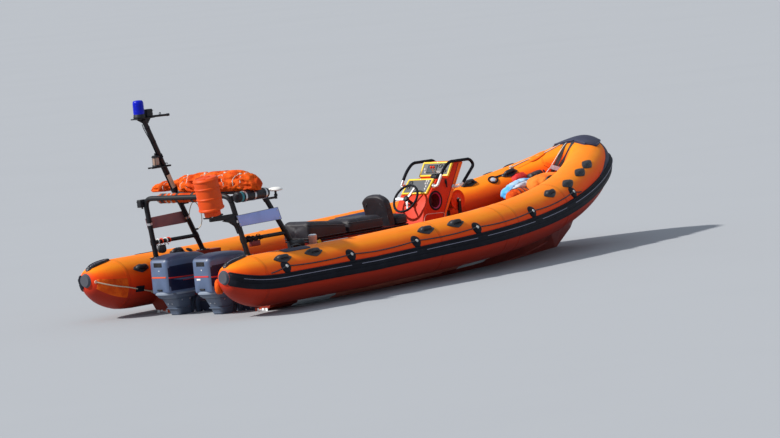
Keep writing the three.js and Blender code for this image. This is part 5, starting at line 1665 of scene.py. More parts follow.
def makeMidLamp():
    x, y, z = mast['midLamp']
    plate = rounded(boxBody(-0.350, -0.060, 0.568, 0.636, z - 0.014, z - 0.006), 0.002, 2)
    lip = [rounded(boxBody(-0.350, -0.060, edge - 0.003, edge + 0.003, z - 0.024, z - 0.006), 0.0015, 1)
           for edge in (0.571, 0.633)]
    foot = latheAt([(0, 0), (0.044, 0), (0.044, 0.012), (0.040, 0.017), (0, 0.017)], (x, y, z - 0.006), (0, 0, 1), 32)
    cap = latheAt([(0, 0.096), (0.044, 0.096), (0.045, 0.108), (0.034, 0.118), (0.012, 0.121), (0.010, 0.128),
                   (0.014, 0.132),
                   (0.014, 0.142), (0, 0.144)], (x, y, z - 0.006), (0, 0, 1), 32)
    posts = [rodBody(vec(x + 0.038 * math.cos(a), y + 0.038 * math.sin(a), z + 0.008),
                     vec(x + 0.038 * math.cos(a), y + 0.038 * math.sin(a), z + 0.092), 0.0025, sides=8)
             for a in np.radians([30, 120, 210, 300])]
    ubolt = smoothLine([mastAt(z - 0.004, -0.034, -0.036), mastAt(z - 0.004, -0.040, 0),
                        mastAt(z - 0.004, -0.034, 0.036)], 5)
    add('mid_lamp_frame', merge(plate, *lip, foot, cap, *posts, sweep(ubolt, 0.005, 10)), darkPlasticSurface,
        replaces=['mast_lamp'])
    glass = latheAt([(0, 0.012), (0.034, 0.012), (0.0365, 0.030), (0.0365, 0.080), (0.033, 0.097), (0, 0.097)],
                    (x, y, z - 0.006), (0, 0, 1), 32)
    add('mid_lamp_glass', glass, amberGlassSurface)


makeMidLamp()

barrel = {'radius': 0.133, 'lean': -9, 'foot': (-0.735, -0.657, 1.082)}


def makeBarrel():
    r = barrel['radius']
    profile = [(0, 0), (0.078, 0), (0.084, 0.004), (0.086, 0.020), (0.084, 0.050), (0.090, 0.054), (r - 0.014, 0.060),
               (r - 0.003, 0.064), (r + 0.005, 0.070), (r + 0.007, 0.079), (r + 0.004, 0.088), (r - 0.003, 0.094)]
    for start, end in ((0.094, 0.190), (0.206, 0.300), (0.316, 0.385)):
        profile += [(r - 0.002, start + 0.004), (r - 0.0015, (start + end) / 2), (r - 0.003, end - 0.004),
                    (r + 0.0045, end + 0.003), (r + 0.0055, end + 0.008), (r + 0.0045, end + 0.013)]
    profile += [(r - 0.002, 0.403), (r - 0.006, 0.411), (r - 0.014, 0.417), (r - 0.03, 0.4185), (r - 0.034, 0.414),
                (0, 0.4135)]
    turn = Matrix.Translation(Vector(barrel['foot'])) @ Matrix.Rotation(math.radians(barrel['lean']), 4, 'Y')
    add('barrel_shell', moved(lathe(profile, 56), turn), barrelSurface, replaces=['barrel'], sharp=35)
    grips = []
    for k in range(24):
        a = 2 * math.pi * k / 24
        grips.append(rounded(boxBody(0.083, 0.0885, -0.004, 0.004, 0.008, 0.046), 0.0015, 1))
        grips[-1] = moved(grips[-1], Matrix.Rotation(a, 4, 'Z'))
    bosses = [moved(latheAt([(0, 0.412), (0.028, 0.412), (0.030, 0.418), (0.022, 0.4195), (0, 0.4195)], (0.06, 0, 0),
                            (0, 0, 1), 24),
                    Matrix.Rotation(math.radians(a), 4, 'Z')) for a in (20, 200)]
    add('barrel_lid', moved(merge(*grips, *bosses), turn), barrelSurface)
    seat = rounded(boxBody(-0.084, 0.084, -0.070, 0.070, -0.016, -0.0003), 0.003, 2)
    bolts = [boltBody((dx, dy, 0), (0, 0, 1), 0.007) for dx in (-0.07, 0.07) for dy in (-0.056, 0.056)]
    add('barrel_seat', moved(seat, turn), frameSurface)
    add('barrel_bolts', moved(merge(*bolts), turn), whitePlasticSurface)


makeBarrel()

bottle = {'x': -0.3607, 'z': 1.250, 'radius': 0.052, 'y': (-0.130, 0.540),
          'bands': ((0.10, 0.019), (0.33, 0.016), (0.545, 0.022)), 'cord': 0.0032, 'lashings': (0.40, 0.47, 0.585)}


def makeBottle():
    y0, y1 = bottle['y']
    length = y1 - y0
    r = bottle['radius']
    profile = [(0, 0), (0.030, 0.001), (0.043, 0.006), (r - 0.002, 0.018), (r - 0.001, 0.04),
               (r - 0.001, length - 0.07),
               (r - 0.004, length - 0.050), (0.036, length - 0.030), (0.022, length - 0.022), (0.020, length - 0.004),
               (0, length - 0.002)]
    add('bottle_sleeve', latheAt(profile, (bottle['x'], y0, bottle['z']), (0, 1, 0), 36), bagSurface,
        replaces=['gas_bottle'], sharp=50)
    bands = [latheAt([(r - 0.003, h - w), (r + 0.0015, h - w), (r + 0.0015, h + w), (r - 0.003, h + w)],
                     (bottle['x'], y0, bottle['z']), (0, 1, 0), 36)
             for h, w in bottle['bands']]
    add('bottle_bands', merge(*bands), webbingSurface)
    cord = []
    for start in bottle['lashings']:
        line = []
        for k in range(30):
            a = 2 * math.pi * k / 15
            line.append(vec(bottle['x'] + (r + 0.002) * math.cos(a), y0 + start + 0.012 * k / 15,
                            bottle['z'] + (r + 0.002) * math.sin(a)))
        cord.append(sweep(line, bottle['cord'], 6))
    add('bottle_lashings', merge(*cord), whiteRopeSurface)
    head = merge(latheAt([(0, 0), (0.019, 0), (0.019, 0.030), (0.012, 0.034), (0.012, 0.055), (0, 0.056)],
                         (bottle['x'], y1 - 0.006, bottle['z']), (0, 1, 0), 18),
                 latheAt([(0, 0), (0.008, 0), (0.008, 0.03), (0.013, 0.032), (0.013, 0.040), (0, 0.041)],
                         (bottle['x'], y1 + 0.018, bottle['z']), (-1, 0, 0.4), 14))
    add('bottle_valve', head, metalSurface)


makeBottle()

canister = {'y': -0.730, 'z': 1.238, 'radius': 0.057, 'x': (-0.445, 0.040)}


def makeCanister():
    x0, x1 = canister['x']
    r, y, z = canister['radius'], canister['y'], canister['z']
    length = x1 - x0
    profile = [(0, 0.085), (r - 0.001, 0.085), (r - 0.001, length - 0.030), (r - 0.006, length - 0.024),
               (r - 0.006, length - 0.012),
               (r - 0.012, length - 0.004), (0, length)]
    add('canister_body', latheAt(profile, (x0, y, z), (1, 0, 0), 40), darkPlasticSurface,
        replaces=['canister'])
    cap = [(0, 0), (r - 0.014, 0.001), (r - 0.005, 0.006), (r, 0.014), (r, 0.050), (r - 0.003, 0.054), (0, 0.055)]
    add('canister_cap', latheAt(cap, (x0, y, z), (1, 0, 0), 40), darkPlasticSurface)
    add('canister_band', latheAt([(0, 0.054), (r - 0.003, 0.054), (r - 0.002, 0.058), (r - 0.002, 0.080),
                                  (r - 0.003, 0.086), (0, 0.086)],
                                 (x0, y, z), (1, 0, 0), 40), tealSurface)
    straps = [bandOn(vec(x, y, z), (1, 0, 0), r, 0.024, 0.003) for x in (-0.33, -0.19, -0.02)]
    arms = [rounded(boxBody(x - 0.014, x + 0.014, -0.70, -0.630, z - 0.012, z + 0.004), 0.003, 2)
            for x in (-0.33, -0.02)]
    add('canister_straps', merge(*straps, *arms), metalSurface)


makeCanister()

dome = {'x': 0.250, 'y': -0.650}


def makeAntenna():
    x, y = dome['x'], dome['y']
    body = latheAt([(0, 1.232), (0.050, 1.233), (0.074, 1.238), (0.080, 1.245), (0.078, 1.252), (0.064, 1.264),
                    (0.040, 1.272),
                    (0.015, 1.2745), (0, 1.275)], (x, y, 0), (0, 0, 1), 40)
    add('antenna_dome', body, whitePlasticSurface, replaces=['satellite_antenna'])
    post = merge(latheAt([(0, 1.148), (0.014, 1.148), (0.014, 1.175), (0.019, 1.178), (0.019, 1.198), (0.012, 1.202),
                          (0.012, 1.226),
                          (0.022, 1.234), (0, 1.234)], (x, y, 0), (0, 0, 1), 20),
                 rodBody(vec(0.112, y, 1.164), vec(x, y, 1.164), 0.0125, sides=14))
    add('antenna_post', post, darkPlasticSurface)
    clamp = bandOn(legPoint('forward', 1.164, -1), unit(legPoint('forward', 1.2, -1) - legPoint('forward', 1.1, -1)),
                   0.028, 0.034, 0.006)
    add('antenna_clamp', clamp, darkPlasticSurface)


makeAntenna()
print('roll bar made')

# Console, seats and reel

# Body with another cut out of it
def cutBody(body, tool):
    made = []
    for i, (points, faces) in enumerate((body, tool)):
        mesh = bpy.data.meshes.new(f'cut{i}')
        mesh.from_pydata([tuple(map(float, p)) for p in points], [], [list(map(int, f)) for f in faces])
        bm = bmesh.new()
        bm.from_mesh(mesh)
        bmesh.ops.remove_doubles(bm, verts=bm.verts, dist=1e-6)
        bmesh.ops.recalc_face_normals(bm, faces=bm.faces)
        bm.to_mesh(mesh)
        bm.free()
        part = bpy.data.objects.new(f'cut{i}', mesh)
        bpy.context.scene.collection.objects.link(part)
        made.append(part)
    modifier = made[0].modifiers.new('cut', 'BOOLEAN')
    modifier.operation = 'DIFFERENCE'
    modifier.solver = 'EXACT'
    modifier.object = made[1]
    result = made[0].evaluated_get(bpy.context.evaluated_depsgraph_get()).to_mesh()
    points = [tuple(v.co) for v in result.vertices]
    faces = [list(p.vertices) for p in result.polygons]
    for part in made:
        mesh = part.data
        bpy.data.objects.remove(part)
        bpy.data.meshes.remove(mesh)
    return points, faces


console = {'half': 0.220, 'outline': [(2.860, 0.1203), (3.020, 0.700), (3.127, 0.860), (3.285, 1.022), (3.478, 1.022),
                                      (3.588, 1.180), (3.741, 1.183), (3.373, 0.618), (3.150, 0.1203)],
           'recess': (3.223, 0.788, 0.095, 0.120), 'upper': ((3.478, 1.022), (3.588, 1.180), 0.218, 0.004),
           'lower': ((3.127, 0.860), (3.285, 1.022), 0.190, 0.006)}


def makeConsole():
    h = console['half']
    shellBody = rounded(sidePrism(console['outline'], -h, h), 0.016, 4, 20)
    x, z, r, deep = console['recess']
    bowl = latheAt([(0, -0.02), (r + 0.008, -0.02), (r + 0.004, 0.004), (r, 0.012), (r - 0.004, deep - 0.03),
                    (r - 0.03, deep), (0, deep)],
                   (x, -h, z), (0, 1, 0), 40)
    add('console_shell', cutBody(shellBody, bowl), consoleSurface, replaces=['console'], sharp=28)
    rim = latheAt([(r - 0.006, -0.010), (r + 0.004, -0.010), (r + 0.014, -0.006), (r + 0.016, 0.0), (r + 0.010, 0.006),
                   (r - 0.006, 0.006)],
                  (x, -h, z), (0, -1, 0), 44)
    add('recess_rim', rim, rubberSurface)
    glow = latheAt([(r - 0.016, -0.012), (r - 0.005, -0.012), (r - 0.005, 0.002), (r - 0.016, -0.006)], (x, -h, z),
                   (0, -1, 0), 44)
    add('recess_ring', glow, magentaSurface)
    dish = latheAt([(r - 0.012, 0.018), (r - 0.016, 0.05), (r - 0.03, deep - 0.014), (0.02, deep - 0.006),
                    (0, deep - 0.006),
                    (0, deep - 0.001), (r - 0.02, deep - 0.006), (r - 0.007, 0.06), (r - 0.006, 0.018)], (x, -h, z),
                    (0, 1, 0), 40)
    add('recess_lining', dish, maroonSurface, sharp=60)
    trim = []
    for side in (-1, 1):
        y = side * (h + 0.0005)
        low = [vec(2.905, y, 0.30), vec(3.03, y, 0.655), vec(3.36, y, 0.64), vec(3.20, y, 0.26)]
        trim.append(sweep(bentLine([low[0], low[1], low[2], low[3]], 0.05, 5), 0.0045, 8))
    add('console_seams', merge(*trim), consoleTrimSurface)
    edge = sidePrism([(3.664, 1.164), (3.730, 1.164), (3.378, 0.624), (3.148, 0.125), (3.120, 0.125), (3.350, 0.634)],
                     -0.0012, 0.0012)
    groove = [vec(3.655, 0, 1.160), vec(3.342, 0, 0.634), vec(3.112, 0, 0.130)]
    edges, grooves = [], []
    for side in (-1, 1):
        edges.append(moved(rounded(edge, 0.0008, 1), Matrix.Translation((0, side * (h + 0.0004), 0))))
        grooves.append(sweep(bentLine([p + vec(0, side * h, 0) for p in groove], 0.05, 5), 0.0042, 8))
    add('console_edges', merge(*edges), consoleEdgeSurface)
    add('console_grooves', merge(*grooves), maroonSurface)
    toggle = merge(rounded(boxBody(3.404, 3.430, -h - 0.010, -h + 0.004, 0.955, 1.004), 0.004, 3),
                   rounded(boxBody(3.411, 3.423, -h - 0.020, -h - 0.006, 0.912, 0.985), 0.004, 3),
                   latheAt([(0, 0), (0.017, 0), (0.016, 0.006), (0, 0.008)], (3.417, -h, 0.980), (0, -1, 0), 20))
    add('console_toggle', toggle, darkPlasticSurface)
    flange = []
    for side in (-1, 1):
        flange.append(rounded(boxBody(2.87, 3.15, side * 0.238 - 0.018, side * 0.238 + 0.018, 0.1205, 0.128), 0.002, 2))
        for fx in (2.90, 3.01, 3.12):
            flange.append(boltBody((fx, side * 0.240, 0.128), (0, 0, 1), 0.006))
    add('console_flange', merge(*flange), metalSurface)
    door = rounded(boxBody(-0.155, 0.155, -0.008, 0.0, 0.0, 0.30), 0.006, 3)
    way = Vector((3.741 - 3.373, 0, 1.183 - 0.618)).normalized()
    face = Matrix.Translation(Vector((3.415, 0, 0.690))) @ Matrix(((0, way.z, way.x, 0), (1, 0, 0, 0),
                                                                   (0, -way.x, way.z, 0), (0, 0, 0, 1)))
    doorBits = [door]
    for y in (-0.10, 0.10):
        doorBits.append(peg((y - 0.025, 0.0005, 0.004), (1, 0, 0), 0.006, 0.05, 10))
    doorBits.append(latheAt([(0, 0), (0.018, 0), (0.016, 0.006), (0.008, 0.012), (0, 0.012)], (0, -0.001, 0.265),
                            (0, 1, 0), 18))
    add('console_door', moved(merge(*doorBits), face), consoleSurface)


makeConsole()


# Local frame of a sloping panel: u up the slope, y across, height off the face
def slopeFrame(low, high):
    way = Vector((high[0] - low[0], 0, high[1] - low[1])).normalized()
    normal = Vector((-way.z, 0, way.x))
    side = normal.cross(way)
    turn = Matrix((way, side, normal)).transposed().to_4x4()
    return Matrix.Translation(Vector((low[0], 0, low[1]))) @ turn


def dialBody(u, y, radius, height=0.020):
    return latheAt([(0, 0), (radius, 0), (radius, 0.004), (radius - 0.003, 0.0065), (radius - 0.006, 0.0065),
                    (radius - 0.007, 0.003), (0, 0.003)],
                   (u, y, height), (0, 0, 1), 28)


def tickBody(u, y, radius, count, height):
    marks = []
    for k in range(count):
        a = math.radians(-130 + 260 * k / (count - 1))
        c, s = math.cos(a), math.sin(a)
        mark = boxBody(radius * 0.62, radius * 0.78, -0.0008, 0.0008, 0, 0.0006)
        turned = Matrix.Rotation(math.atan2(s, c), 4, 'Z')
        marks.append(moved(mark, Matrix.Translation(Vector((u, y, height))) @ turned))
    needle = moved(boxBody(-0.004, radius * 0.66, -0.0009, 0.0009, 0.0006, 0.0016),
                   Matrix.Translation(Vector((u, y, height))) @ Matrix.Rotation(math.radians(210), 4, 'Z'))
    return merge(*marks, needle)


def panelBodies(low, high, half, inset, name, dials, switches, screens):
    length = math.hypot(high[0] - low[0], high[1] - low[1])
    turn = slopeFrame(low, high)
    lo, hi = inset, length - inset
    rimWide = 0.021
    pieces = []
    for a, b, c, d in ((lo, lo + rimWide, -half, half), (hi - rimWide, hi, -half, half),
                       (lo + rimWide - 0.001, hi - rimWide + 0.001, -half, -half + rimWide),
                       (lo + rimWide - 0.001, hi - rimWide + 0.001, half - rimWide, half)):
        pieces.append(rounded(boxBody(a, b, c, d, 0.0005, 0.0245), 0.004, 3))
    add(f'{name}_rim', moved(merge(*pieces), turn), yellowSurface, replaces=[name])
    floor = rounded(boxBody(lo + rimWide - 0.004, hi - rimWide + 0.004, -half + rimWide - 0.004, half - rimWide + 0.004,
                            0.0006, 0.019), 0.001, 1)
    add(f'{name}_floor', moved(floor, turn), panelGreySurface)
    rings = [dialBody(u, y, r) for u, y, r in dials]
    faces = [tickBody(u, y, r, 9, 0.0232) for u, y, r in dials]
    knobs = []
    for u, y in switches:
        knobs.append(rounded(boxBody(u - 0.011, u + 0.011, y - 0.008, y + 0.008, 0.018, 0.0215), 0.001, 1))
        knobs.append(rounded(sidePrism([(u - 0.008, 0.021), (u + 0.008, 0.021), (u + 0.007, 0.030),
                                        (u - 0.007, 0.0245)], y - 0.0055, y + 0.0055), 0.001, 1))
    frames = [rounded(boxBody(u0, u1, y0, y1, 0.018, 0.026), 0.003, 2) for u0, u1, y0, y1 in screens]
    glasses = [rounded(boxBody(u0 + 0.009, u1 - 0.009, y0 + 0.009, y1 - 0.009, 0.024, 0.0266), 0.001, 1)
               for u0, u1, y0, y1 in screens]
    screws = [boltBody((u, y, 0.0243), (0, 0, 1), 0.0038) for u in (lo + 0.010, hi - 0.010)
              for y in (-half + 0.010, 0, half - 0.010)]
    add(f'{name}_dials', moved(merge(*rings, *frames), turn), darkPlasticSurface)
    add(f'{name}_marks', moved(merge(*faces, *knobs), turn), whitePlasticSurface)
    if glasses:
        add(f'{name}_screen', moved(merge(*glasses), turn), screenSurface)
    add(f'{name}_screws', moved(merge(*screws), turn), metalSurface)


def makePanels():
    low, high, half, inset = console['upper']
    panelBodies(low, high, half, inset, 'panel_upper',
                [(0.135, -0.125, 0.027), (0.135, -0.060, 0.027), (0.070, -0.150, 0.020)],
                [(0.06, -0.10), (0.06, -0.070), (0.06, -0.040), (0.06, 0.145), (0.10, 0.165)],
                [(0.045, 0.150, -0.015, 0.125)])
    low, high, half, inset = console['lower']
    panelBodies(low, high, half, inset, 'panel_lower', [(0.165, 0.125, 0.026), (0.100, 0.130, 0.024)],
                [(0.185, -0.130), (0.150, -0.130), (0.110, -0.130), (0.075, -0.130), (0.185, -0.100), (0.150, -0.100)],
                [])


makePanels()

rail = {'y': 0.275, 'foot': 0.2205, 'radius': 0.0145, 'bend': 0.060, 'sleeveRadius': 0.0172, 'rib': 0.035,
        'corners': [(3.215, 0.950), (3.330, 1.110), (3.440, 1.196), (3.790, 1.190), (3.850, 1.120), (3.625, 0.925),
                    (3.538, 0.905)],
        'sleeve': [(3.330, 1.110), (3.440, 1.196), (3.790, 1.190), (3.850, 1.120), (3.640, 0.936)],
        # side, bare tube and where its rubber sleeve starts
        'sides': {'port': (1, metalSurface, (3.262, 1.020)), 'starboard': (-1, whitePlasticSurface, (3.300, 1.068))}}


def makeRails():
    for name, (side, tubeSurface, start) in rail['sides'].items():
        y, foot = side * rail['y'], side * rail['foot']
        corners = [vec(rail['corners'][0][0], foot, rail['corners'][0][1])]
        corners += [vec(x, y, z) for x, z in rail['corners']]
        corners.append(vec(rail['corners'][-1][0], foot, rail['corners'][-1][1]))
        path = bentLine(corners, rail['bend'], 8)
        add(f'rail_tube_{name}', sweep(path, rail['radius'], 16), tubeSurface,
            replaces=[f'grab_rail_{name}'], sharp=60)
        ribbed = smoothLine(bentLine([vec(x, y, z) for x, z in (start, *rail['sleeve'])], rail['bend'], 8), 2)
        scale = [1.0 + rail['rib'] * (k % 2) for k in range(len(ribbed))]
        add(f'rail_grip_{name}', sweep(ribbed, rail['sleeveRadius'], 16, scale=scale), rubberSurface,
            sharp=60)
        feet = [latheAt([(0, 0), (0.030, 0), (0.028, 0.006), (0.018, 0.010), (0, 0.010)], (x, foot, z), (0, side, 0),
                        20)
                for x, z in (rail['corners'][0], rail['corners'][-1])]
        add(f'rail_feet_{name}', merge(*feet), metalSurface)


makeRails()

wheel = {'radius': 0.165, 'centre': (3.0735, 0, 0.780), 'axis': (-0.160, 0, 0.107), 'off': 0.115}


def makeWheel():
    axis = Vector(wheel['axis']).normalized()
    centre = Vector(wheel['centre']) + axis * wheel['off']
    turn = Vector((0, 0, 1)).rotation_difference(axis).to_matrix().to_4x4()
    frameTurn = Matrix.Translation(centre) @ turn
    steps = 72
    rings = []
    for i in range(steps + 1):
        a = 2 * math.pi * i / steps
        thick = 0.0135 + 0.0009 * math.cos(a * 24)
        rings.append([vec((wheel['radius'] + thick * math.cos(b)) * math.cos(a),
                          (wheel['radius'] + thick * math.cos(b)) * math.sin(a),
                          thick * math.sin(b)) for b in (2 * math.pi * j / 12 for j in range(12))])
    add('wheel_rim', moved(loft(rings, caps=False), frameTurn), rubberSurface, 'helm',
        ['steering_wheel'])
    spokes = []
    for deg in (90, 210, 330):
        a = math.radians(deg)
        way = vec(math.cos(a), math.sin(a), 0)
        path = smoothLine([way * 0.02 + vec(0, 0, -0.012), way * 0.07 + vec(0, 0, -0.010),
                           way * 0.12 + vec(0, 0, -0.003), way * 0.157], 4)
        spokes.append(sweep(path, [(-0.016, -0.0035), (-0.013, 0.0035), (0.013, 0.0035), (0.016, -0.0035)],
                            up=(0, 0, 1),
                            scale=np.linspace(1.0, 0.62, len(path))))
    hub = lathe([(0, -0.1142), (0.017, -0.1142), (0.017, -0.030), (0.030, -0.026), (0.034, -0.010), (0.034, 0.006),
                 (0.026, 0.013),
                 (0.010, 0.015), (0, 0.015)], 28)
    add('wheel_spokes', moved(merge(*spokes), frameTurn), metalSurface, 'helm')
    add('wheel_hub', moved(hub, frameTurn), darkPlasticSurface, 'helm')


makeWheel()


throttle = {'case': [(3.290, 1.0225), (3.400, 1.0225), (3.396, 1.058), (3.372, 1.074), (3.318, 1.074), (3.294, 1.056)],
            'side': (-0.200, -0.110), 'levers': (-0.175, -0.135),
            'lever': [(3.345, 1.055), (3.335, 1.085), (3.315, 1.120), (3.297, 1.150)]}


def makeThrottle():
    case = rounded(sidePrism(throttle['case'], *throttle['side']), 0.006, 3)
    slots = [rounded(boxBody(3.300, 3.390, y - 0.004, y + 0.004, 1.055, 1.0755), 0.001, 1) for y in throttle['levers']]
    add('throttle_case', merge(case, *slots), darkPlasticSurface, replaces=['throttle'])
    levers, knobs = [], []
    for y in throttle['levers']:
        path = smoothLine([(x, y, z) for x, z in throttle['lever']], 4)
        levers.append(sweep(path, [(-0.005, -0.003), (-0.005, 0.003), (0.005, 0.003), (0.005, -0.003)], up=(1, 0, 0)))
        knobs.append(latheAt([(0, -0.012), (0.008, -0.011), (0.0125, -0.003), (0.0135, 0.006), (0.011, 0.016),
                              (0.005, 0.020), (0, 0.0205)],
                             (3.298, y, 1.150), (-0.45, 0, 0.9), 20))
    add('throttle_levers', merge(*levers), metalSurface)
    add('throttle_knobs', merge(*knobs), redPlasticSurface)


makeThrottle()

reel = {'x': 3.760, 'z': 0.735, 'half': 0.070, 'plateY': 0.089, 'rope': 0.0062, 'pitch': 0.0125,
        'layers': [(0.052, 9), (0.063, 9), (0.074, 8), (0.085, 7)]}  # radius and turns of each layer


def makeReel():
    x, z, h = reel['x'], reel['z'], reel['half']
    discs = []
    for side in (-1, 1):
        discs.append(latheAt([(0.012, h - 0.012), (0.045, h - 0.012), (0.050, h - 0.010), (0.098, h - 0.010),
                              (0.104, h - 0.013),
                              (0.112, h - 0.013), (0.115, h - 0.009), (0.115, h - 0.004), (0.112, h), (0.104, h),
                              (0.098, h - 0.004),
                              (0.050, h - 0.004), (0.045, h), (0.012, h)], (x, 0, z), (0, side, 0), 44))
    hub = latheAt([(0, -h + 0.011), (0.046, -h + 0.011), (0.046, h - 0.011), (0, h - 0.011)], (x, 0, z), (0, 1, 0), 32)
    add('reel_discs', merge(*discs), redPlasticSurface, 'reel', ['rope_reel'])
    add('reel_core', hub, redPlasticSurface, 'reel')
    axle = merge(latheAt([(0, -0.100), (0.014, -0.100), (0.014, 0.100), (0, 0.100)], (x, 0, z), (0, 1, 0), 20),
                 *[latheAt([(0.013, 0.068), (0.026, 0.068), (0.026, 0.074), (0.013, 0.077)], (x, 0, z), (0, side, 0),
                           20) for side in (-1, 1)])
    add('reel_axle', axle, metalSurface, 'reel')
    wound = []
    for radius, turns in reel['layers']:
        path = []
        width = turns * reel['pitch']
        for k in range(turns * 20 + 1):
            a = 2 * math.pi * k / 20
            path.append(vec(x + radius * math.cos(a), -width / 2 + width * k / (turns * 20), z + radius * math.sin(a)))
        wound.append(sweep(path, reel['rope'], 6))
    add('reel_rope', merge(*wound), orangeRopeSurface, 'reel')
    plates = []
    for side in (-1, 1):
        y = side * reel['plateY']
        outline = [(x - 0.055, 0.1205), (x + 0.055, 0.1205), (x + 0.050, 0.16), (x + 0.016, z - 0.15),
                   (x + 0.016, z - 0.03), (x + 0.025, z), (x + 0.018, z + 0.020),
                   (x - 0.018, z + 0.020), (x - 0.025, z), (x - 0.020, z - 0.03), (x - 0.034, z - 0.15),
                   (x - 0.050, 0.16)]
        tool = latheAt([(0, -0.03), (0.0148, -0.03), (0.0148, 0.03), (0, 0.03)], (x, y, z), (0, 1, 0), 24)
        plates.append(cutBody(rounded(sidePrism(outline, y - 0.0085, y + 0.0085), 0.003, 2), tool))
    base = rounded(boxBody(x - 0.060, x + 0.060, -0.120, 0.120, 0.1205, 0.1315), 0.003, 2)
    bolts = [boltBody((x + dx, dy, 0.1315), (0, 0, 1), 0.007) for dx in (-0.045, 0.045) for dy in (-0.108, 0.108)]
    tie = latheAt([(0, -0.085), (0.008, -0.085), (0.008, 0.085), (0, 0.085)], (x, 0, 0.42), (0, 1, 0), 14)
    add('reel_plates', merge(*plates, base, tie), frameSurface, replaces=['reel_stand'])
    add('reel_bolts', merge(*bolts), metalSurface)


makeReel()
print('console made')

# Seats: shaped blocks blown up a little, then piping laid on the result

seat = {'half': 0.215, 'base': 0.5903, 'voxel': 0.0125, 'pressure': 4.0,
        'cushions': [('seat_cushion_aft', 1.156, 1.794, 0.800, 0.735, 0.012),
                     ('seat_cushion_mid', 1.816, 2.394, 0.745, 0.735, 0.010),
                     ('helm_seat', 2.604, 2.776, 0.705, 0.715, 0.008)]}


def cushionBlock(x0, x1, aftZ, foreZ, inset=0.010):
    rings = []
    low = seat['base'] + 0.002
    length = x1 - x0
    for share in (0, 0.006, 0.02, 0.05, 0.10, 0.2, 0.35, 0.5, 0.65, 0.8, 0.9, 0.95, 0.98, 0.994, 1):
        x = x0 + length * share
        edge = min(share, 1 - share) * length
        pull = 0.030 * (1 - clip01(edge / 0.05)) ** 2
        z = aftZ + (foreZ - aftZ) * share - inset - pull * 1.1
        half = seat['half'] - inset - pull
        rings.append(crossRing(x, half, low, z, 0.055, 0.018, 6, 0.006))
    return loft(rings)


# Remeshed copy under pressure, each point held within its cap
def puffed(piece, cap, pressure):
    start = piece.data
    remesh = piece.modifiers.new('remesh', 'REMESH')
    remesh.mode = 'VOXEL'
    remesh.voxel_size = seat['voxel']
    mesh = bpy.data.meshes.new_from_object(piece.evaluated_get(bpy.context.evaluated_depsgraph_get()))
    piece.modifiers.clear()
    piece.data = mesh
    bpy.data.meshes.remove(start)
    rest = np.array([v.co for v in mesh.vertices])
    cloth = piece.modifiers.new('cloth', 'CLOTH')
    cloth.settings.use_pressure = True
    cloth.settings.uniform_pressure_force = pressure
    cloth.settings.effector_weights.gravity = 0
    cloth.settings.quality = 4
    cloth.settings.tension_stiffness = 18
    cloth.settings.compression_stiffness = 18
    cloth.settings.shear_stiffness = 8
    cloth.settings.bending_stiffness = 0.6
    scene = bpy.context.scene
    for number in range(1, 21):
        scene.frame_set(number)
    soft = piece.evaluated_get(bpy.context.evaluated_depsgraph_get()).to_mesh()
    shift = np.array([v.co for v in soft.vertices]) - rest
    piece.modifiers.clear()
    scene.frame_set(1)
    reach = np.linalg.norm(shift, axis=1, keepdims=True)
    return rest + shift * np.minimum(1, cap / np.maximum(reach, 1e-9))


# Line laid on a piece from points near it
def lineOn(piece, points, off=0.0):
    tree = BVHTree.FromObject(piece, bpy.context.evaluated_depsgraph_get())
    laid = []
    for p in points:
        spot, normal, _, _ = tree.find_nearest(Vector(p))
        laid.append(vec(*(spot + normal * off)))
    return laid


def makeCushions():
    for name, x0, x1, aftZ, foreZ, cap in seat['cushions']:
        points, faces = cushionBlock(x0, x1, aftZ, foreZ)
        piece = makePiece(f'{name}_cover', points, faces, seatSurface, 180)
        spots = puffed(piece, cap, seat['pressure'])
        spots[:, 2] = np.maximum(spots[:, 2], seat['base'] + 0.0006)
        top = aftZ + (foreZ - aftZ) * np.clip((spots[:, 0] - x0) / (x1 - x0), 0, 1)
        for u in np.arange(x0 + 0.17, x1 - 0.10, 0.19):  # sewn channels across the top
            dip = np.exp(-((spots[:, 0] - u) / 0.010) ** 2) * np.clip((spots[:, 2] - top + 0.045) / 0.03, 0, 1)
            spots[:, 2] -= dip * 0.0065
        piece.data.vertices.foreach_set('co', spots.ravel())
        smooth = piece.modifiers.new('smooth', 'SUBSURF')
        smooth.levels = smooth.render_levels = 1
        mesh = bpy.data.meshes.new_from_object(piece.evaluated_get(bpy.context.evaluated_depsgraph_get()))
        piece.modifiers.clear()
        piece.data = mesh
        finishMesh(mesh, seatSurface, 180)
        settle(piece, replaces=[name])
        half = seat['half'] - 0.006
        rim = []
        for x, y in planCorners(x0 + 0.012, x1 - 0.012, half, 0.05):
            z = aftZ + (foreZ - aftZ) * (x - x0) / (x1 - x0) - 0.034
            rim.append((x, y, z))
        rim.append(rim[0])
        piping = [sweep(smoothLine(lineOn(piece, rim, 0.001), 2), 0.0042, 8)]
        low = [(x, y, seat['base'] + 0.022) for x, y, _ in rim]
        piping.append(sweep(smoothLine(lineOn(piece, low, 0.0005), 2), 0.0035, 8))
        add(f'{name}_piping', merge(*piping), pipingSurface, sharp=60)
        stitches = []
        for u in np.arange(x0 + 0.17, x1 - 0.10, 0.19):
            across = [(u, y, 0.82) for y in np.linspace(-half + 0.06, half - 0.06, 26)]
            laid = lineOn(piece, across, 0.0006)
            for k in range(0, len(laid) - 1, 2):
                stitches.append(rodBody(laid[k], laid[k] + (laid[k + 1] - laid[k]) * 0.75, 0.0012, sides=6))
        if stitches:
            add(f'{name}_stitches', merge(*stitches), threadSurface)


def planCorners(x0, x1, half, radius, steps=6):
    return [(p[0], p[1]) for p in planRing(0, x0, x1, half, radius, steps)]


makeCushions()

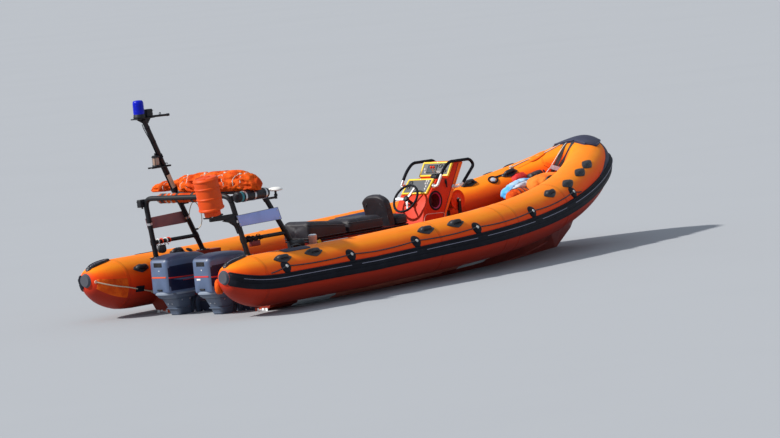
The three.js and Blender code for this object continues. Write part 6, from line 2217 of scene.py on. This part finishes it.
pod = {'lids': (1.52, 1.92, 2.32), 'rails': ((1.36, 1.74), (1.92, 2.35)),
       # height, x range, half width and corner radius
       'outline': [(0.1203, 1.330, 2.760, 0.170, 0.06), (0.530, 1.190, 2.790, 0.190, 0.07),
                   (0.590, 1.180, 2.790, 0.205, 0.07)],
       'lip': [(0.570, 1.172, 2.796, 0.209), (0.574, 1.170, 2.798, 0.2115), (0.585, 1.170, 2.798, 0.2115),
               (0.589, 1.172, 2.796, 0.209)]}


def makePod():
    rows = []
    for z, x0, x1, half, radius in smoothLine([vec(*row) for row in pod['outline']], 5):
        rows.append(planRing(z, x0, x1, half, radius, 8))
    lip = [planRing(*row, 0.07, 8) for row in pod['lip']]
    add('pod_shell', loft(rows), podSurface, replaces=['seat_pod'])
    add('pod_lip', loft(lip), rubberSurface)
    lids, catches = [], []
    for x in pod['lids']:
        for side in (-1, 1):
            y = side * 0.1795
            lids.append(moved(rounded(boxBody(x - 0.15, x + 0.15, -0.006, 0.006, 0.27, 0.47), 0.005, 3),
                              Matrix.Translation((0, y, 0))))
            catches.append(latheAt([(0, 0), (0.014, 0), (0.013, 0.005), (0.007, 0.010), (0, 0.010)],
                                   (x, y + side * 0.005, 0.445), (0, side, 0), 16))
    add('pod_lids', merge(*lids), podSurface)
    add('pod_catches', merge(*catches), metalSurface)
    rails = []
    for side in (-1, 1):
        y = side * 0.235
        for x0, x1 in pod['rails']:
            path = bentLine([vec(x0, side * 0.20, 0.55), vec(x0, y, 0.55), vec(x1, y, 0.55),
                             vec(x1, side * 0.20, 0.55)], 0.02, 5)
            rails.append(sweep(path, 0.0095, 12))
    add('seat_rails', merge(*rails), metalSurface, sharp=60)


makePod()

rest = {'outline': [(2.503, 0.5925), (2.588, 0.5925), (2.582, 0.70), (2.558, 0.82), (2.533, 0.912), (2.520, 0.932),
                    (2.500, 0.942),
                    (2.474, 0.945), (2.452, 0.940), (2.436, 0.924), (2.433, 0.905), (2.452, 0.82), (2.480, 0.70)]}


def makeBackrest():
    rings = []
    middle = vec(2.505, 0, 0.78)
    for share in np.linspace(-1, 1, 25):
        y = 0.168 * share
        size = 1 - 0.16 * abs(share) ** 6
        lower = 0.060 * abs(share) ** 3
        ring = []
        for x, z in smoothLine([vec(*p) for p in rest['outline']] + [vec(*rest['outline'][0])], 3)[:-1]:
            px = middle[0] + (x - middle[0]) * size
            pz = z - lower * clip01((z - 0.70) / 0.24)
            ring.append(vec(px, y, max(pz, 0.5925)))
        rings.append(ring)
    piece = add('backrest_pad', loft(rings), seatSurface, replaces=['backrest'], sharp=60)
    seam = []
    for aft in (-0.010, 0.010):
        line = [(2.50 + aft, 0.163 * math.cos(a), 0.66 + 0.255 * math.sin(a))
                for a in np.linspace(0.05, math.pi - 0.05, 30)]
        seam.append(sweep(smoothLine(lineOn(piece, line, 0.001), 2), 0.0035, 8))
    add('backrest_piping', merge(*seam), pipingSurface, sharp=60)


makeBackrest()

# Bow: fender pad, its straps, and the gear stowed under it

pad = {'low': (60, 48), 'high': (90, 122), 'thick': 0.026, 'start': 5.885}


def makeBowPad():
    ts = list(np.linspace(bowT(pad['start']), bowTip, 34))
    rings, edges = [], ([], [])
    for i, t in enumerate(ts):
        centre, _, out, up, radius = collarFrame(t)
        ends = clip01((i + 1) / 3)
        near = clip01((centre[0] - pad['start']) / (collar['bowEnd'] - pad['start']))
        low = pad['low'][0] + (pad['low'][1] - pad['low'][0]) * near
        high = pad['high'][0] + (pad['high'][1] - pad['high'][0]) * near ** 0.8
        for path, degrees in zip(edges, (low + 2.5, high - 2.5)):
            a = math.radians(degrees)
            p = centre + (out * math.cos(a) + up * math.sin(a)) * (radius + pad['thick'] * 0.93)
            path.append(vec(p[0], max(p[1], 0.0), p[2]))
        ring = []
        for k in range(31):
            share = k / 30
            edge = min(share, 1 - share)
            rise = pad['thick'] * (0.35 + 0.65 * ends) * min(1, 0.25 + edge * 16) - 0.002 * (1 - clip01(edge * 8))
            a = math.radians(low + (high - low) * (0.5 + (share - 0.5) * (0.86 + 0.14 * ends)))
            ring.append(centre + (out * math.cos(a) + up * math.sin(a)) * (radius + max(rise, 0.002)))
        for k in range(15, -1, -1):
            a = math.radians(low + (high - low) * k / 15)
            ring.append(centre + (out * math.cos(a) + up * math.sin(a)) * (radius - 0.002))
        rings.append(np.array(ring))
    piece = add('fender_pad', bowBody(rings), padSurface, replaces=['bow_pad'], sharp=35)
    band = merge(*[sweep(path, 0.006, 8) for path in edges])
    add('fender_piping', merge(band, mirrorY(band)), padEdgeSurface, sharp=60)


makeBowPad()

# Line on the port tube through spots of (x, degrees), off its skin
def onTube(spots, off, steps=5):
    path, ups = [], []
    for x, degrees in smoothLine([vec(*spot) for spot in spots], steps):
        point, normal, _ = onCollar(min(x, 6.045), degrees, off)
        path.append(point)
        ups.append(normal)
    return path, np.array(ups)


bowKit = {
    # spots of (x, degrees) on the port tube
    'straps': [[(6.0, 84), (5.976, 104), (5.853, 141), (5.708, 166), (5.66, 176)],
               [(6.04, 90), (6.03, 120), (5.925, 147), (5.779, 167.5), (5.73, 178)]],
    'ropes': [[(5.316, 109), (5.43, 106), (5.545, 104.5), (5.745, 107.5), (5.90, 101), (6.02, 90)],
              [(5.585, 169), (5.73, 152), (5.875, 130), (5.96, 112), (6.035, 96)]],
    'strapEnd': [(5.66, 142), (5.70, 156), (5.78, 172), (5.82, 184)],
    'flap': (5.66, 106, 0.13, 0.060), 'valve': (5.023, 127, 0.052),
    'seam': [(5.375, 120), (5.56, 117), (5.668, 115), (5.648, 138)],
    'guard': [(5.45, 14, 6), (5.60, 17, 7), (5.70, 22, 8), (5.83, 27, 9), (5.95, 36, 10), (6.0, 46, 12),
              (6.035, 56, 14), (6.05, 60, 16)],
}


def makeBowKit():
    webs = []
    for spots in bowKit['straps']:
        path, ups = onTube(spots, 0.003)
        webs.append(sweep(path, [(-0.021, -0.0025), (-0.021, 0.0025), (0.021, 0.0025), (0.021, -0.0025)], up=ups))
    path, ups = onTube([(5.90, 79), (5.955, 90), (6.0, 100)], 0.013, 8)
    webs.append(sweep(path, [(-0.045, -0.012), (-0.030, 0.012), (0.030, 0.012), (0.045, -0.012)], up=ups,
                      scale=[0.7 + 0.3 * math.sin(math.pi * k / (len(path) - 1)) for k in range(len(path))]))
    add('bow_webbing', merge(*webs), webbingSurface, sharp=60)
    lines = []
    for spots in bowKit['ropes']:
        path, _ = onTube(spots, 0.006, 8)
        lines.append(sweep(path, 0.0065, 8))
    for spot in (bowKit['ropes'][0][0], bowKit['ropes'][1][0]):
        point, normal, along = onCollar(*spot, 0.010)
        lines += [ringBody(point + along * 0.012 * k, along + normal * 0.3 * k, 0.013, 0.0055, 16, 6)
                  for k in (-1, 0, 1)]
    add('bow_lines', merge(*lines), whiteRopeSurface, sharp=60)
    path, ups = onTube(bowKit['strapEnd'], 0.007, 6)
    band = [(-0.026, -0.004), (-0.026, 0.004), (0.026, 0.004), (0.026, -0.004)]
    third = len(path) // 3
    add('bow_tab', sweep(path[:third + 1], band, up=ups[:third + 1]), tapeSurface)
    add('bow_tab_middle', sweep(path[third:2 * third + 1], band, up=ups[third:2 * third + 1]), paleClothSurface)
    add('bow_tab_end', sweep(path[2 * third:], band, up=ups[2 * third:]), webbingSurface)
    x, degrees, halfU, halfV = bowKit['flap']
    flap = skinMoulding(x, degrees, [(u, v - 0.25 * u) for u, v in oval(halfU, halfV, 2.6)],
                        [(1, 0.001), (1, 0.006), (0.94, 0.010), (0.6, 0.016), (0.2, 0.012)])
    add('bow_flap', flap, tapeSurface, sharp=60)
    path, ups = onTube(bowKit['seam'], 0.001, 6)
    add('bow_seam', sweep(path, [(-0.010, -0.001), (-0.008, 0.0015), (0.008, 0.0015), (0.010, -0.001)], up=ups),
        tapeSurface)
    x, degrees, radius = bowKit['valve']
    spot, normal, _ = onSkin(x, degrees)
    bodies = [ringBody(spot + normal * 0.005, normal, radius, 0.010, 30, 8, 0.7),
              sweep([onSkin(x, degrees, u, -0.02, h)[0]
                     for u, h in ((0.04, 0.010), (0.08, 0.007), (0.12, 0.005), (0.16, 0.003))],
                    [(-0.012, -0.002), (-0.012, 0.002), (0.012, 0.002), (0.012, -0.002)], up=normal)]
    add('bow_valve', merge(*bodies), rubberSurface)
    disc = latheAt([(0, -0.002), (radius * 0.62, -0.002), (radius * 0.56, 0.010), (radius * 0.3, 0.014), (0, 0.014)],
                   spot, normal, 24)
    add('bow_valve_disc', disc, paleClothSurface)
    outer, inner = [], []
    guard = np.array(bowKit['guard'])
    for t in np.linspace(bowT(5.45), bowTip, 30):
        centre, _, out, up, radius = collarFrame(t)
        high = float(np.interp(centre[0], guard[:, 0], guard[:, 1]))
        rowOut, rowIn = [], []
        for k in range(9):
            a = math.radians(12 + (high - 12) * k / 8)
            normal = out * math.cos(a) + up * math.sin(a)
            p, q = centre + normal * (radius + (0.0045 if k < 8 else 0.002)), centre + normal * (radius - 0.0015)
            rowOut.append(vec(p[0], max(p[1], 0), p[2]))
            rowIn.append(vec(q[0], max(q[1], 0), q[2]))
        outer.append(rowOut)
        inner.append(rowIn)
    bothSides('stem_guard', shell(outer, inner), padSurface, 60)


makeBowKit()
print('bow pad and bands made')

# Righting bag and stowed bags: lofted, creased and pinched by their lashings

# Rings pushed in and out about their own middles; creases run mostly across the loft
def creased(rings, depth, scale=7.0, stretch=(1.0, 1.0, 1.0), seed=0.0, hold=None):
    made = []
    for ring in rings:
        ring = np.asarray(ring, float)
        middle = ring.mean(axis=0)
        row = []
        for p in ring:
            q = Vector((p[0] * stretch[0], p[1] * stretch[1], p[2] * stretch[2])) * scale
            q = q + Vector((seed, seed * 1.7, -seed))
            fold = (abs(mnoise.noise(q)) * 2 - 0.7 + 0.5 * (abs(mnoise.noise(q * 2.3)) * 2 - 0.5)
                    + 0.25 * mnoise.noise(q * 5.1))
            away = unit(p - middle) if np.linalg.norm(p - middle) > 1e-6 else vec(0, 0, 0)
            keep = 1.0 if hold is None else hold(p)
            row.append(p - away * depth * max(fold, -0.5) * keep)
        made.append(np.array(row))
    return made


bag = {'low': 1.2855, 'half': 0.155, 'lashings': [-0.62, -0.40, -0.12, 0.16, 0.74],
       'rings': [(-0.816, 0.030, 0.16, -0.150), (-0.795, 0.085, 0.42, -0.160), (-0.720, 0.150, 0.72, -0.170),
                 (-0.560, 0.200, 0.95, -0.175),
                 (-0.480, 0.205, 1.0, -0.175), (0.0, 0.195, 1.0, -0.175), (0.180, 0.180, 0.98, -0.155),
                 (0.340, 0.165, 0.86, -0.080),
                 (0.430, 0.145, 0.74, 0.030), (0.520, 0.120, 0.60, 0.140), (0.610, 0.110, 0.60, 0.135),
                 (0.800, 0.100, 0.62, 0.075),
                 (0.925, 0.070, 0.42, 0.030), (0.960, 0.030, 0.16, 0.025)]}


def bagRow(y):
    ys = [row[0] for row in bag['rings']]
    return [float(np.interp(y, ys, [row[i] for row in bag['rings']])) for i in (1, 2, 3)]


def bagPoint(y, turn, grow=0.0):
    height, share, middle = bagRow(y)
    half = bag['half'] * share
    c, s = math.cos(turn), math.sin(turn)
    flat = math.copysign(abs(s) ** 0.8, s)
    return vec(middle + (half + grow) * math.copysign(abs(c) ** 0.85, c), y,
               bag['low'] + height / 2 + (height / 2 + grow) * flat)


def makeRightingBag():
    rings = []
    for y in np.concatenate([np.linspace(-0.816, -0.74, 8), np.linspace(-0.72, 0.93, 110), [0.945, 0.96]]):
        pinch = sum(math.exp(-((y - at) / 0.022) ** 2) for at in bag['lashings'])
        ring = [bagPoint(y, 2 * math.pi * k / 56, -0.016 * pinch) for k in range(56)]
        rings.append(ring)
    rings = creased(rings, 0.042, 9.0, (1.5, 0.9, 1.7), 3.1, lambda p: clip01((p[2] - bag['low']) / 0.03) if p[2] < 1.32
                    else 1.0)
    flat = [np.column_stack([r[:, 0], r[:, 1], np.maximum(r[:, 2], bag['low'] + 0.002)]) for r in rings]
    piece = add('righting_bag_cloth', loft(flat), bagSurface, replaces=['righting_bag'], sharp=75)
    cords = []
    for at in bag['lashings']:
        for lean in (-0.045, 0.045):
            path = []
            for k in range(41):
                a = math.pi * (-0.12 + 1.24 * k / 40)
                path.append(bagPoint(at + lean * math.cos(a), a, -0.006))
            cords.append(sweep(lineOn(piece, path, 0.0025), 0.0045, 7))
    add('bag_lashings', merge(*cords), whiteRopeSurface, sharp=60)
    knots = []
    for at in bag['lashings']:
        spot = lineOn(piece, [bagPoint(at, math.pi * 0.62)], 0.006)[0]
        for k in range(3):
            knots.append(ringBody(spot + vec(0.004 * k, 0.010 * (k - 1), 0.001 * k), (0.4 + 0.3 * k, 1 - 0.5 * k, 0.5),
                                  0.012, 0.0045, 14, 6))
    add('bag_knots', merge(*knots), whiteRopeSurface, sharp=60)


makeRightingBag()


# Soft sack along a line: half width and half height, drawn in at its ends
def sack(path, wide, tall, seed, depth=0.010, power=3.0, squeeze=()):
    line = smoothLine([vec(*p) for p in path], 10)
    points, ways, _ = frameAlong(line)
    rings = []
    for i, (p, way) in enumerate(zip(points, ways)):
        share = i / (len(points) - 1)
        size = max((1 - abs(2 * share - 1) ** power) ** (1 / power), 0.06)
        size *= 1 - sum(0.28 * math.exp(-((share - at) / 0.03) ** 2) for at in squeeze)
        side = unit(np.cross(way, vec(0, 0, 1)))
        lift = np.cross(side, way)
        turn = [2 * math.pi * k / 40 for k in range(40)]
        rings.append([p + side * wide * size * math.copysign(abs(math.cos(a)) ** 0.85, math.cos(a))
                      + lift * tall * size * math.copysign(abs(math.sin(a)) ** 0.85, math.sin(a)) for a in turn])
    return loft(creased(rings, depth, 12.0, (1, 1.3, 1), seed))


# Each bag: its line, half width, half height, crease seed and depth, fullness of its ends, where it is drawn in
bowGear = {
    'mound': ([(4.96, -0.05, 0.690), (5.14, -0.05, 0.740), (5.34, -0.05, 0.770), (5.56, -0.05, 0.765)],
              0.16, 0.095, 8.0, 0.010),
    'red': ([(5.11, 0.30, 0.770), (5.24, 0.30, 0.790), (5.38, 0.30, 0.805)], 0.085, 0.092, 2.0, 0.012),
    'roll': ([(5.27, 0.17, 0.805), (5.40, 0.17, 0.828), (5.53, 0.17, 0.850)], 0.056, 0.056, 6.0, 0.003, 9.0,
             (0.25, 0.75)),
    'small': ([(4.53, -0.15, 0.640), (4.68, -0.15, 0.665), (4.84, -0.15, 0.672)], 0.095, 0.088, 5.0, 0.012, 3.0,
              (0.3, 0.55, 0.8)),
    'sheet': [(4.70, 0.05, 0.640), (4.80, 0.06, 0.715), (4.94, 0.07, 0.750), (5.06, 0.09, 0.760), (5.22, 0.10, 0.750)],
    'layers': [(0.0, 0.0), (0.045, 0.020), (-0.045, 0.016), (0.0, 0.040)],  # each fold's own place across and up
    'ties': (0.3, 0.55, 0.8), 'tie': 0.0055,
}


def makeBowGear():
    piece = add('bow_bag_orange', sack(*bowGear['mound']), coverClothSurface, replaces=['bow_bag'],
                sharp=75)
    red = sack(*bowGear['red'])
    add('bow_bag_red', red, redClothSurface, sharp=75)
    roll = sack(*bowGear['roll'])
    add('bow_roll', roll, seatSurface, sharp=75)
    folds = []
    for k, (dy, dz) in enumerate(bowGear['layers']):
        line = [(x, y + dy, z + dz) for x, y, z in bowGear['sheet']]
        folds.append(sack(line, 0.060, 0.030, 3.0 + k, 0.010, 5.0, (0.3, 0.6)))
    add('folded_sheet', merge(folds[0], folds[1], folds[3]), cyanClothSurface, sharp=75)
    add('folded_sheet_lining', folds[2], paleClothSurface, sharp=75)
    piece = add('bow_bag_small', sack(*bowGear['small']), bagSurface, sharp=75)
    ties = []
    for share in bowGear['ties']:
        x = 4.53 + 0.31 * share
        ring = [(x + 0.02 * math.sin(a), -0.15 + 0.12 * math.cos(a), 0.66 + 0.11 * math.sin(a))
                for a in np.linspace(0, 2 * math.pi, 33)]
        ties.append(sweep(lineOn(piece, ring, 0.003), bowGear['tie'], 8))
    add('bow_bag_ties', merge(*ties), webbingSurface, sharp=60)


makeBowGear()
print('bags made')

# Small things clipped or lashed to the frame and the tubes

clutter = {
    # centre and half sizes
    'boxes': [((0.150, 0.655, 1.205), (0.050, 0.042, 0.070)), ((-0.455, 0.675, 1.212), (0.050, 0.030, 0.042))],
    'ring': {'centre': (0.330, 0.672, 0.990), 'half': (0.095, 0.150), 'wire': 0.0048},
    # height on the mast, then how far off it aft and out
    'cable': [(2.08, 0.038, 0.01), (2.02, 0.046, 0.004), (1.90, 0.035, 0.0), (1.75, 0.033, 0.0), (1.60, 0.035, 0.008),
              (1.40, 0.033, 0.006), (1.29, 0.034, 0.0)],
    'shackles': {'x': (-0.27, -0.215, -0.15, -0.105), 'y': 0.677, 'z': 0.778},
    'pouch': [(-0.27, 0.682, 0.695), (-0.215, 0.682, 0.690), (-0.16, 0.682, 0.695)],
    'hank': {'lines': 5, 'start': -0.325, 'length': 0.26, 'rope': 0.0075, 'bands': (-0.27, -0.12)},
    'roller': (0.30, -0.735, 0.640), 'cup': (0.735, -0.665, 0.599), 'key': (0.815, -0.680, 0.612),
    'pads': {'x': (2.80, 3.34), 'angles': (110, 138), 'thick': 0.010},
}


def makeClutter():
    boxes, knobs = [], []
    for (x, y, z), (a, b, c) in clutter['boxes']:
        boxes.append(rounded(boxBody(x - a, x + a, y - b, y + b, z - c, z + c), 0.008, 3))
        boxes.append(rounded(boxBody(x - a - 0.003, x + a + 0.003, y - b - 0.003, y + b + 0.003, z + c * 0.35,
                                     z + c * 0.5), 0.002, 1))
        knobs.append(latheAt([(0, 0), (0.010, 0), (0.010, 0.012), (0.006, 0.018), (0, 0.018)], (x, y, z - c - 0.017),
                             (0, 0, 1), 14))
    add('bar_boxes', merge(*boxes, *knobs), darkPlasticSurface)
    ring = clutter['ring']
    cx, cy, cz = ring['centre']
    loop = [vec(cx + ring['half'][0] * math.cos(a), cy + 0.012 * math.sin(2 * a), cz + ring['half'][1] * math.sin(a))
            for a in np.linspace(0, 2 * math.pi, 49)]
    clips = [bandOn(vec(cx + 0.002, cy - 0.004, cz + side * ring['half'][1]), (1, 0, 0), 0.006, 0.030, 0.004)
             for side in (-1, 1)]
    add('wire_ring', sweep(loop, ring['wire'], 10), beigeSurface, sharp=60)
    add('wire_ring_clips', merge(*clips), darkPlasticSurface)
    cable = smoothLine([mastAt(*spot) for spot in clutter['cable']], 6)
    add('mast_cable', sweep(cable, 0.0045, 8), rubberSurface, sharp=60)
    shackles, reds = [], []
    for k, x in enumerate(clutter['shackles']['x']):
        spot = vec(x, clutter['shackles']['y'], clutter['shackles']['z'])
        (reds if k % 2 else shackles).append(ringBody(spot, (1, 0.2 * (k - 1), 0.1 * k), 0.026, 0.0065, 22, 8))
        shackles.append(rodBody(spot + vec(-0.012, 0.020, -0.020), spot + vec(0.016, 0.024, -0.052), 0.006, sides=10))
    add('bar_shackles', merge(*shackles), whitePlasticSurface)
    add('bar_shackles_red', merge(*reds), redPlasticSurface)
    pouch = sack(clutter['pouch'], 0.024, 0.045, 7.0, 0.004, 4.0)
    add('bar_pouch', pouch, webbingSurface, sharp=75)
    hank, strands = clutter['hank'], []
    for k in range(hank['lines']):
        line = [vec(hank['start'] + hank['length'] * u, -0.690 - 0.010 * math.sin(k + 5 * u),
                    0.775 + 0.030 * math.sin(2.2 * k + 7 * u) * (1 - u * 0.5)) for u in np.linspace(0, 1, 22)]
        strands.append(sweep(line, hank['rope'], 8))
    bands = [bandOn(vec(x, -0.688, 0.778), (1, 0, 0), 0.034, 0.014, 0.003) for x in hank['bands']]
    add('bar_hank', merge(*strands, *bands), rubberSurface, sharp=60)
    case = rounded(boxBody(-0.24, -0.10, -0.700, -0.655, 0.690, 0.748), 0.010, 3)
    add('bar_case', case, maroonSurface)
    roller = latheAt([(0, 0), (0.040, 0), (0.046, 0.008), (0.046, 0.030), (0.040, 0.038), (0.040, 0.152),
                      (0.046, 0.160),
                      (0.046, 0.190), (0.040, 0.198), (0, 0.198)], clutter['roller'], (1, 0, 0), 28)
    add('side_roller', roller, darkPlasticSurface)
    cup = latheAt([(0, 0), (0.036, 0), (0.042, 0.006), (0.045, 0.075), (0.048, 0.080), (0.048, 0.092), (0.042, 0.095),
                   (0, 0.095)],
                  clutter['cup'], (0, 0, 1), 28)
    add('side_cup', cup, consoleTrimSurface, sharp=50)
    add('side_cup_lid', latheAt([(0, 0.0955), (0.043, 0.0955), (0.043, 0.101), (0.036, 0.105), (0, 0.105)],
                                clutter['cup'],
                                (0, 0, 1), 28), paleClothSurface)
    x, y, z = clutter['key']
    key = merge(rodBody(vec(x, y, z), vec(x, y + 0.040, z), 0.018, sides=16),
                ringBody(vec(x, y - 0.004, z), (0, 1, 0), 0.020, 0.005, 20, 8))
    add('side_key', key, yellowSurface)
    ledge = rounded(boxBody(0.285, 0.845, -0.775, -0.615, 0.545, 0.600), 0.012, 3)
    add('side_ledge', ledge, maroonSurface)
    pads = clutter['pads']
    strip = collarStrip([bowT(x) for x in np.linspace(*pads['x'], 10)], list(np.linspace(*pads['angles'], 8)),
                        pads['thick'])
    bothSides('inner_pads', strip, padEdgeSurface, sharp=50)


makeClutter()


# Axis numbers and angles of the patch and the clamp, spots of (x, degrees) of the line, line of the pouch
coneKit = {'patch': ((-1.012, -0.68), (166, 214), 0.003), 'clamp': ((-0.577, -0.457), (187, 200), 0.018),
           'line': [(-1.028, 182), (-0.92, 184), (-0.809, 185.5), (-0.685, 187.5), (-0.50, 195), (-0.329, 203.6)],
           'pouch': [(-1.01, -0.878, 0.360), (-0.94, -0.846, 0.350), (-0.87, -0.810, 0.340)]}


# Patch, lashed line and clamp on the inboard face of the port cone, and a pouch on the starboard one
def makeConeKit():
    run, angles, thick = coneKit['patch']
    patch = collarStrip(list(np.linspace(*run, 12)), list(np.linspace(*angles, 14)), thick)
    add('cone_patch', patch, bagSurface, sharp=60)
    line, _ = onTube(coneKit['line'], 0.010, 8)
    hooks = [ringBody(end, (0, 1, 0.3), 0.014, 0.005, 18, 6) for end in (line[0], line[-1])]
    add('cone_line', merge(sweep(line, 0.0065, 8), *hooks), beigeSurface, sharp=60)
    run, angles, thick = coneKit['clamp']
    clamp = collarStrip(list(np.linspace(*run, 8)), list(np.linspace(*angles, 6)), thick)
    add('cone_clamp', clamp, rubberSurface, sharp=50)
    pouch = sack(coneKit['pouch'], 0.035, 0.080, 9.0, 0.008, 3.0)
    add('cone_pouch', pouch, bagSurface, sharp=75)


makeConeKit()


# Strips down the aft faces of the quarters: each one's y range
quarterStrips = {'face': (-0.2345, -0.2295), 'z': (-0.070, 0.030),
                 'orange': ((0.645, 0.672), (0.704, 0.738)), 'grey': ((0.676, 0.700), (0.746, 0.782), (0.796, 0.830))}


def makeQuarterStrips():
    for tone, surface, slot in (('orange', stripeOrangeSurface, 'red_plastic'),
                                ('grey', greyTapeSurface, 'board_face')):
        strips = [rounded(boxBody(*quarterStrips['face'], *run, *quarterStrips['z']), 0.0012, 1)
                  for run in quarterStrips[tone]]
        bothSides(f'quarter_strips_{tone}', merge(*strips), surface)


makeQuarterStrips()
print('small gear made')

# Frame nodes that keep their shape take a better surface

nodeSurfaces = {
    'hull': hullSurface, 'transom_board': padSurface, 'cone_cap_port': greySurface,
    'cone_cap_starboard': greySurface,
}
fallbackSurface = makeSurface('plainFrame', powderCoat((0.02, 0.02, 0.025), (0.08, 0.08, 0.09)))
for nodeName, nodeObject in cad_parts.items():
    nodeObject.data.materials.clear()
    nodeObject.data.materials.append(nodeSurfaces.get(nodeName, fallbackSurface))
